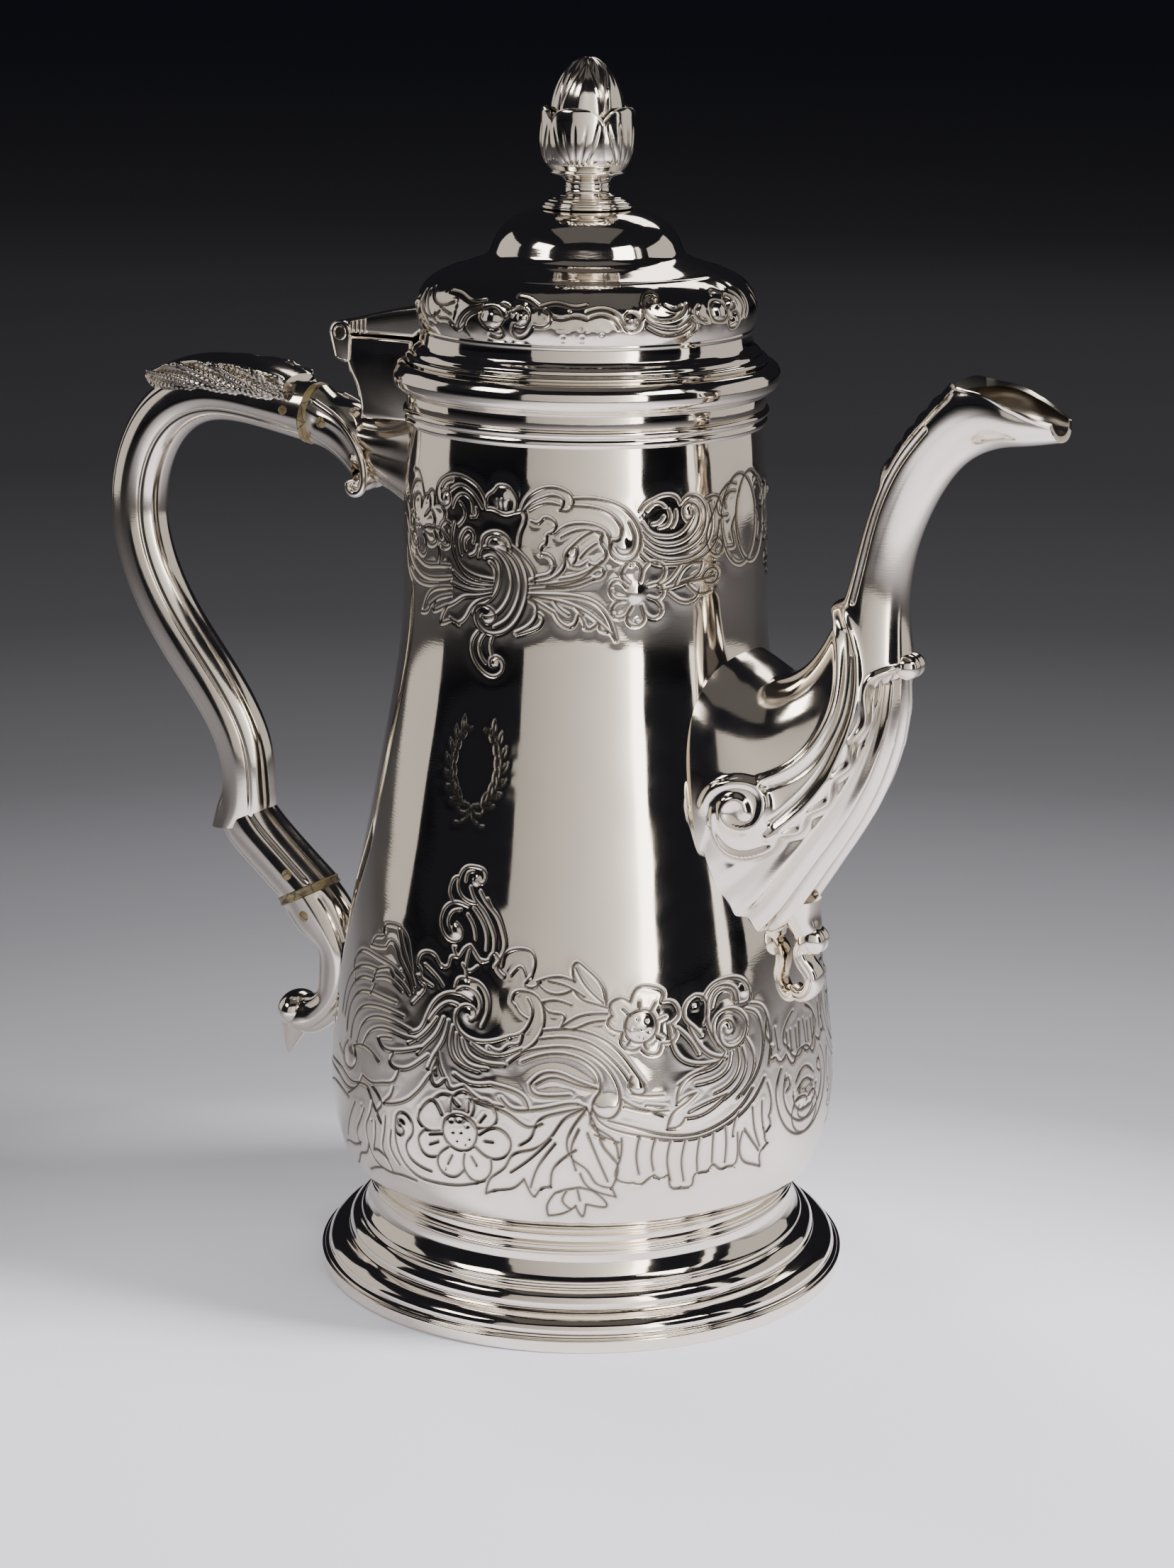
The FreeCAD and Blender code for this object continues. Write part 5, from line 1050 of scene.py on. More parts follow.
@dataclass
class ChasedBody:
    """Raised baluster body with its two bands of chasing and the wreath between them."""

    shop: Workshop
    outline: Outline = (
        (46.4, 21.2), (51.2, 24.6), (54.3, 31.0), (55.8, 41.0), (55.3, 54.0), (53.3, 69.0), (50.7, 84.0),
        (47.4, 100.0), (43.9, 118.0), (41.0, 134.0), (39.4, 147.0), (39.1, 164.0), (38.4, 179.0),
        (37.6, 190.0),
        (37.6, 202.0),
    )
    sheet: float = 1.0
    cols: int = 1360
    fine_pitch: float = 0.23
    coarse_pitch: float = 0.9
    upper_radius: float = 39.5
    lower_radius: float = 53.0
    upper_band: Point = (137.0, 186.0)
    lower_band: Point = (25.5, 105.0)
    oval: tuple[float, float, float, float] = (38.9, 171.8, 6.8, 9.4)
    wreath: tuple[float, float, float] = (-25.5, 122.5, 46.0)
    wreath_half: Point = (6.6, 8.8)
    planishing: float = 0.022

    def levels(self) -> np.ndarray:
        """Heights of the outer rows: close together where there is chasing.

        Returns:
            Heights from the bottom up.
        """
        low, high = self.outline[0][1], self.outline[-1][1]
        cuts = (low, self.lower_band[0], self.lower_band[1], self.upper_band[0], self.upper_band[1], high)
        pitches = (0.5, self.fine_pitch, 0.45, self.fine_pitch, self.coarse_pitch)
        rows = [np.arange(a, b, pitch) for a, b, pitch in zip(cuts, cuts[1:], pitches)]
        return np.concatenate(rows + [np.array([high])])

    def band(self, heights: np.ndarray, radius: float) -> ChasedField:
        """A field whose arcs are measured at a band's own radius, from the front line.

        Args:
            heights: Heights of the rows.
            radius: Radius the arcs are measured at.

        Returns:
            The empty field.
        """
        girth = 2 * math.pi * radius
        arcs = np.arange(self.cols) * girth / self.cols
        return ChasedField(arcs, heights, girth)

    def wreath_lines(self) -> Strokes:
        """Two laurel sprigs tied at the foot with a ribbon.

        Returns:
            Strokes of arc and height pairs.
        """
        arc, level, _ = self.wreath
        half_arc, half_height = self.wreath_half
        strokes: list[tuple[float, ...]] = []
        for side in (-1, 1):
            stem = [
                (arc + side * half_arc * math.sin(t), level - half_height * math.cos(t))
                for t in np.linspace(0.05, 2.6, 9)
            ]
            strokes.append(tuple(v for p in stem for v in p))
            for k in range(1, 8):
                t = 0.1 + 0.33 * k
                base = (arc + side * half_arc * math.sin(t), level - half_height * math.cos(t))
                along = np.array([side * half_arc * math.cos(t), half_height * math.sin(t)])
                along /= np.linalg.norm(along)
                for lean in (-1, 1):
                    out = lean * np.array([along[1], -along[0]])
                    tip = np.array(base) + 2.5 * along + 1.7 * out
                    belly = np.array(base) + 1.0 * along + 1.3 * out
                    rib = np.array(base) + 1.6 * along + 0.5 * out
                    strokes.append((*base, *belly, *tip))
                    strokes.append((*base, *rib, *tip))
            strokes.append((arc, level - 8.9, arc + side * 2.2, level - 10.4, arc + side * 3.4, level - 9.2,
                            arc + side * 2.2, level - 8.2, arc, level - 8.9))
            strokes.append((arc, level - 8.9, arc + side * 1.6, level - 12.0, arc + side * 3.8, level - 12.6))
        return tuple(strokes)

    def carve(self, heights: np.ndarray) -> tuple[np.ndarray, np.ndarray]:
        """Height and tarnish of the chasing over the whole outside.

        Args:
            heights: Heights of the rows.

        Returns:
            Two grids of rows by columns.
        """
        shape = (len(heights), self.cols)
        height, tarnish_and_shade = np.zeros(shape), np.zeros(shape)
        spout = math.radians(SPOUT_ARC_DEG)
        for band, radius, lines, domes, punches, fill in (
            (self.upper_band, self.upper_radius, UPPER_LINES, UPPER_DOMES, UPPER_PUNCHES, (10.0, 32.0, 10.0)),
            (self.lower_band, self.lower_radius, LOWER_LINES, LOWER_DOMES, LOWER_PUNCHES, (16.0, 44.0, 15.0)),
        ):
            rows = np.flatnonzero((heights >= band[0]) & (heights <= band[1]))
            work = self.band(heights[rows], radius)
            mirror = spout * radius
            handle = -2 * spout * radius
            for flip in (None, mirror):
                work.strokes(lines, flip)
                work.domes(domes, flip)
                work.punches(punches, flip)
            group = tuple(s for s in lines if fill[0] < min(s[0::2]) and max(s[0::2]) < fill[1])
            shift = handle + fill[2] - (fill[0] + fill[1]) / 2
            work.strokes(group, None, shift)
            work.strokes(group, handle, -shift)
            if radius == self.upper_radius:
                self.add_ovals(work, mirror)
            relief, dark = work.relief(depth=0.22, width=0.27, puff=0.07, spread=0.65)
            edge = np.clip(np.minimum(heights[rows] - band[0], band[1] - heights[rows]) / 1.5, 0, 1)[:, None]
            height[rows] += relief * edge
            tarnish_and_shade[rows] += dark * edge
        _, level, radius = self.wreath
        rows = np.flatnonzero((heights > level - 16) & (heights < level + 14))
        work = self.band(heights[rows], radius)
        work.strokes(self.wreath_lines())
        relief, dark = work.relief(depth=0.16, width=0.2, puff=0.05, spread=0.6)
        height[rows] += relief
        tarnish_and_shade[rows] += dark
        return height, np.clip(tarnish_and_shade, 0, 1)

    def add_ovals(self, work: ChasedField, mirror: float) -> None:
        """Scratches the plain oval in the upper band, on both sides of the pot.

        Args:
            work: Field it is scratched into.
            mirror: Arc of the spout, between the two sides.
        """
        arc, level, half_arc, half_height = self.oval
        turn_round = np.linspace(0, 2 * math.pi, 90)
        for centre in (arc, 2 * mirror - arc):
            ring = np.stack(
                [centre + half_arc * np.cos(turn_round), level + half_height * np.sin(turn_round)], -1
            )
            work.line(ring)

    def build(self) -> None:
        """Builds the body as one closed shell."""
        heights = self.levels()
        line = smooth_line(self.outline, 1200)
        radius = np.interp(heights, line[:, 1], line[:, 0])
        relief, tarnish_and_shade = self.carve(heights)
        angle = np.linspace(0, 2 * math.pi, self.cols, endpoint=False)
        hammer = np.sin(7 * angle + 0.9) * np.sin(0.11 * heights)[:, None]
        hammer += 0.7 * np.sin(11 * angle + 2.0) * np.sin(0.19 * heights + 1.2)[:, None]
        hammer += 0.5 * np.sin(17 * angle + 0.4) * np.sin(0.31 * heights + 0.5)[:, None]
        outside = radius[:, None] + relief + self.planishing * hammer
        outside[-1] = outside[-2] = self.outline[-1][0]
        world = angle + math.radians(FRONT_DEG)
        shell = np.stack([outside * np.cos(world), outside * np.sin(world), heights[:, None] + 0 * angle], -1)
        levels = np.linspace(heights[-1], heights[0], 60)
        inner = np.interp(levels, heights, radius)[:, None] - self.sheet + 0 * angle
        inside = np.stack([inner * np.cos(world), inner * np.sin(world), levels[:, None] + 0 * angle], -1)
        draft = MeshDraft()
        grid = np.concatenate([shell, inside])
        dark = np.concatenate([tarnish_and_shade, np.zeros((len(levels), self.cols))])
        draft.grid(grid, dark, wrap_rows=True)
        self.shop.hand_over(draft.build("body_chased", CHASED_SHARP_DEG), Slot.CHASED, Body.POT, "body")


@dataclass
class MouthMouldings:
    """Reeding, plain band and bold half round under the lid."""

    shop: Workshop
    reeds: Outline = (
        (37.5, 188.8), (38.1, 188.8), (38.35, 189.0), (38.65, 189.5), (38.65, 190.1), (38.35, 190.6),
        (38.3, 190.8),
        (38.7, 191.0), (39.0, 191.5), (39.0, 192.0), (38.7, 192.45), (38.3, 192.6), (37.5, 192.6),
    )
    band: Outline = ((37.5, 192.6), (38.25, 192.6), (38.3, 194.0), (38.25, 195.5), (37.5, 195.5))
    torus: Outline = (
        (37.5, 195.5), (38.7, 195.5), (38.9, 195.9), (39.5, 196.1), (39.8, 196.5), (40.5, 196.9),
        (41.05, 197.7),
        (41.3, 198.9), (41.2, 200.1), (40.7, 201.1), (40.0, 201.75), (39.2, 202.0), (37.5, 202.0),
    )

    def build(self) -> None:
        """Builds the three rings."""
        for name, outline, slot, node in (
            ("neck_reeds", self.reeds, Slot.POLISHED, "neck_reeding"),
            ("neck_plain_band", self.band, Slot.POLISHED, "rim_band"),
            ("mouth_half_round", self.torus, Slot.POLISHED, "rim_moulding"),
        ):
            profile = rounded(outline, 0.25, 4)
            self.shop.hand_over(turned_piece(name, profile, ROUND_COLS), slot, Body.POT, node)


# ---------------------------------------------------------------- lid and finial
@dataclass
class DomedLid:
    """Lid with a stepped flange, a chased bulging border, a thin ring and a dome."""

    shop: Workshop
    flange: Outline = (
        (34.2, 202.25), (38.3, 202.25), (38.5, 202.5), (38.45, 203.0), (38.1, 203.3), (37.4, 203.4),
        (37.1, 203.7),
        (37.0, 204.3), (36.6, 204.8), (35.95, 205.3), (35.5, 206.0), (35.3, 207.0), (35.2, 208.4),
        (35.35, 209.0),
        (35.25, 209.4),
    )
    border: Outline = (
        (35.3, 209.5), (35.75, 210.6), (36.05, 212.4), (35.85, 214.6), (35.0, 216.8), (33.5, 218.7),
        (31.4, 220.2),
        (29.5, 220.95),
    )
    crown: Outline = (
        (29.3, 221.15), (29.0, 221.35), (28.6, 221.3), (27.2, 221.7), (24.2, 222.8), (21.8, 223.7),
        (20.6, 224.6),
        (20.05, 226.0), (19.3, 227.9), (18.0, 229.8), (16.0, 231.5), (13.2, 232.9), (10.0, 233.8),
        (7.5, 234.0),
    )
    inside: Outline = (
        (1.5, 234.0), (1.5, 233.0), (7.5, 233.0), (11.4, 232.3), (15.5, 230.1), (18.2, 227.0), (19.8, 223.5),
        (23.8, 221.8), (28.8, 219.9), (30.2, 219.6), (32.8, 218.0), (34.4, 215.2), (34.8, 212.0),
        (34.0, 209.4),
        (34.0, 203.5),
    )
    cols: int = 840
    border_radius: float = 35.5
    border_pitch: float = 0.27

    def build(self) -> None:
        """Builds the lid as one closed shell, with its chased border."""
        border = smooth_line(self.border, int(15.5 / self.border_pitch))
        parts = [rounded(self.flange, 0.2, 4), border, rounded(self.crown, 1.2, 6), np.array(self.inside)]
        profile = np.vstack(parts)
        first, last = len(parts[0]), len(parts[0]) + len(border)
        angle = np.linspace(0, 2 * math.pi, self.cols, endpoint=False)
        girth = 2 * math.pi * self.border_radius
        work = ChasedField(np.arange(self.cols) * girth / self.cols, border[:, 1], girth, reach=2.2)
        for shift in (0.0, girth * 0.42, girth * 0.74):
            strokes = LID_LINES if shift < 100 else tuple(s for s in LID_LINES if s[0] < 12.0)
            work.strokes(strokes, None, shift)
            work.domes(tuple(d for d in LID_DOMES if shift < 100 or d[0] < 12.0), None, shift, height=0.8)
            work.punches(LID_PUNCHES, None, shift)
        relief, dark = work.relief(depth=0.24, width=0.27, puff=0.13, spread=0.6)
        edge = np.clip(np.minimum(np.arange(len(border)), np.arange(len(border))[::-1]) / 5.0, 0, 1)[:, None]
        world = angle + math.radians(FRONT_DEG)
        normal = np.gradient(border, axis=0)
        normal = np.stack([normal[:, 1], -normal[:, 0]], -1) / np.linalg.norm(normal, axis=1, keepdims=True)
        radius = profile[:, 0:1] + 0 * angle
        level = profile[:, 1:2] + 0 * angle
        radius[first:last] += normal[:, 0:1] * relief * edge
        level[first:last] += normal[:, 1:2] * relief * edge
        tarnish_and_shade = np.zeros(radius.shape)
        tarnish_and_shade[first:last] = dark * edge
        draft = MeshDraft()
        skin = np.stack([radius * np.cos(world), radius * np.sin(world), level], -1)
        draft.grid(skin, tarnish_and_shade, wrap_rows=True)
        self.shop.hand_over(draft.build("lid_chased", CHASED_SHARP_DEG), Slot.CHASED, Body.LID, "lid")


@dataclass
class BudFinial:
    """Bud in a cup of five rounded leaves, on a waisted stem and a moulded base."""

    shop: Workshop
    base: Outline = (
        (8.2, 234.0), (9.9, 234.02), (10.05, 234.4), (9.9, 234.75), (9.5, 234.85), (9.6, 235.1),
        (9.3, 235.45),
        (8.8, 235.5), (8.7, 235.9), (8.1, 236.0), (7.9, 236.35), (7.2, 236.5), (6.0, 236.6), (1.5, 236.6),
        (1.5, 234.0),
    )
    stem: Outline = (
        (0.0, 236.6), (6.2, 236.6), (5.4, 237.0), (4.9, 237.6), (4.7, 238.3), (5.0, 238.5), (4.7, 238.8),
        (4.8, 239.6), (5.6, 240.4), (7.2, 240.9), (8.0, 241.2), (8.0, 241.5), (7.7, 241.8), (8.7, 243.0),
        (9.2, 245.5), (9.2, 248.5), (8.6, 250.0), (7.0, 250.6), (0.0, 250.6),
    )
    bud: Outline = (
        (6.6, 249.5), (7.4, 251.5), (7.7, 253.5), (7.5, 255.8), (6.8, 258.3), (5.7, 260.6), (4.2, 262.7),
        (2.5, 264.2), (1.0, 264.85), (0.0, 264.95),
    )
    leaf: Outline = (
        (7.6, 241.6), (9.0, 243.4), (9.75, 245.8), (10.05, 248.4), (10.1, 250.8), (10.2, 252.8),
        (10.25, 254.2),
        (9.9, 255.0),
    )
    leaves: int = 5
    first_leaf_deg: float = -76.0
    thickness: float = 0.9

    def build(self) -> None:
        """Builds the base, the stem with its cup, the bud and the leaves."""
        plate = turned_piece("finial_moulded_base", rounded(self.base, 0.2, 4), 256)
        self.shop.hand_over(plate, Slot.POLISHED,
                            Body.LID, "finial_base")
        draft = MeshDraft()
        self.add_stem(draft)
        self.add_bud(draft)
        for k in range(self.leaves):
            self.add_leaf(draft, math.radians(self.first_leaf_deg + 360.0 * k / self.leaves))
        self.shop.hand_over(draft.build("finial_bud", SHARP_DEG), Slot.CAST, Body.LID, "finial")

    def add_stem(self, draft: MeshDraft) -> None:
        """Turns the waisted stem and the cup behind the leaves.

        Args:
            draft: Mesh they are added to.
        """
        profile = rounded(self.stem, 0.3, 4)[1:-1]
        cols = 192
        first = draft.grid(turn(profile, cols))
        draft.cap(first, cols, (0, 0, profile[0, 1]), upwards=False)
        draft.cap(first + (len(profile) - 1) * cols, cols, (0, 0, profile[-1, 1]), upwards=True)

    def add_bud(self, draft: MeshDraft) -> None:
        """Wraps the bud in pointed, fluted petals that overlap.

        Args:
            draft: Mesh it is added to.
        """
        cols, rows = 300, 150
        line = smooth_line(self.bud, rows)[:-1]
        angle = np.linspace(0, 2 * math.pi, cols, endpoint=False)
        rise = np.linspace(0, 1, len(line))[:, None]
        lift = np.zeros((len(line), cols))
        tarnish_and_shade = np.zeros(lift.shape)
        offset = math.radians(self.first_leaf_deg) + math.pi / self.leaves
        for layer, (tip, half, height) in enumerate(((1.0, 0.95, 0.18), (0.9, 0.78, 0.42))):
            for k in range(self.leaves):
                centre = offset + (2 * math.pi * k + layer * math.pi) / self.leaves + 0.25 * rise
                turn_from = (angle[None, :] - centre + math.pi) % (2 * math.pi) - math.pi
                width = half * (1 - (np.clip(rise / tip, 0, 1)) ** 2.2)
                inside = np.clip((width - np.abs(turn_from)) / 0.12, 0, 1)
                crown = np.clip(1 - (turn_from / np.maximum(width, 0.05)) ** 2, 0, 1)
                flute = 0.07 * np.cos(turn_from / np.maximum(width, 0.05) * 9.0) * crown
                petal = inside * (height + 0.22 * crown + flute)
                seam = 0.7 * np.exp(-(((width - np.abs(turn_from)) / 0.05) ** 2)) * (rise < tip)
                tarnish_and_shade = np.maximum(tarnish_and_shade * (1 - inside), seam)
                lift = np.where(petal > lift, petal, lift)
        fade = np.clip((1 - rise) / 0.12, 0, 1)
        radius = line[:, 0:1] - 0.45 + lift * fade + 0.45 * (1 - fade)
        radius = np.maximum(radius, 0.05)
        level = line[:, 1:2] + 0 * angle
        skin = np.stack([radius * np.cos(angle), radius * np.sin(angle), level], -1)
        first = draft.grid(skin, tarnish_and_shade * fade)
        draft.cap(first, cols, (0, 0, line[0, 1]), upwards=False)
        draft.cap(first + (len(line) - 1) * cols, cols, (0, 0, self.bud[-1][1]), upwards=True)

    def add_leaf(self, draft: MeshDraft, centre: float) -> None:
        """Shapes one rounded leaf of the cup, with veins and a turned-out lip.

        Args:
            draft: Mesh it is added to.
            centre: Angle of its middle.
        """
        rows, cols = 70, 61
        line = smooth_line(self.leaf, rows)
        v = np.linspace(0, 1, rows)[:, None]
        u = np.linspace(-1, 1, cols)[None, :]
        half = np.radians(37.5) * np.clip(1 - np.clip((v - 0.62) / 0.38, 0, 1) ** 2.4, 0, 1) ** 0.5
        half = half * (0.80 + 0.20 * np.clip(v / 0.4, 0, 1)) + 0.02
        bow = 0.75 * (1 - u**2) * np.sin(np.pi * np.clip(v * 0.85 + 0.12, 0, 1))
        veins = np.zeros((rows, cols))
        for root, lean in ((0.0, 0.0), (0.2, 0.32), (-0.2, -0.32), (0.42, 0.62), (-0.42, -0.62)):
            path = root + lean * (v - 0.15)
            veins += np.exp(-(((u - path) / 0.045) ** 2)) * np.clip((0.78 - v) / 0.2, 0, 1)
        rim = np.exp(-(((1 - np.abs(u)) / 0.06) ** 2)) * 0.15
        radius = line[:, 0:1] - 0.55 + bow - 0.22 * veins + rim
        angle = centre + half * u
        outer = np.stack([radius * np.cos(angle), radius * np.sin(angle), line[:, 1:2] + 0 * u], -1)
        inner_radius = np.maximum(radius - self.thickness, 0.5)
        inner_level = line[:, 1:2] - 0.1 + 0 * u
        inner = np.stack([inner_radius * np.cos(angle), inner_radius * np.sin(angle), inner_level], -1)
        ring = np.concatenate([outer, inner[:, ::-1]], axis=1)
        dark = np.concatenate([0.5 * np.clip(veins, 0, 1), np.zeros((rows, cols))], axis=1)
        first = draft.grid(ring, dark)
        draft.cap(first, 2 * cols, ring[0].mean(0), upwards=False)
        draft.cap(first + (rows - 1) * 2 * cols, 2 * cols, ring[-1].mean(0), upwards=True)


# ---------------------------------------------------------------- cast pieces
def across(joint: Point, direction: Point, distance: float, half_depth: float, half_width: float) -> Station:
    """A section square to a direction.

    Args:
        joint: Point (x, z) on the direction's line.
        direction: Unit direction (x, z).
        distance: How far along the line the section stands.
        half_depth: Half its depth in the plane of spout and handle.
        half_width: Half its width across that plane.

    Returns:
        Back point, front point and half width.
    """
    cx, cz = joint[0] + direction[0] * distance, joint[1] + direction[1] * distance
    nx, nz = -direction[1] * half_depth, direction[0] * half_depth
    return ((cx + nx, cz + nz), (cx - nx, cz - nz), half_width)


def path_sections(path: Outline, half_depths: tuple[float, ...], half_width: float) -> tuple[Station, ...]:
    """Sections square to a path.

    Args:
        path: Points (x, z) of the path.
        half_depths: Half depth at each point.
        half_width: Half width of them all.

    Returns:
        One section for each point.
    """
    sections = []
    for i, point in enumerate(path):
        before, after = path[max(i - 1, 0)], path[min(i + 1, len(path) - 1)]
        run = math.hypot(after[0] - before[0], after[1] - before[1])
        direction = ((after[0] - before[0]) / run, (after[1] - before[1]) / run)
        sections.append(across(point, direction, 0.0, half_depths[i], half_width))
    return tuple(sections)


def line_gap(x: np.ndarray, z: np.ndarray, line: Outline, steps: int = 60) -> np.ndarray:
    """Distance of points from a smooth line in the plane of spout and handle.

    Args:
        x: Points' x.
        z: Points' z.
        line: Points the line goes through.
        steps: Runs the line is divided into.

    Returns:
        Distances, shaped like x.
    """
    points = smooth_line(line, steps) if len(line) > 2 else np.array(line, float)
    gap = np.full(x.shape, 1e3)
    for (x0, z0), (x1, z1) in zip(points, points[1:]):
        dx, dz = x1 - x0, z1 - z0
        t = np.clip(((x - x0) * dx + (z - z0) * dz) / max(dx * dx + dz * dz, 1e-9), 0, 1)
        gap = np.minimum(gap, np.hypot(x - x0 - t * dx, z - z0 - t * dz))
    return gap


def inside_outline(x: np.ndarray, z: np.ndarray, outline: np.ndarray) -> np.ndarray:
    """Which points lie inside a closed outline.

    Args:
        x: Points' x.
        z: Points' z.
        outline: Corners of the outline.

    Returns:
        Array of booleans, shaped like x.
    """
    inside = np.zeros(x.shape, bool)
    for (x0, z0), (x1, z1) in zip(outline, np.roll(outline, -1, 0)):
        if z0 == z1:
            continue
        crosses = (z0 > z) != (z1 > z)
        inside ^= crosses & (x < (x1 - x0) * (z - z0) / (z1 - z0) + x0)
    return inside


def ease(value: np.ndarray) -> np.ndarray:
    """Smooth step from 0 to 1 for values from 0 to 1."""
    v = np.clip(value, 0, 1)
    return v * v * (3 - 2 * v)


@dataclass
class CastTube:
    """A closed skin over sections that stand across the plane of spout and handle."""

    stations: tuple[Station, ...]
    rows: int
    cols: int
    squareness: float = 2.0
    by_index: bool = False
    roof: float = 0.0
    ridge_level: float = 0.2

    def sections(self) -> np.ndarray:
        """Back, front and half width of every row.

        Returns:
            Array of rows by five numbers.
        """
        table = np.array([(*back, *front, width) for back, front, width in self.stations])
        if self.by_index:
            knots = np.arange(len(table), dtype=float)
        else:
            centres = (table[:, 0:2] + table[:, 2:4]) / 2
            knots = np.concatenate(([0.0], np.cumsum(np.linalg.norm(np.diff(centres, axis=0), axis=1))))
        return spline_at(knots, table, np.linspace(0, knots[-1], self.rows))

    def skin(self, rows: np.ndarray, angle: np.ndarray, shrink: float = 0.0) -> np.ndarray:
        """Points of the skin.

        Args:
            rows: Sections, as sections() gives them.
            angle: Angles round each section, 0 at the back and a quarter turn at -Y.
            shrink: How far inside the outer skin.

        Returns:
            Grid of points.
        """
        centre, half = (rows[:, 0:2] + rows[:, 2:4]) / 2, (rows[:, 0:2] - rows[:, 2:4]) / 2
        depth = np.linalg.norm(half, axis=1, keepdims=True)
        half = half * (depth - shrink) / depth
        power = 2.0 / self.squareness
        cos = np.sign(np.cos(angle)) * np.abs(np.cos(angle)) ** power
        sin = np.sign(np.sin(angle)) * np.abs(np.sin(angle)) ** power
        x = centre[:, 0:1] + half[:, 0:1] * cos
        z = centre[:, 1:2] + half[:, 1:2] * cos
        pitched = 1 - self.roof * np.abs(np.cos(angle) - self.ridge_level)
        return np.stack([x, -(rows[:, 4:5] - shrink) * sin * pitched, z], -1)

    def closed(
        self, draft: MeshDraft, relief: np.ndarray | None = None, tarnish_and_shade: np.ndarray | None = None
    ) -> None:
        """Adds the tube with both ends closed.

        Args:
            draft: Mesh the tube is added to.
            relief: How far each point is moved outwards.
            tarnish_and_shade: How dark each point is.
        """
        points = self.skin(self.sections(), self.angles())
        if relief is not None:
            points = points + grid_normals(points) * relief[..., None]
        first = draft.grid(points, tarnish_and_shade)
        draft.cap(first, self.cols, points[0].mean(0), upwards=False)
        draft.cap(first + (self.rows - 1) * self.cols, self.cols, points[-1].mean(0), upwards=True)

    def angles(self) -> np.ndarray:
        """Angles of the columns of a closed tube."""
        return np.linspace(0, 2 * math.pi, self.cols, endpoint=False)


def add_roll(draft: MeshDraft, centre: Point, radius: float, reach: float) -> None:
    """Adds a rolled leaf end: a short bar along Y with full round ends.

    Args:
        draft: Mesh it is added to.
        centre: Its axis (x, z).
        radius: Its radius at the middle.
        reach: Half its length.
    """
    rows, cols = 32, 64
    place = np.sin(np.linspace(-0.5 * math.pi, 0.5 * math.pi, rows + 2)[1:-1])[:, None]
    turn_round = np.linspace(0, 2 * math.pi, cols, endpoint=False)[None, :]
    size = radius * (1 - np.abs(place) ** 3.0) ** 0.5 * (1 - 0.08 * np.exp(-((place / 0.22) ** 2)))
    grid = np.stack([centre[0] + size * np.sin(turn_round), reach * place + 0 * turn_round,
                     centre[1] + size * np.cos(turn_round)], -1)
    first = draft.grid(grid)
    draft.cap(first, cols, (centre[0], -reach, centre[1]), upwards=False)
    draft.cap(first + (rows - 1) * cols, cols, (centre[0], reach, centre[1]), upwards=True)


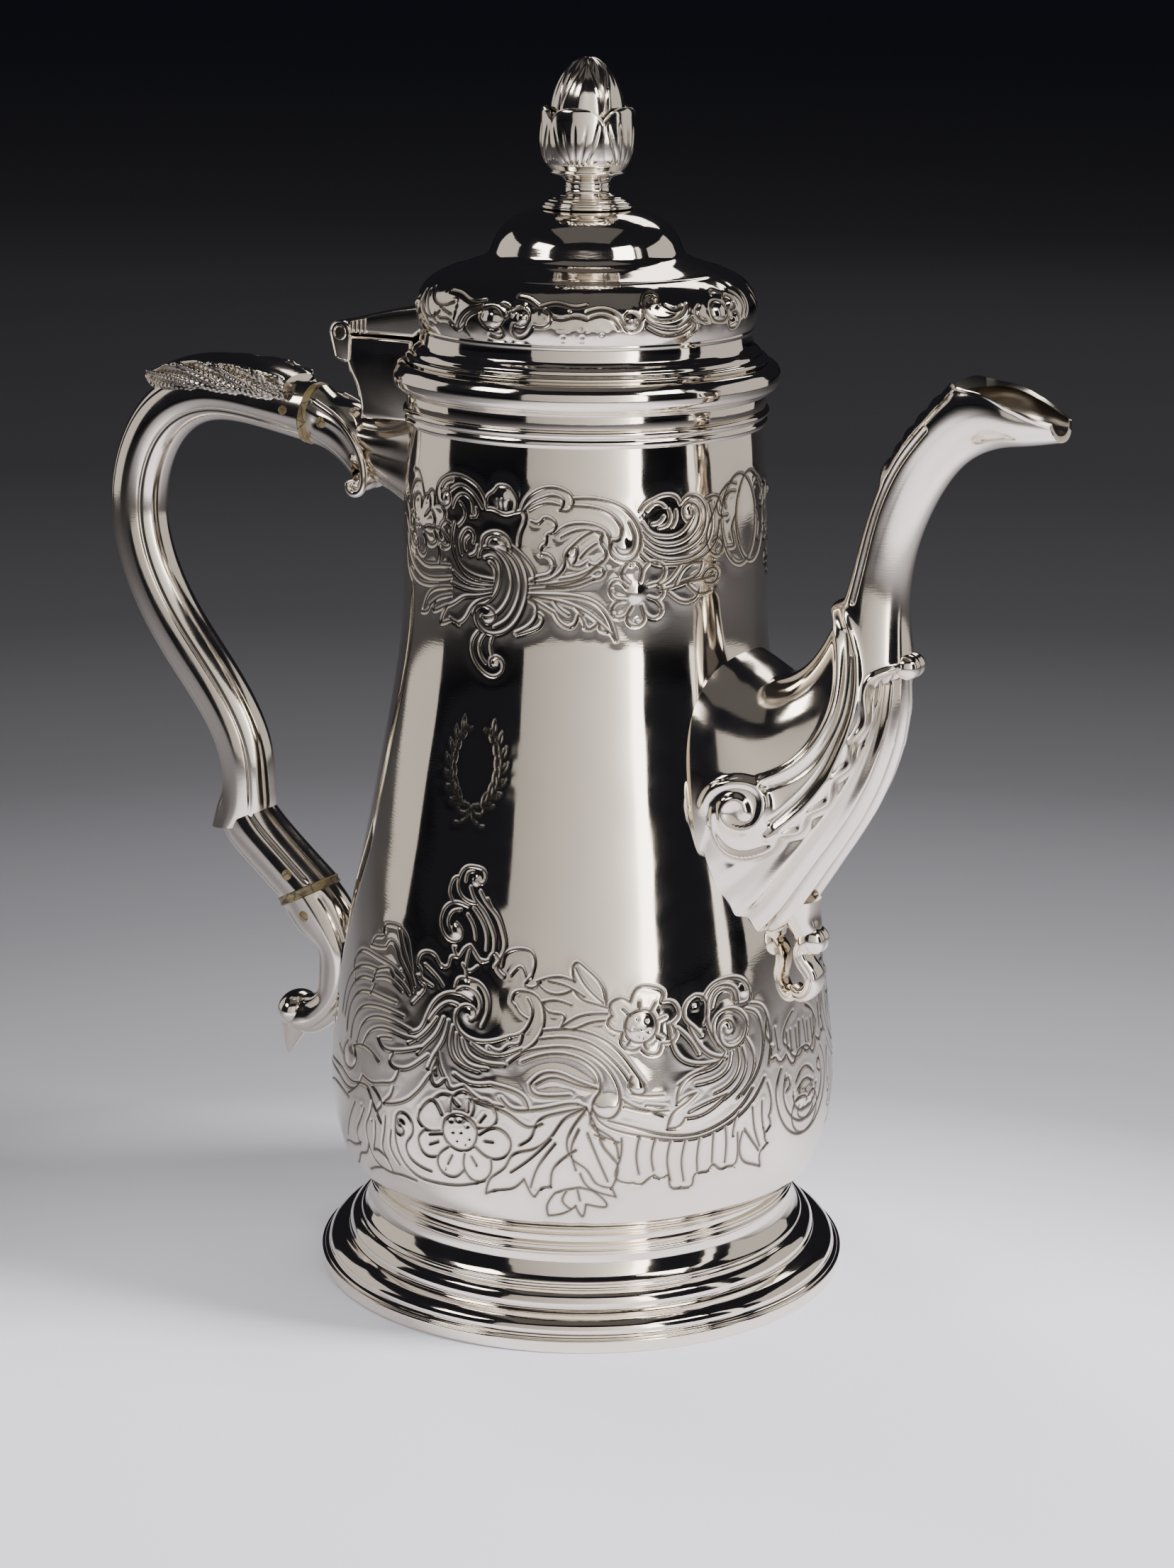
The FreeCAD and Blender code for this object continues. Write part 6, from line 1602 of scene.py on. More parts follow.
@dataclass
class SwanSpout:
    """Swan-neck spout: shell and volute at its root, fluted below, with an open lip."""

    shop: Workshop
    stations: tuple[Station, ...] = (
        ((35.0, 145.5), (44.0, 77.0), 22.5), ((41.0, 142.5), (53.0, 85.0), 22.0), ((46.5, 139.6),
         (62.0, 98.0), 19.0),
        ((51.0, 140.2), (71.0, 112.5), 15.0), ((55.5, 143.5), (76.5, 127.0), 11.5), ((59.5, 149.5),
         (77.8, 140.5), 8.8),
        ((63.2, 157.8), (76.4, 154.5), 6.8), ((65.9, 167.4), (77.2, 165.6), 6.1), ((68.6, 177.2),
         (79.6, 173.8), 6.0),
        ((73.6, 188.6), (83.6, 181.8), 6.3), ((80.4, 197.6), (88.9, 188.0), 7.2), ((88.4, 205.0),
         (95.6, 191.2), 8.4),
        ((98.0, 206.6), (102.2, 192.3), 8.8), ((106.8, 203.5), (109.0, 193.5), 5.6),
    )
    volute: Outline = (
        (50.8, 114.4), (50.2, 116.3), (48.8, 117.1), (47.1, 116.5), (46.0, 114.8), (46.3, 112.8),
        (48.1, 111.3),
        (50.4, 110.9), (52.7, 112.1), (54.0, 114.8), (53.7, 118.2), (52.3, 119.8), (48.5, 120.6),
        (45.4, 119.8),
        (43.0, 118.0), (41.6, 115.0),
    )
    scallops: Outline = (
        (44.2, 114.4), (44.1, 110.5), (45.0, 107.8), (46.5, 105.9), (49.2, 104.8), (53.1, 105.5),
        (55.8, 107.4),
        (56.9, 109.6), (60.4, 110.6), (61.7, 114.0), (65.4, 116.6), (66.2, 119.8), (66.9, 122.2),
        (69.4, 124.7),
        (69.6, 127.1), (70.0, 130.1), (71.9, 133.2), (71.9, 136.3), (71.5, 139.8), (72.3, 142.6),
        (75.0, 144.2),
        (79.0, 145.4),
    )
    ridges: tuple[Outline, ...] = (
        ((53.1, 121.1), (56.9, 122.9), (60.8, 126.2), (63.2, 129.9), (65.0, 134.4), (65.8, 139.4),
         (65.5, 144.5),
         (64.3, 150.0), (62.0, 155.5)),
        ((54.9, 109.2), (58.5, 112.6), (62.9, 117.6), (66.0, 123.0), (67.9, 128.2), (69.4, 134.0),
         (69.9, 139.5),
         (69.3, 145.5), (67.6, 151.0), (65.0, 156.0)),
    )
    grooves: tuple[Outline, ...] = (
        ((53.9, 119.6), (58.1, 121.2), (62.3, 124.8), (64.9, 129.2), (66.7, 134.4), (67.3, 139.4),
         (67.0, 145.5),
         (65.9, 151.5)),
        ((55.6, 112.3), (59.0, 115.6), (62.6, 120.2), (65.2, 125.0), (66.8, 129.8), (68.2, 135.0),
         (68.6, 140.5),
         (68.2, 147.0)),
        ((66.9, 158.0), (68.9, 167.0), (71.2, 176.4), (75.8, 186.6), (82.0, 194.6)),
    )
    mouth_from: float = 10.55
    mouth_deg: tuple[float, ...] = (0.0, 44.0, 80.0, 100.0)
    wall: float = 1.3
    rows: int = 620
    cols: int = 360

    def build(self) -> None:
        """Builds the spout and the drop below it."""
        tube = CastTube(self.stations, self.rows, self.cols, 2.3, by_index=True)
        table = tube.sections()
        place = np.linspace(0, len(self.stations) - 1, self.rows)
        last = len(self.stations) - 1
        mouth_places = (self.mouth_from, last - 2.0, last - 1.0, last)
        opening = np.interp(place, mouth_places, np.radians(self.mouth_deg))
        share = np.linspace(0, 1, self.cols)[None, :]
        angle = opening[:, None] + (2 * math.pi - 2 * opening[:, None]) * share
        keel_rise = 0.30 * ease((place - 4.5) / 2.5)[:, None]
        keel = 1 + keel_rise * ease((last - 0.8 - place) / 2.0)[:, None] * np.cos(angle)
        skin = self.open_skin(tube, table, angle)
        skin[..., 1] *= keel
        relief, tarnish_and_shade = self.relief(skin, angle, place)
        outer = skin + grid_normals(skin, wrap_cols=False) * relief[..., None]
        lip = ease((place - (last - 2.6)) / 2.0)[:, None]
        inner = self.open_skin(tube, table, angle, self.wall)
        inner[..., 1] *= keel
        inner = inner + grid_normals(inner, wrap_cols=False) * (np.minimum(relief, 0) * (1 - lip))[..., None]
        from_edge = np.minimum(share, 1 - share) * self.cols
        rim_roll = np.exp(-((from_edge / 7.0) ** 2)) * lip * (opening > 0.2)[:, None]
        outer[..., 1] *= 1 + 0.05 * rim_roll
        draft = MeshDraft()
        first = draft.add(outer, tarnish_and_shade)
        # The inside wall is painted evenly darker: painted shade inside the bore.
        second = draft.add(inner, 0.35 * np.ones(tarnish_and_shade.shape))
        draft.quads.append(grid_quads(self.rows, self.cols, wrap_cols=False, first=first))
        draft.quads.append(grid_quads(self.rows, self.cols, wrap_cols=False, first=second)[:, ::-1])
        open_rows = np.flatnonzero(opening > 0)
        for side in (0, self.cols - 1):
            low = open_rows[:-1] * self.cols + side
            high = open_rows[1:] * self.cols + side
            strip = np.stack([low + first, high + first, high + second, low + second], -1)
            draft.quads.append(strip if side else strip[:, ::-1])
        for row, flip in ((0, True), (self.rows - 1, False)):
            ends = np.arange(self.cols - 1) + row * self.cols
            strip = np.stack([ends + first, ends + 1 + first, ends + 1 + second, ends + second], -1)
            draft.quads.append(strip[:, ::-1] if flip else strip)
        add_roll(draft, (77.3, 144.5), 2.75, 3.9)
        obj = draft.build("spout_casting", 75.0)
        self.weld(obj)
        self.shop.hand_over(obj, Slot.CAST, Body.POT, "spout_right_half", "spout_left_half")
        self.build_drop()

    def open_skin(
        self, tube: CastTube, table: np.ndarray, angle: np.ndarray, shrink: float = 0.0
    ) -> np.ndarray:
        """Skin whose angles differ from row to row."""
        return np.stack([tube.skin(table[i : i + 1], angle[i], shrink)[0] for i in range(self.rows)])

    def weld(self, obj: bpy.types.Object) -> None:
        """Joins the points that meet along the back seam.

        Args:
            obj: The spout.
        """
        mesh = bmesh.new()
        mesh.from_mesh(obj.data)
        bmesh.ops.remove_doubles(mesh, verts=mesh.verts, dist=2e-6)
        mesh.to_mesh(obj.data)
        mesh.free()

    def relief(self, skin: np.ndarray, angle: np.ndarray, place: np.ndarray) -> tuple[np.ndarray, np.ndarray]:
        """Cast ornament of the root and the back.

        Args:
            skin: Plain skin.
            angle: Angle of each point round its section.
            place: Station number of each row.

        Returns:
            Height and tarnish of each point.
        """
        x, z = skin[..., 0], skin[..., 2]
        side = np.clip(np.abs(np.sin(angle)) * 1.35, 0, 1) ** 0.8
        edge = np.vstack([smooth_line(self.scallops, 160), [(92.0, 148.0), (92.0, 60.0), (36.0, 60.0),
                                                            (36.0, 104.0), (41.0, 104.5)]])
        below = inside_outline(x, z, edge)
        edge_gap = line_gap(x, z, self.scallops, 130)
        height = np.where(below, -0.9 * ease(edge_gap / 0.9), 0.0)
        height += 0.75 * np.exp(-((edge_gap / 0.75) ** 2)) * side
        flute_zone = below * ease((edge_gap - 0.6) / 2.2) * ease((z - 82.0) / 7.0)
        flutes = np.abs(np.cos(angle * 9.0 + 0.02 * (z - 100.0))) ** 1.2
        height -= 1.45 * flutes * flute_zone * ease((x - 43.0) / 6.0)
        spiral = line_gap(x, z, self.volute, 120)
        height += side * 0.95 * np.exp(-((spiral / 1.0) ** 2))
        height += side * 1.3 * np.exp(-((((x - 49.6) ** 2 + (z - 114.4) ** 2) / 6.2**2) ** 2))
        for ridge in self.ridges:
            height += side * 0.95 * np.exp(-((line_gap(x, z, ridge) / 0.85) ** 2)) * ease((158.5 - z) / 7.0)
        tarnish_and_shade = 0.5 * np.exp(-(((edge_gap - 0.9) / 0.7) ** 2)) * below
        tarnish_and_shade += 0.3 * np.exp(-(((1 - flutes) / 0.2) ** 2)) * flute_zone
        for groove in self.grooves:
            gap = line_gap(x, z, groove)
            height -= side * 0.6 * np.exp(-((gap / 0.6) ** 2))
            tarnish_and_shade += 0.5 * np.exp(-((gap / 0.4) ** 2))
        back = np.cos(angle) > 0
        stem = np.exp(-((np.sin(angle) * 6.0 / 1.9) ** 2)) * back
        along = ease((z - 182.0) / 3.0) * ease((207.5 - z) / 2.0) * (x > 60)
        notches = 0.25 * np.cos((z - 183.0) * 1.9 + 5.0 * np.abs(np.sin(angle)))
        height += stem * along * (1.0 + notches)
        knobs = ((61.6, 155.6, 2.0, 2.1), (70.2, 184.6, 1.9, 1.2), (88.0, 204.6, 2.6, 1.5))
        for cx, cz, radius, rise in knobs:
            height += rise * np.exp(-((((x - cx) ** 2 + (z - cz) ** 2) / radius**2) ** 1.2)) * back
        lip = ease((place - 10.2) / 1.2)[:, None]
        height *= 1 - lip * (z < 203.0)
        return height, np.clip(tarnish_and_shade, 0, 1)

    def build_drop(self) -> None:
        """Builds the scrolled drop: a rolled knob and an S that ends in a curl."""
        path = (
            (55.4, 82.4), (54.2, 79.6), (55.2, 76.8), (57.0, 74.4), (56.8, 71.6), (54.8, 69.8), (52.6, 70.4),
        )
        tube = CastTube(path_sections(path, (1.6, 1.7, 1.8, 1.8, 1.7, 1.6, 1.4), 2.9), 160, 96, 2.6)
        draft = MeshDraft()
        level = np.cos(tube.angles())[None, :]
        rib = -0.3 * np.exp(-((level / 0.22) ** 2)) * np.ones((tube.rows, 1))
        tube.closed(draft, rib)
        neck = CastTube((((47.6, 91.0), (57.6, 91.0), 5.0), ((49.4, 87.6), (57.8, 87.2), 4.2),
                         ((51.2, 84.8), (58.2, 83.6), 3.3), ((52.4, 82.8), (57.4, 81.4), 2.6)), 60, 96, 2.4)
        neck.closed(draft)
        add_roll(draft, (56.6, 82.2), 3.3, 3.5)
        self.shop.hand_over(draft.build("spout_scrolled_drop", SHARP_DEG), Slot.CAST, Body.POT, "spout_drop")


# ---------------------------------------------------------------- handle
@dataclass
class ScrollHandle:
    """Double scroll handle with a leaf on top, two ivory heat breaks and their pins."""

    shop: Workshop
    upper_joint: Point = (-69.5, 184.8)
    upper_way: Point = (-0.985, 0.174)
    lower_joint: Point = (-73.4, 73.2)
    lower_way: Point = (-0.46, 0.888)
    half_width: float = 6.25
    upper_depth: float = 6.7
    lower_depth: float = 7.6
    break_thickness: float = 2.2
    tenon: float = 8.0
    path: Outline = (
        (-83.0, 186.6), (-97.5, 187.2), (-110.5, 181.5), (-117.8, 170.0), (-119.4, 156.5), (-115.6, 142.8),
        (-107.6, 129.8), (-97.4, 117.0), (-91.0, 105.0), (-90.0, 95.0),
    )
    depths: tuple[float, ...] = (6.2, 6.2, 6.55, 6.7, 6.75, 6.7, 6.8, 6.75, 6.6, 6.6)
    tail: tuple[Station, ...] = (
        ((-85.6, 94.6), (-97.4, 86.6), 5.6), ((-83.0, 91.4), (-95.4, 83.2), 6.0), ((-78.4, 87.0),
         (-90.6, 78.6), 6.1),
    )

    def build(self) -> None:
        """Builds every piece of the handle."""
        self.build_scroll()
        self.build_tail()
        self.build_leaf()
        for name, joint, way, depth in (
            ("upper_ivory_ring", self.upper_joint, self.upper_way, self.upper_depth),
            ("lower_ivory_ring", self.lower_joint, self.lower_way, self.lower_depth),
        ):
            self.build_ring(name, joint, way, depth)
        for name, joint, way, side in (
            ("upper_handle_pin", self.upper_joint, self.upper_way, 1),
            ("upper_socket_pin", self.upper_joint, self.upper_way, -1),
            ("lower_handle_pin", self.lower_joint, self.lower_way, 1),
            ("lower_socket_pin", self.lower_joint, self.lower_way, -1),
        ):
            self.build_pin(name, joint, way, side)

    def mouldings(self, tube: CastTube) -> tuple[np.ndarray, np.ndarray]:
        """Height and tarnish of the long grooves on a scroll's sides.

        Args:
            tube: The scroll.

        Returns:
            Height and tarnish of each point.
        """
        angle = tube.angles()
        level = np.cos(angle)
        side = np.abs(np.sin(angle))
        height = np.zeros((tube.rows, tube.cols))
        tarnish_and_shade = np.zeros(height.shape)
        for centre, width, rise in ((0.46, 0.06, -0.45), (-0.55, 0.035, -0.3)):
            shape = np.exp(-(((level - centre) / width) ** 2)) * (side > 0.2)
            height += rise * shape[None, :]
            tarnish_and_shade += 0.3 * shape[None, :]
        taper = ease(np.linspace(0, 12, tube.rows))[:, None] * ease(np.linspace(12, 0, tube.rows))[:, None]
        return height * taper, tarnish_and_shade * taper

    def build_scroll(self) -> None:
        """Builds the upper scroll down to its pointed spur."""
        half = self.break_thickness / 2
        start = across(self.upper_joint, self.upper_way, half, self.upper_depth, self.half_width)
        stations = (start,) + path_sections(self.path, self.depths, self.half_width)
        stations += (((-83.6, 90.6), (-97.9, 91.2), 6.2), ((-86.4, 87.4), (-99.6, 85.6), 6.0))
        tube = CastTube(stations, 420, 176, 2.7, roof=0.32, ridge_level=0.05)
        relief, tarnish_and_shade = self.mouldings(tube)
        draft = MeshDraft()
        tube.closed(draft, relief, tarnish_and_shade)
        casting = draft.build("handle_upper_scroll", SCROLL_SHARP_DEG)
        self.shop.hand_over(casting, Slot.CAST, Body.POT, "handle_scroll")

    def build_tail(self) -> None:
        """Builds the lower section that steps out of the spur."""
        half = self.break_thickness / 2
        end = across(self.lower_joint, self.lower_way, half, self.lower_depth, self.half_width)
        stations = self.tail + ((end[1], end[0], end[2]),)
        stations = tuple(((b, f, w) if b[0] > f[0] else (f, b, w)) for b, f, w in stations)
        tube = CastTube(stations, 90, 176, 2.7, roof=0.3, ridge_level=0.05)
        relief, tarnish_and_shade = self.mouldings(tube)
        draft = MeshDraft()
        tube.closed(draft, relief, tarnish_and_shade)
        casting = draft.build("handle_lower_tail", SCROLL_SHARP_DEG)
        self.shop.hand_over(casting, Slot.CAST, Body.POT, "handle_tail")

    def build_leaf(self) -> None:
        """Builds the leaf on the handle's top, with slanting beaded ribs."""
        stations = (
            ((-73.6, 186.4), (-74.0, 193.2), 6.7), ((-80.0, 186.6), (-80.0, 195.2), 7.9),
            ((-88.0, 187.0), (-88.4, 196.2), 8.3), ((-96.5, 187.0), (-97.0, 196.3), 7.9),
            ((-104.0, 186.4), (-104.0, 195.2), 6.7), ((-110.6, 186.0), (-110.2, 193.0), 4.4),
            ((-115.6, 188.4), (-115.9, 190.6), 1.5),
        )
        tube = CastTube(stations, 320, 200, 2.2)
        angle = tube.angles()[None, :]
        run = np.linspace(0, 1, tube.rows)[:, None]
        spread = np.abs(((angle - math.pi + math.pi) % (2 * math.pi)) - math.pi) / math.pi
        phase = 4.0 * (run + 1.0 * (spread - 0.28) / 0.72) + 0.35
        rib = np.abs(np.sin(math.pi * phase))
        grain = 0.7 + 0.5 * np.cos(2 * math.pi * 22 * (run - 0.55 * spread))
        lines = 0.2 * np.cos(2 * math.pi * 3 * phase) * grain
        top = ease((spread - 0.26) / 0.08)
        midrib = 0.5 * np.exp(-(((1 - spread) / 0.05) ** 2))
        height = top * (0.8 * (rib**0.6) - 0.8 + lines) + midrib
        scallop = 1.5 * (rib**0.6) * np.exp(-(((spread - 0.33) / 0.07) ** 2))
        fade = ease(run / 0.04) * ease((1 - run) / 0.06)
        tarnish_and_shade = top * (0.5 * np.exp(-((rib / 0.3) ** 2)) + 0.2 - 1.2 * lines)
        tarnish_and_shade = np.clip(tarnish_and_shade, 0, 1)
        draft = MeshDraft()
        tube.closed(draft, (height + scallop) * fade, tarnish_and_shade * fade)
        casting = draft.build("handle_leaf_thumbpiece", SHARP_DEG)
        self.shop.hand_over(casting, Slot.CAST, Body.POT, "handle_leaf")

    def build_ring(self, name: str, joint: Point, way: Point, depth: float) -> None:
        """Builds one ivory ring, with softened edges.

        Args:
            name: Its name.
            joint: Its centre (x, z).
            way: The way its axis points.
            depth: Half its height across the handle.
        """
        half = self.break_thickness / 2
        edge = ((-1.0, -0.35), (-0.86, 0.0), (-0.4, 0.1), (0.4, 0.1), (0.86, 0.0), (1.0, -0.35))
        stations = tuple(
            across(joint, way, half * place, depth + swell, self.half_width + swell) for place, swell in edge
        )
        draft = MeshDraft()
        CastTube(stations, 24, 176, 2.7, roof=0.2, ridge_level=0.0).closed(draft)
        node = "upper_insulator" if joint == self.upper_joint else "lower_insulator"
        self.shop.hand_over(draft.build(name, SHARP_DEG), Slot.IVORY, Body.POT, node)

    def build_pin(self, node: str, joint: Point, way: Point, side: int) -> None:
        """Builds one cross pin with a low domed head at each end.

        Args:
            node: CAD node it stands for.
            joint: Centre of the ring beside it (x, z).
            way: The way the ring's axis points.
            side: Side of the ring it stands on, -1 or 1.
        """
        reach = side * (self.break_thickness / 2 + self.tenon / 2)
        x, z = joint[0] + way[0] * reach, joint[1] + way[1] * reach
        length = self.half_width + 0.1
        profile = np.array([(0.02, length), (0.7, length - 0.06), (1.1, length - 0.2), (1.28, length - 0.45),
                            (1.3, length - 0.8)])
        draft = MeshDraft()
        cols = 48
        ring = np.linspace(0, 2 * math.pi, cols, endpoint=False)
        shape = np.vstack([profile * (1, -1), profile[::-1]])
        size, side_way = shape[:, 0:1], shape[:, 1:2]
        grid = np.stack([x + size * np.sin(ring), side_way + 0 * ring, z + size * np.cos(ring)], -1)
        first = draft.grid(grid)
        draft.cap(first, cols, (x, -length, z), upwards=False)
        draft.cap(first + (len(shape) - 1) * cols, cols, (x, length, z), upwards=True)
        self.shop.hand_over(draft.build(node + "_head", SHARP_DEG), Slot.IVORY, Body.POT, node)


# ---------------------------------------------------------------- sockets
@dataclass
class Sockets:
    """Cast sockets that carry the handle: a scrolled one above, a curled one with leaf tip below."""

    shop: Workshop
    upper_joint: Point = (-69.5, 184.8)
    upper_way: Point = (-0.985, 0.174)
    lower_joint: Point = (-73.4, 73.2)
    lower_way: Point = (-0.46, 0.888)
    upper_ridge: Outline = (
        (-67.6, 188.9), (-64.6, 187.6), (-60.0, 185.2), (-55.8, 181.3), (-53.0, 176.4), (-52.5, 172.0),
        (-53.6, 169.4), (-55.8, 169.2), (-56.4, 171.0), (-55.0, 172.0),
    )
    upper_hollow: Outline = ((-66.0, 183.6), (-62.4, 182.6), (-59.0, 180.4), (-56.6, 177.6))
    lower_line: Outline = ((-67.6, 180.6), (-63.0, 178.4), (-59.2, 176.0), (-56.4, 173.6))
    curl: tuple[Station, ...] = (
        ((-58.6, 60.4), (-70.4, 60.2), 5.9), ((-58.2, 55.0), (-70.2, 54.4), 5.6), ((-60.4, 49.8),
         (-70.6, 50.2), 5.2),
        ((-64.2, 44.6), (-71.8, 48.6), 5.0), ((-68.8, 40.4), (-73.2, 48.0), 4.9), ((-73.4, 38.4),
         (-75.0, 47.4), 4.8),
        ((-77.6, 39.4), (-75.6, 46.2), 4.4), ((-80.0, 42.6), (-76.4, 44.2), 3.2),
    )

    def build(self) -> None:
        """Builds both sockets."""
        self.build_upper()
        self.build_lower()

    def build_upper(self) -> None:
        """Builds the upper socket."""
        start = across(self.upper_joint, self.upper_way, -1.1, 6.7, 6.25)
        start = (start[1], start[0], start[2]) if start[0][1] < start[1][1] else start
        stations = (
            start, ((-64.4, 189.2), (-66.4, 177.2), 6.3), ((-59.6, 188.2), (-62.4, 175.0), 6.5),
            ((-55.6, 186.2), (-59.6, 172.6), 6.7), ((-53.4, 183.0), (-57.8, 170.6), 6.7),
        )
        tube = CastTube(stations, 180, 176, 2.5, roof=0.26)
        skin = tube.skin(tube.sections(), tube.angles())
        x, z = skin[..., 0], skin[..., 2]
        side = np.clip(np.abs(np.sin(tube.angles()))[None, :] * 1.4, 0, 1)
        gap = line_gap(x, z, self.upper_ridge, 90)
        height = -0.45 * side * np.exp(-((line_gap(x, z, self.upper_hollow) / 1.2) ** 2))
        height += 0.3 * side * np.exp(-((line_gap(x, z, self.lower_line) / 0.6) ** 2))
        tarnish_and_shade = 0.5 * np.exp(-(((gap - 0.9) / 0.4) ** 2)) * side
        fade = ease(np.linspace(0, 20, tube.rows))[:, None]
        draft = MeshDraft()
        tube.closed(draft, height * fade, np.clip(tarnish_and_shade * fade, 0, 1))
        ridge = smooth_line(self.upper_ridge, 120)
        reach = np.interp(np.arange(len(ridge)), (0, 12, 60, len(ridge) - 1), (5.3, 6.0, 6.7, 7.0))
        for way in (-1, 1):
            self.wire(draft, np.stack([ridge[:, 0], way * reach, ridge[:, 1]], -1), 0.85)
        add_roll(draft, (-55.2, 171.2), 2.3, 6.9)
        neck = (
            ((-57.0, 185.0), (-58.6, 173.6), 5.0), ((-50.0, 184.6), (-51.6, 171.6), 5.6),
            ((-44.0, 186.4), (-45.0, 168.2), 6.6), ((-38.2, 189.0), (-38.2, 164.6), 8.2),
        )
        web = CastTube(neck, 120, 160, 2.2)
        flutes = 0.75 * np.abs(np.sin(web.angles() * 4.0))[None, :] * np.ones((web.rows, 1))
        web.closed(draft, flutes, np.clip(0.55 - 0.5 * flutes, 0, 1))
        casting = draft.build("upper_socket_scroll", SHARP_DEG)
        self.shop.hand_over(casting, Slot.CAST, Body.POT, "upper_socket")

    def wire(self, draft: MeshDraft, path: np.ndarray, radius: float) -> None:
        """Adds a round wire that stays at right angles to Y.

        Args:
            draft: Mesh it is added to.
            path: Points (x, y, z).
            radius: Its radius, drawn down at both ends.
        """
        run = np.gradient(path, axis=0)
        run /= np.linalg.norm(run, axis=1, keepdims=True)
        out = np.cross(run, (0.0, 1.0, 0.0))
        out /= np.linalg.norm(out, axis=1, keepdims=True)
        up = np.cross(out, run)
        turn_round = np.linspace(0, 2 * math.pi, 24, endpoint=False)
        ends = np.minimum(np.arange(len(path)), np.arange(len(path))[::-1]) / 6.0
        size = (radius * np.clip(0.25 + 0.75 * ends, 0, 1))[:, None, None]
        beside = out[:, None] * np.cos(turn_round)[:, None]
        above = up[:, None] * np.sin(turn_round)[:, None]
        grid = path[:, None] + size * (beside + above)
        first = draft.grid(grid)
        draft.cap(first, 24, tuple(path[0]), upwards=False)
        draft.cap(first + (len(path) - 1) * 24, 24, tuple(path[-1]), upwards=True)

    def build_lower(self) -> None:
        """Builds the lower socket, its stay to the body and its curled end."""
        ring_half, socket_depth, socket_half_width = 1.1, 7.6, 6.25
        start = across(self.lower_joint, self.lower_way, -ring_half, socket_depth, socket_half_width)
        start = (start[1], start[0], start[2]) if start[0][0] < start[1][0] else start
        neck = ((-61.5, 69.5), (-75.0, 63.0), 6.2)
        tube = CastTube((start, neck) + self.curl, 300, 120, 2.4, roof=0.25)
        ball = (-75.2, 43.2)
        skin = tube.skin(tube.sections(), tube.angles())
        x, z = skin[..., 0], skin[..., 2]
        side = np.abs(np.sin(tube.angles()))[None, :]
        near = np.hypot(x - ball[0], z - ball[1])
        along = np.linspace(0, 1, tube.rows)[:, None]
        level = np.cos(tube.angles())[None, :]
        height = np.zeros((tube.rows, tube.cols))
        groove_level, groove_width, groove_depth = 0.62, 0.07, 0.35
        for groove in (groove_level, -groove_level):
            cut = groove_depth * np.exp(-(((level - groove) / groove_width) ** 2))
            height = height - cut * ease((0.9 - along) / 0.1)
        height = height * ease(along / 0.05) + 0.5 * side * np.exp(-((near / 3.4) ** 4))
        draft = MeshDraft()
        tube.closed(draft, height, 0.3 * np.clip(-2 * height, 0, 1))
        stay = CastTube((((-62.0, 66.5), (-66.0, 47.0), 5.2), ((-57.0, 65.5), (-60.0, 46.0), 5.6),
                         ((-51.6, 65.6), (-54.6, 44.6), 6.2)), 60, 96, 2.3)
        stay.closed(draft)
        tip = CastTube((((-72.6, 42.4), (-80.4, 43.4), 3.6), ((-73.8, 39.6), (-81.2, 41.0), 3.3),
                        ((-76.2, 36.8), (-81.3, 37.6), 2.3), ((-78.4, 33.8), (-80.9, 34.2), 1.1),
                        ((-79.6, 32.2), (-80.3, 32.3), 0.3)), 60, 48, 2.0)
        tip.closed(draft)
        rise = np.linspace(-0.5 * math.pi, 0.5 * math.pi, 30)[1:-1, None]
        turn_round = np.linspace(0, 2 * math.pi, 56, endpoint=False)[None, :]
        boss = np.stack([-77.0 + 4.3 * np.cos(rise) * np.sin(turn_round), 5.9 * np.sin(rise) + 0 * turn_round,
                         43.9 + 4.3 * np.cos(rise) * np.cos(turn_round)], -1)
        first = draft.grid(boss)
        draft.cap(first, 56, (-77.0, -5.9, 43.9), upwards=False)
        draft.cap(first + 27 * 56, 56, (-77.0, 5.9, 43.9), upwards=True)
        self.shop.hand_over(draft.build("lower_socket_curl", SHARP_DEG), Slot.CAST, Body.POT, "lower_socket")


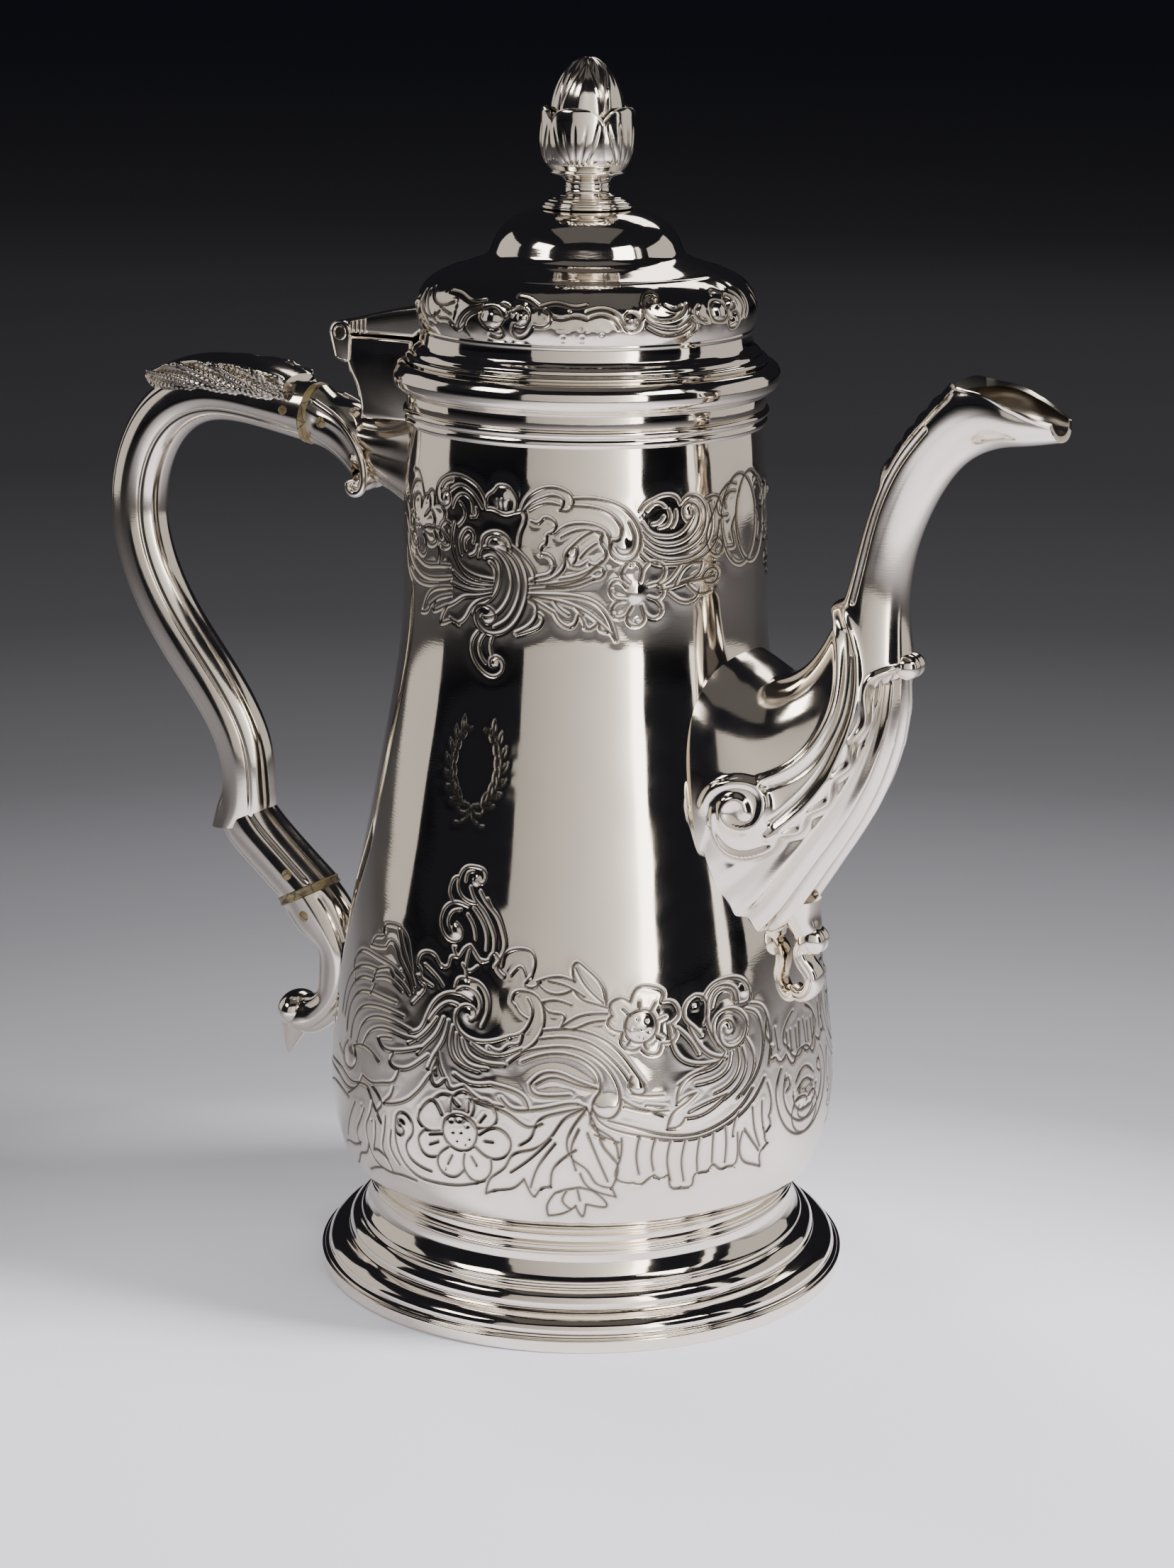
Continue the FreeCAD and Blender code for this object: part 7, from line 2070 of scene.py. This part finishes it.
# ---------------------------------------------------------------- hinge
class PlateDraft:
    """Flat plates and rods across the plane of spout and handle, gathered in one mesh."""

    def __init__(self) -> None:
        """Starts an empty mesh."""
        self.mesh = bmesh.new()

    def plate(
        self, outline: Outline | np.ndarray, low: float, high: float, bevel: float = 0.25, segments: int = 3
    ) -> None:
        """Adds a plate with softened edges.

        Args:
            outline: Corners (x, z).
            low: Lower y.
            high: Upper y.
            bevel: Width of the softened edge.
            segments: Steps across the softened edge.
        """
        near = [self.mesh.verts.new((x * MM, low * MM, z * MM)) for x, z in outline]
        far = [self.mesh.verts.new((x * MM, high * MM, z * MM)) for x, z in outline]
        faces = [self.mesh.faces.new(near), self.mesh.faces.new(far[::-1])]
        for i in range(len(near)):
            j = (i + 1) % len(near)
            faces.append(self.mesh.faces.new((near[j], near[i], far[i], far[j])))
        bmesh.ops.recalc_face_normals(self.mesh, faces=faces)
        rims = [edge for face in faces[:2] for edge in face.edges]
        if bevel > 0:
            bmesh.ops.bevel(
                self.mesh, geom=rims, offset=bevel * MM, segments=segments, affect="EDGES", profile=0.5
            )

    def rod(self, centre: Point, radius: float, low: float, high: float, bevel: float = 0.2) -> None:
        """Adds a round rod along Y.

        Args:
            centre: Its axis (x, z).
            radius: Its radius.
            low: The y it starts at.
            high: The y it ends at.
            bevel: Width of the bevel round each end.
        """
        x, z = centre
        turn_round = np.linspace(0, 2 * math.pi, 48, endpoint=False)
        ring = np.stack([x + radius * np.cos(turn_round), z + radius * np.sin(turn_round)], -1)
        self.plate(ring, low, high, bevel)

    def bead(self, path: np.ndarray, radius: float, level: float, closed: bool) -> None:
        """Lays a thin half round wire along a path.

        Args:
            path: Points (x, z).
            radius: Radius of the wire.
            level: The y the wire's middle lies at.
            closed: True when the end meets the start.
        """
        count, cols = len(path), 10
        ahead, behind = np.roll(path, -1, 0), np.roll(path, 1, 0)
        if not closed:
            ahead[-1], behind[0] = path[-1], path[0]
        run = ahead - behind
        run /= np.linalg.norm(run, axis=1, keepdims=True)
        rings = []
        for (x, z), (dx, dz) in zip(path, run):
            ring = []
            for k in range(cols):
                a = 2 * math.pi * k / cols
                off, rise = radius * math.cos(a), radius * math.sin(a)
                spot = ((x - dz * off) * MM, (level + rise) * MM, (z + dx * off) * MM)
                ring.append(self.mesh.verts.new(spot))
            rings.append(ring)
        faces = []
        for i in range(count if closed else count - 1):
            one, two = rings[i], rings[(i + 1) % count]
            for k in range(cols):
                faces.append(self.mesh.faces.new((one[k], one[(k + 1) % cols], two[(k + 1) % cols], two[k])))
        if not closed:
            faces += [self.mesh.faces.new(rings[0]), self.mesh.faces.new(rings[-1][::-1])]
        bmesh.ops.recalc_face_normals(self.mesh, faces=faces)

    def build(self, name: str, sharp_deg: float = 35.0) -> bpy.types.Object:
        """Closes the mesh and links its object.

        Args:
            name: The object's name.
            sharp_deg: Angle above which an edge stays crisp.

        Returns:
            The object.
        """
        data = bpy.data.meshes.new(name)
        self.mesh.to_mesh(data)
        self.mesh.free()
        data.shade_smooth()
        data.set_sharp_from_angle(angle=math.radians(sharp_deg))
        obj = bpy.data.objects.new(name, data)
        bpy.context.scene.collection.objects.link(obj)
        return obj


@dataclass
class LidHinge:
    """Book hinge: bracket with keyhole cheeks on the pot, leaf and middle knuckle on the lid."""

    shop: Workshop
    axis: Point = (-57.7, 204.4)
    knuckle: float = 2.7
    web: Outline = (
        (-39.4, 203.9), (-56.6, 203.9), (-56.4, 198.4), (-55.6, 196.4), (-54.2, 194.0), (-53.2, 191.0),
        (-52.8, 187.6), (-53.0, 186.1), (-39.4, 186.1),
    )
    leaf: Outline = (
        (-57.7, 206.9), (-56.0, 207.4), (-50.0, 209.0), (-44.0, 210.4), (-38.5, 211.3), (-33.2, 211.7),
        (-33.2, 208.6), (-39.0, 204.5), (-55.2, 204.5),
    )

    def keyhole(self, inset: float) -> np.ndarray:
        """Outline of a cheek: round above the pin, tapered below.

        Args:
            inset: How far inside the full outline.

        Returns:
            Corners (x, z).
        """
        cx, cz = self.axis
        radius = self.knuckle - inset
        turn_round = np.radians(np.linspace(-10, 190, 30))
        arc = np.stack([cx + radius * np.cos(turn_round), cz + radius * np.sin(turn_round)], -1)
        foot = np.array([
            (-59.2 + inset, 199.0 + inset), (-58.6 + inset, 198.5 + inset), (-56.0 - inset, 198.1 + inset),
            (-55.4 - inset, 198.6 + inset),
        ])
        return np.vstack([arc, foot])

    def build(self) -> None:
        """Builds the bracket and the leaf."""
        draft = PlateDraft()
        for side in (-1, 1):
            low, high = sorted((side * 3.95, side * 7.7))
            draft.plate(self.keyhole(0.0), low, high, 0.2)
            draft.bead(self.keyhole(0.22), 0.22, side * 7.7, True)
            ring = np.radians(np.linspace(0, 360, 36, endpoint=False))
            x, z = self.axis[0], self.axis[1] + 0.1
            hole = np.stack([x + 1.45 * np.cos(ring), z + 1.45 * np.sin(ring)], -1)
            draft.bead(hole, 0.24, side * 7.7, True)
        draft.plate(self.web, -7.5, 7.5, 0.8)
        edge = np.array(self.web[2:8])
        for side in (-1, 1):
            draft.bead(smooth_line(tuple(map(tuple, edge + (0.5, 0.0))), 40), 0.3, side * 7.4, False)
        self.shop.hand_over(draft.build("hinge_bracket_cheeks"), Slot.CAST, Body.POT, "hinge_bracket")
        draft = PlateDraft()
        draft.rod(self.axis, 1.25, -7.78, 7.78, 0.1)
        pin = draft.build("hinge_pin_ends")
        # The pin is painted near black: painted shade that makes the hole in each cheek read dark.
        dark = pin.data.attributes.new("tarnish_and_shade", "FLOAT", "POINT")
        dark.data.foreach_set("value", np.full(len(pin.data.vertices), 0.9, dtype=np.float32))
        self.shop.hand_over(pin, Slot.CAST, Body.POT, "hinge_pin")
        draft = PlateDraft()
        draft.plate(self.leaf, -7.2, 7.2, 0.9, 4)
        draft.rod(self.axis, self.knuckle - 0.05, -3.8, 3.8, 0.15)
        for k in range(4):
            x = -55.2 + 1.1 * k
            top = ((x + 0.7, 207.2 + 0.25 * k), (x, 207.0 + 0.25 * k))
            draft.plate(((x, 204.6), (x + 0.7, 204.6)) + top, -7.5, 7.5, 0.2)
        self.shop.hand_over(draft.build("hinge_leaf_plate"), Slot.CAST, Body.LID, "hinge_leaf")


# ---------------------------------------------------------------- stage
@dataclass(frozen=True)
class Card:
    """A soft light card: where it stands round the pot, its size and its strength."""

    name: str
    bearing_deg: float
    distance: float
    height: float
    width: float
    tall: float
    radiance: float
    aim: float | None = None


@dataclass
class Studio:
    """Floor, cards and camera."""

    stand_off: float = 0.730
    camera_height: float = 0.3025
    camera_bearing_deg: float = 30.0
    pitch: float = 0.2595
    roll: float = -0.0059
    lens_mm: float = 79.12025316455696
    sensor_mm: float = 36.0
    sideways_shift: float = 0.001943942133815531
    cards: tuple[Card, ...] = (
        Card("left_card", -117.0, 1.2, 0.45, 0.9, 0.9, 0.62),
        Card("right_card", 108.0, 1.2, 0.45, 1.1, 0.9, 0.6),
        Card("right_strip", 70.0, 1.3, 0.55, 0.14, 1.1, 1.6),
        Card("upper_left_box", -64.0, 1.1, 1.06, 0.52, 0.32, 8.0, 0.2),
        Card("upper_right_box", 50.0, 1.1, 1.00, 0.55, 0.28, 8.0, 0.2),
        Card("back_box", 160.0, 1.3, 1.2, 0.7, 0.4, 4.0, 0.2),
        Card("overhead_card", 0.0, 0.20, 1.70, 1.3, 1.3, 0.10, 0.0),
    )
    front_card: Card = Card("front_card", -1.0, 1.068, 0.50, 1.552, 1.0, 7.0)
    front_curve: tuple[Point, ...] = (
        (0.0, 0.067), (0.35, 0.10), (0.5, 0.122), (0.61, 0.148), (0.71, 0.19), (0.79, 0.27), (0.85, 0.43),
        (0.92, 0.95),
        (1.0, 1.0),
    )
    fills: tuple[Card, ...] = (
        Card("floor_fill_right", 80.0, 0.62, 0.80, 0.22, 0.22, 125.0, 0.0),
        Card("floor_fill_back", -145.0, 0.62, 0.80, 0.30, 0.30, 20.0, 0.0),
    )
    # Centre of the painted pool of light on the floor, in metres ahead of the pot, and its grey at each
    # distance from that centre.
    painted_pool_ahead: float = 0.20
    painted_floor_light: tuple[Point, ...] = (
        (0.0, 0.84), (0.20, 0.80), (0.317, 0.27), (0.453, 0.155), (0.635, 0.075), (0.89, 0.045),
        (1.28, 0.048),
        (1.63, 0.08), (2.13, 0.15), (2.93, 0.20), (4.4, 0.28), (8.0, 0.36),
    )
    tint: tuple[float, float, float] = (1.0, 0.94, 0.87)

    def bearing(self, degrees: float) -> np.ndarray:
        """Unit vector at a bearing from the camera's, positive to the camera's right."""
        angle = math.radians(self.camera_bearing_deg - 90.0 + degrees)
        return np.array([math.cos(angle), math.sin(angle), 0.0])

    def build(self) -> None:
        """Builds the stage."""
        self.build_camera()
        self.build_floor()
        self.build_world()
        for card in self.cards:
            self.build_card(card)
        self.grade(self.build_card(self.front_card).data)
        for card in self.fills:
            self.build_card(card).visible_glossy = False

    def grade(self, data: bpy.types.AreaLight) -> None:
        """Lets a card grow brighter from its left to its right side.

        Args:
            data: The card's light.
        """
        data.use_nodes = True
        nodes, links = data.node_tree.nodes, data.node_tree.links
        emission = next(node for node in nodes if node.type == "EMISSION")
        place = nodes.new("ShaderNodeNewGeometry")
        split = nodes.new("ShaderNodeSeparateXYZ")
        links.new(place.outputs["Parametric"], split.inputs[0])
        curve = nodes.new("ShaderNodeFloatCurve")
        line = curve.mapping.curves[0]
        for i, (where, level) in enumerate(self.front_curve):
            if i < 2:
                line.points[i].location = (where, level)
            else:
                line.points.new(where, level)
        curve.mapping.update()
        links.new(split.outputs["X"], curve.inputs["Value"])
        links.new(curve.outputs["Value"], emission.inputs["Strength"])

    def build_camera(self) -> None:
        """Sets the camera at its bearing, looking slightly down."""
        data = bpy.data.cameras.new("camera")
        data.sensor_fit = "VERTICAL"
        data.sensor_height = self.sensor_mm
        data.lens = self.lens_mm
        data.shift_x = self.sideways_shift
        data.clip_start = 0.05
        data.clip_end = 100.0
        camera = bpy.data.objects.new("camera", data)
        away = self.bearing(0.0)
        forward = Vector(-away)
        right = forward.cross(Vector((0, 0, 1))).normalized()
        look = forward * math.cos(self.pitch) - Vector((0, 0, 1)) * math.sin(self.pitch)
        up = right.cross(look)
        turn_back = Matrix.Rotation(self.roll, 3, look)
        right, up = turn_back @ right, turn_back @ up
        place = Matrix((right, up, -look)).transposed().to_4x4()
        place.translation = Vector(away * self.stand_off) + Vector((0, 0, self.camera_height))
        camera.matrix_world = place
        bpy.context.scene.collection.objects.link(camera)
        bpy.context.scene.camera = camera

    def build_floor(self) -> None:
        """Lays the floor, whose colour is a painted pool of light that falls off into the dark round the set.
        """
        draft = MeshDraft()
        radii = np.concatenate([np.linspace(0.0, 0.6, 7)[1:], np.geomspace(0.8, 40.0, 12)]) / MM
        cols = 96
        angle = np.linspace(0, 2 * math.pi, cols, endpoint=False)
        flat = 0 * radii[:, None] + 0 * angle
        rings = np.stack([radii[:, None] * np.cos(angle), radii[:, None] * np.sin(angle), flat], -1)
        first = draft.grid(rings[::-1])
        draft.cap(first + (len(radii) - 1) * cols, cols, (0, 0, 0), upwards=True)
        floor = draft.build("floor")
        mat = bpy.data.materials.new("paper_with_painted_light_pool")
        mat.use_nodes = True
        nodes, links = mat.node_tree.nodes, mat.node_tree.links
        shader = nodes["Principled BSDF"]
        shader.inputs["Roughness"].default_value = 0.75
        shader.inputs["Specular IOR Level"].default_value = 0.2
        place = nodes.new("ShaderNodeTexCoord")
        length = nodes.new("ShaderNodeVectorMath")
        length.operation = "LENGTH"
        pool = nodes.new("ShaderNodeVectorMath")
        pool.operation = "SUBTRACT"
        pool.inputs[1].default_value = tuple(self.bearing(0.0) * self.painted_pool_ahead)
        links.new(place.outputs["Object"], pool.inputs[0])
        links.new(pool.outputs["Vector"], length.inputs[0])
        scale = nodes.new("ShaderNodeMapRange")
        scale.inputs["From Max"].default_value = 8.0
        links.new(length.outputs["Value"], scale.inputs["Value"])
        # The ramp paints a pool of light into the floor's colour: brightest just in front of the pot, dark
        # further out, and lighter again far off where the floor is the backdrop.
        ramp = nodes.new("ShaderNodeValToRGB")
        stops = tuple((reach / 8.0, (grey * 0.93, grey * 0.96, grey * 1.12)) for reach, grey in self.painted_floor_light)
        elements = ramp.color_ramp.elements
        elements[0].position, elements[0].color = stops[0][0], (*stops[0][1], 1)
        elements[1].position, elements[1].color = stops[-1][0], (*stops[-1][1], 1)
        for position, colour in stops[1:-1]:
            elements.new(position).color = (*colour, 1)
        links.new(scale.outputs["Result"], ramp.inputs["Fac"])
        links.new(ramp.outputs["Color"], shader.inputs["Base Color"])
        floor.data.materials.append(mat)

    def build_world(self) -> None:
        """Sets the dark surround."""
        world = bpy.data.worlds.new("dark_room")
        world.use_nodes = True
        shade = world.node_tree.nodes["Background"]
        shade.inputs["Color"].default_value = (0.55, 0.55, 0.75, 1)
        shade.inputs["Strength"].default_value = 0.022
        bpy.context.scene.world = world

    def build_card(self, card: Card) -> bpy.types.Object:
        """Hangs one light card, facing the pot.

        Args:
            card: The card.

        Returns:
            The light's object.
        """
        data = bpy.data.lights.new(card.name, "AREA")
        data.shape = "RECTANGLE"
        data.size = card.width
        data.size_y = card.tall
        data.energy = card.radiance * math.pi * card.width * card.tall
        light = bpy.data.objects.new(card.name, data)
        light.location = Vector(self.bearing(card.bearing_deg) * card.distance) + Vector((0, 0, card.height))
        aim = light.location.z if card.aim is None else card.aim
        to_pot = Vector((0, 0, aim)) - light.location
        light.rotation_euler = to_pot.to_track_quat("-Z", "Y").to_euler()
        light.visible_camera = False
        data.color = self.tint
        bpy.context.scene.collection.objects.link(light)
        return light


def dress_cad_nodes(shop: Workshop, nodes: dict[str, bpy.types.Object], record: dict) -> None:
    """Gives every CAD node the finish of its slot.

    Args:
        shop: The workshop.
        nodes: CAD nodes by name.
        record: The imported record.
    """
    slots = {part["node"]: part["material_slot"] for part in record["subparts"]}
    for name, obj in nodes.items():
        material = shop.material(Slot(slots[name]))
        if not obj.material_slots:
            obj.data.materials.append(material)
        for place in obj.material_slots:
            place.material = material


def main() -> None:
    """Loads the frame, builds every piece in order and sets the stage."""
    logging.basicConfig(level=logging.INFO, format="%(message)s")
    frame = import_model()
    shop = Workshop()
    dress_cad_nodes(shop, frame["nodes"], frame["record"])
    Foot(shop).build()
    ChasedBody(shop).build()
    MouthMouldings(shop).build()
    DomedLid(shop).build()
    BudFinial(shop).build()
    SwanSpout(shop).build()
    ScrollHandle(shop).build()
    Sockets(shop).build()
    LidHinge(shop).build()
    Studio().build()


if __name__ == "__main__":
    main()
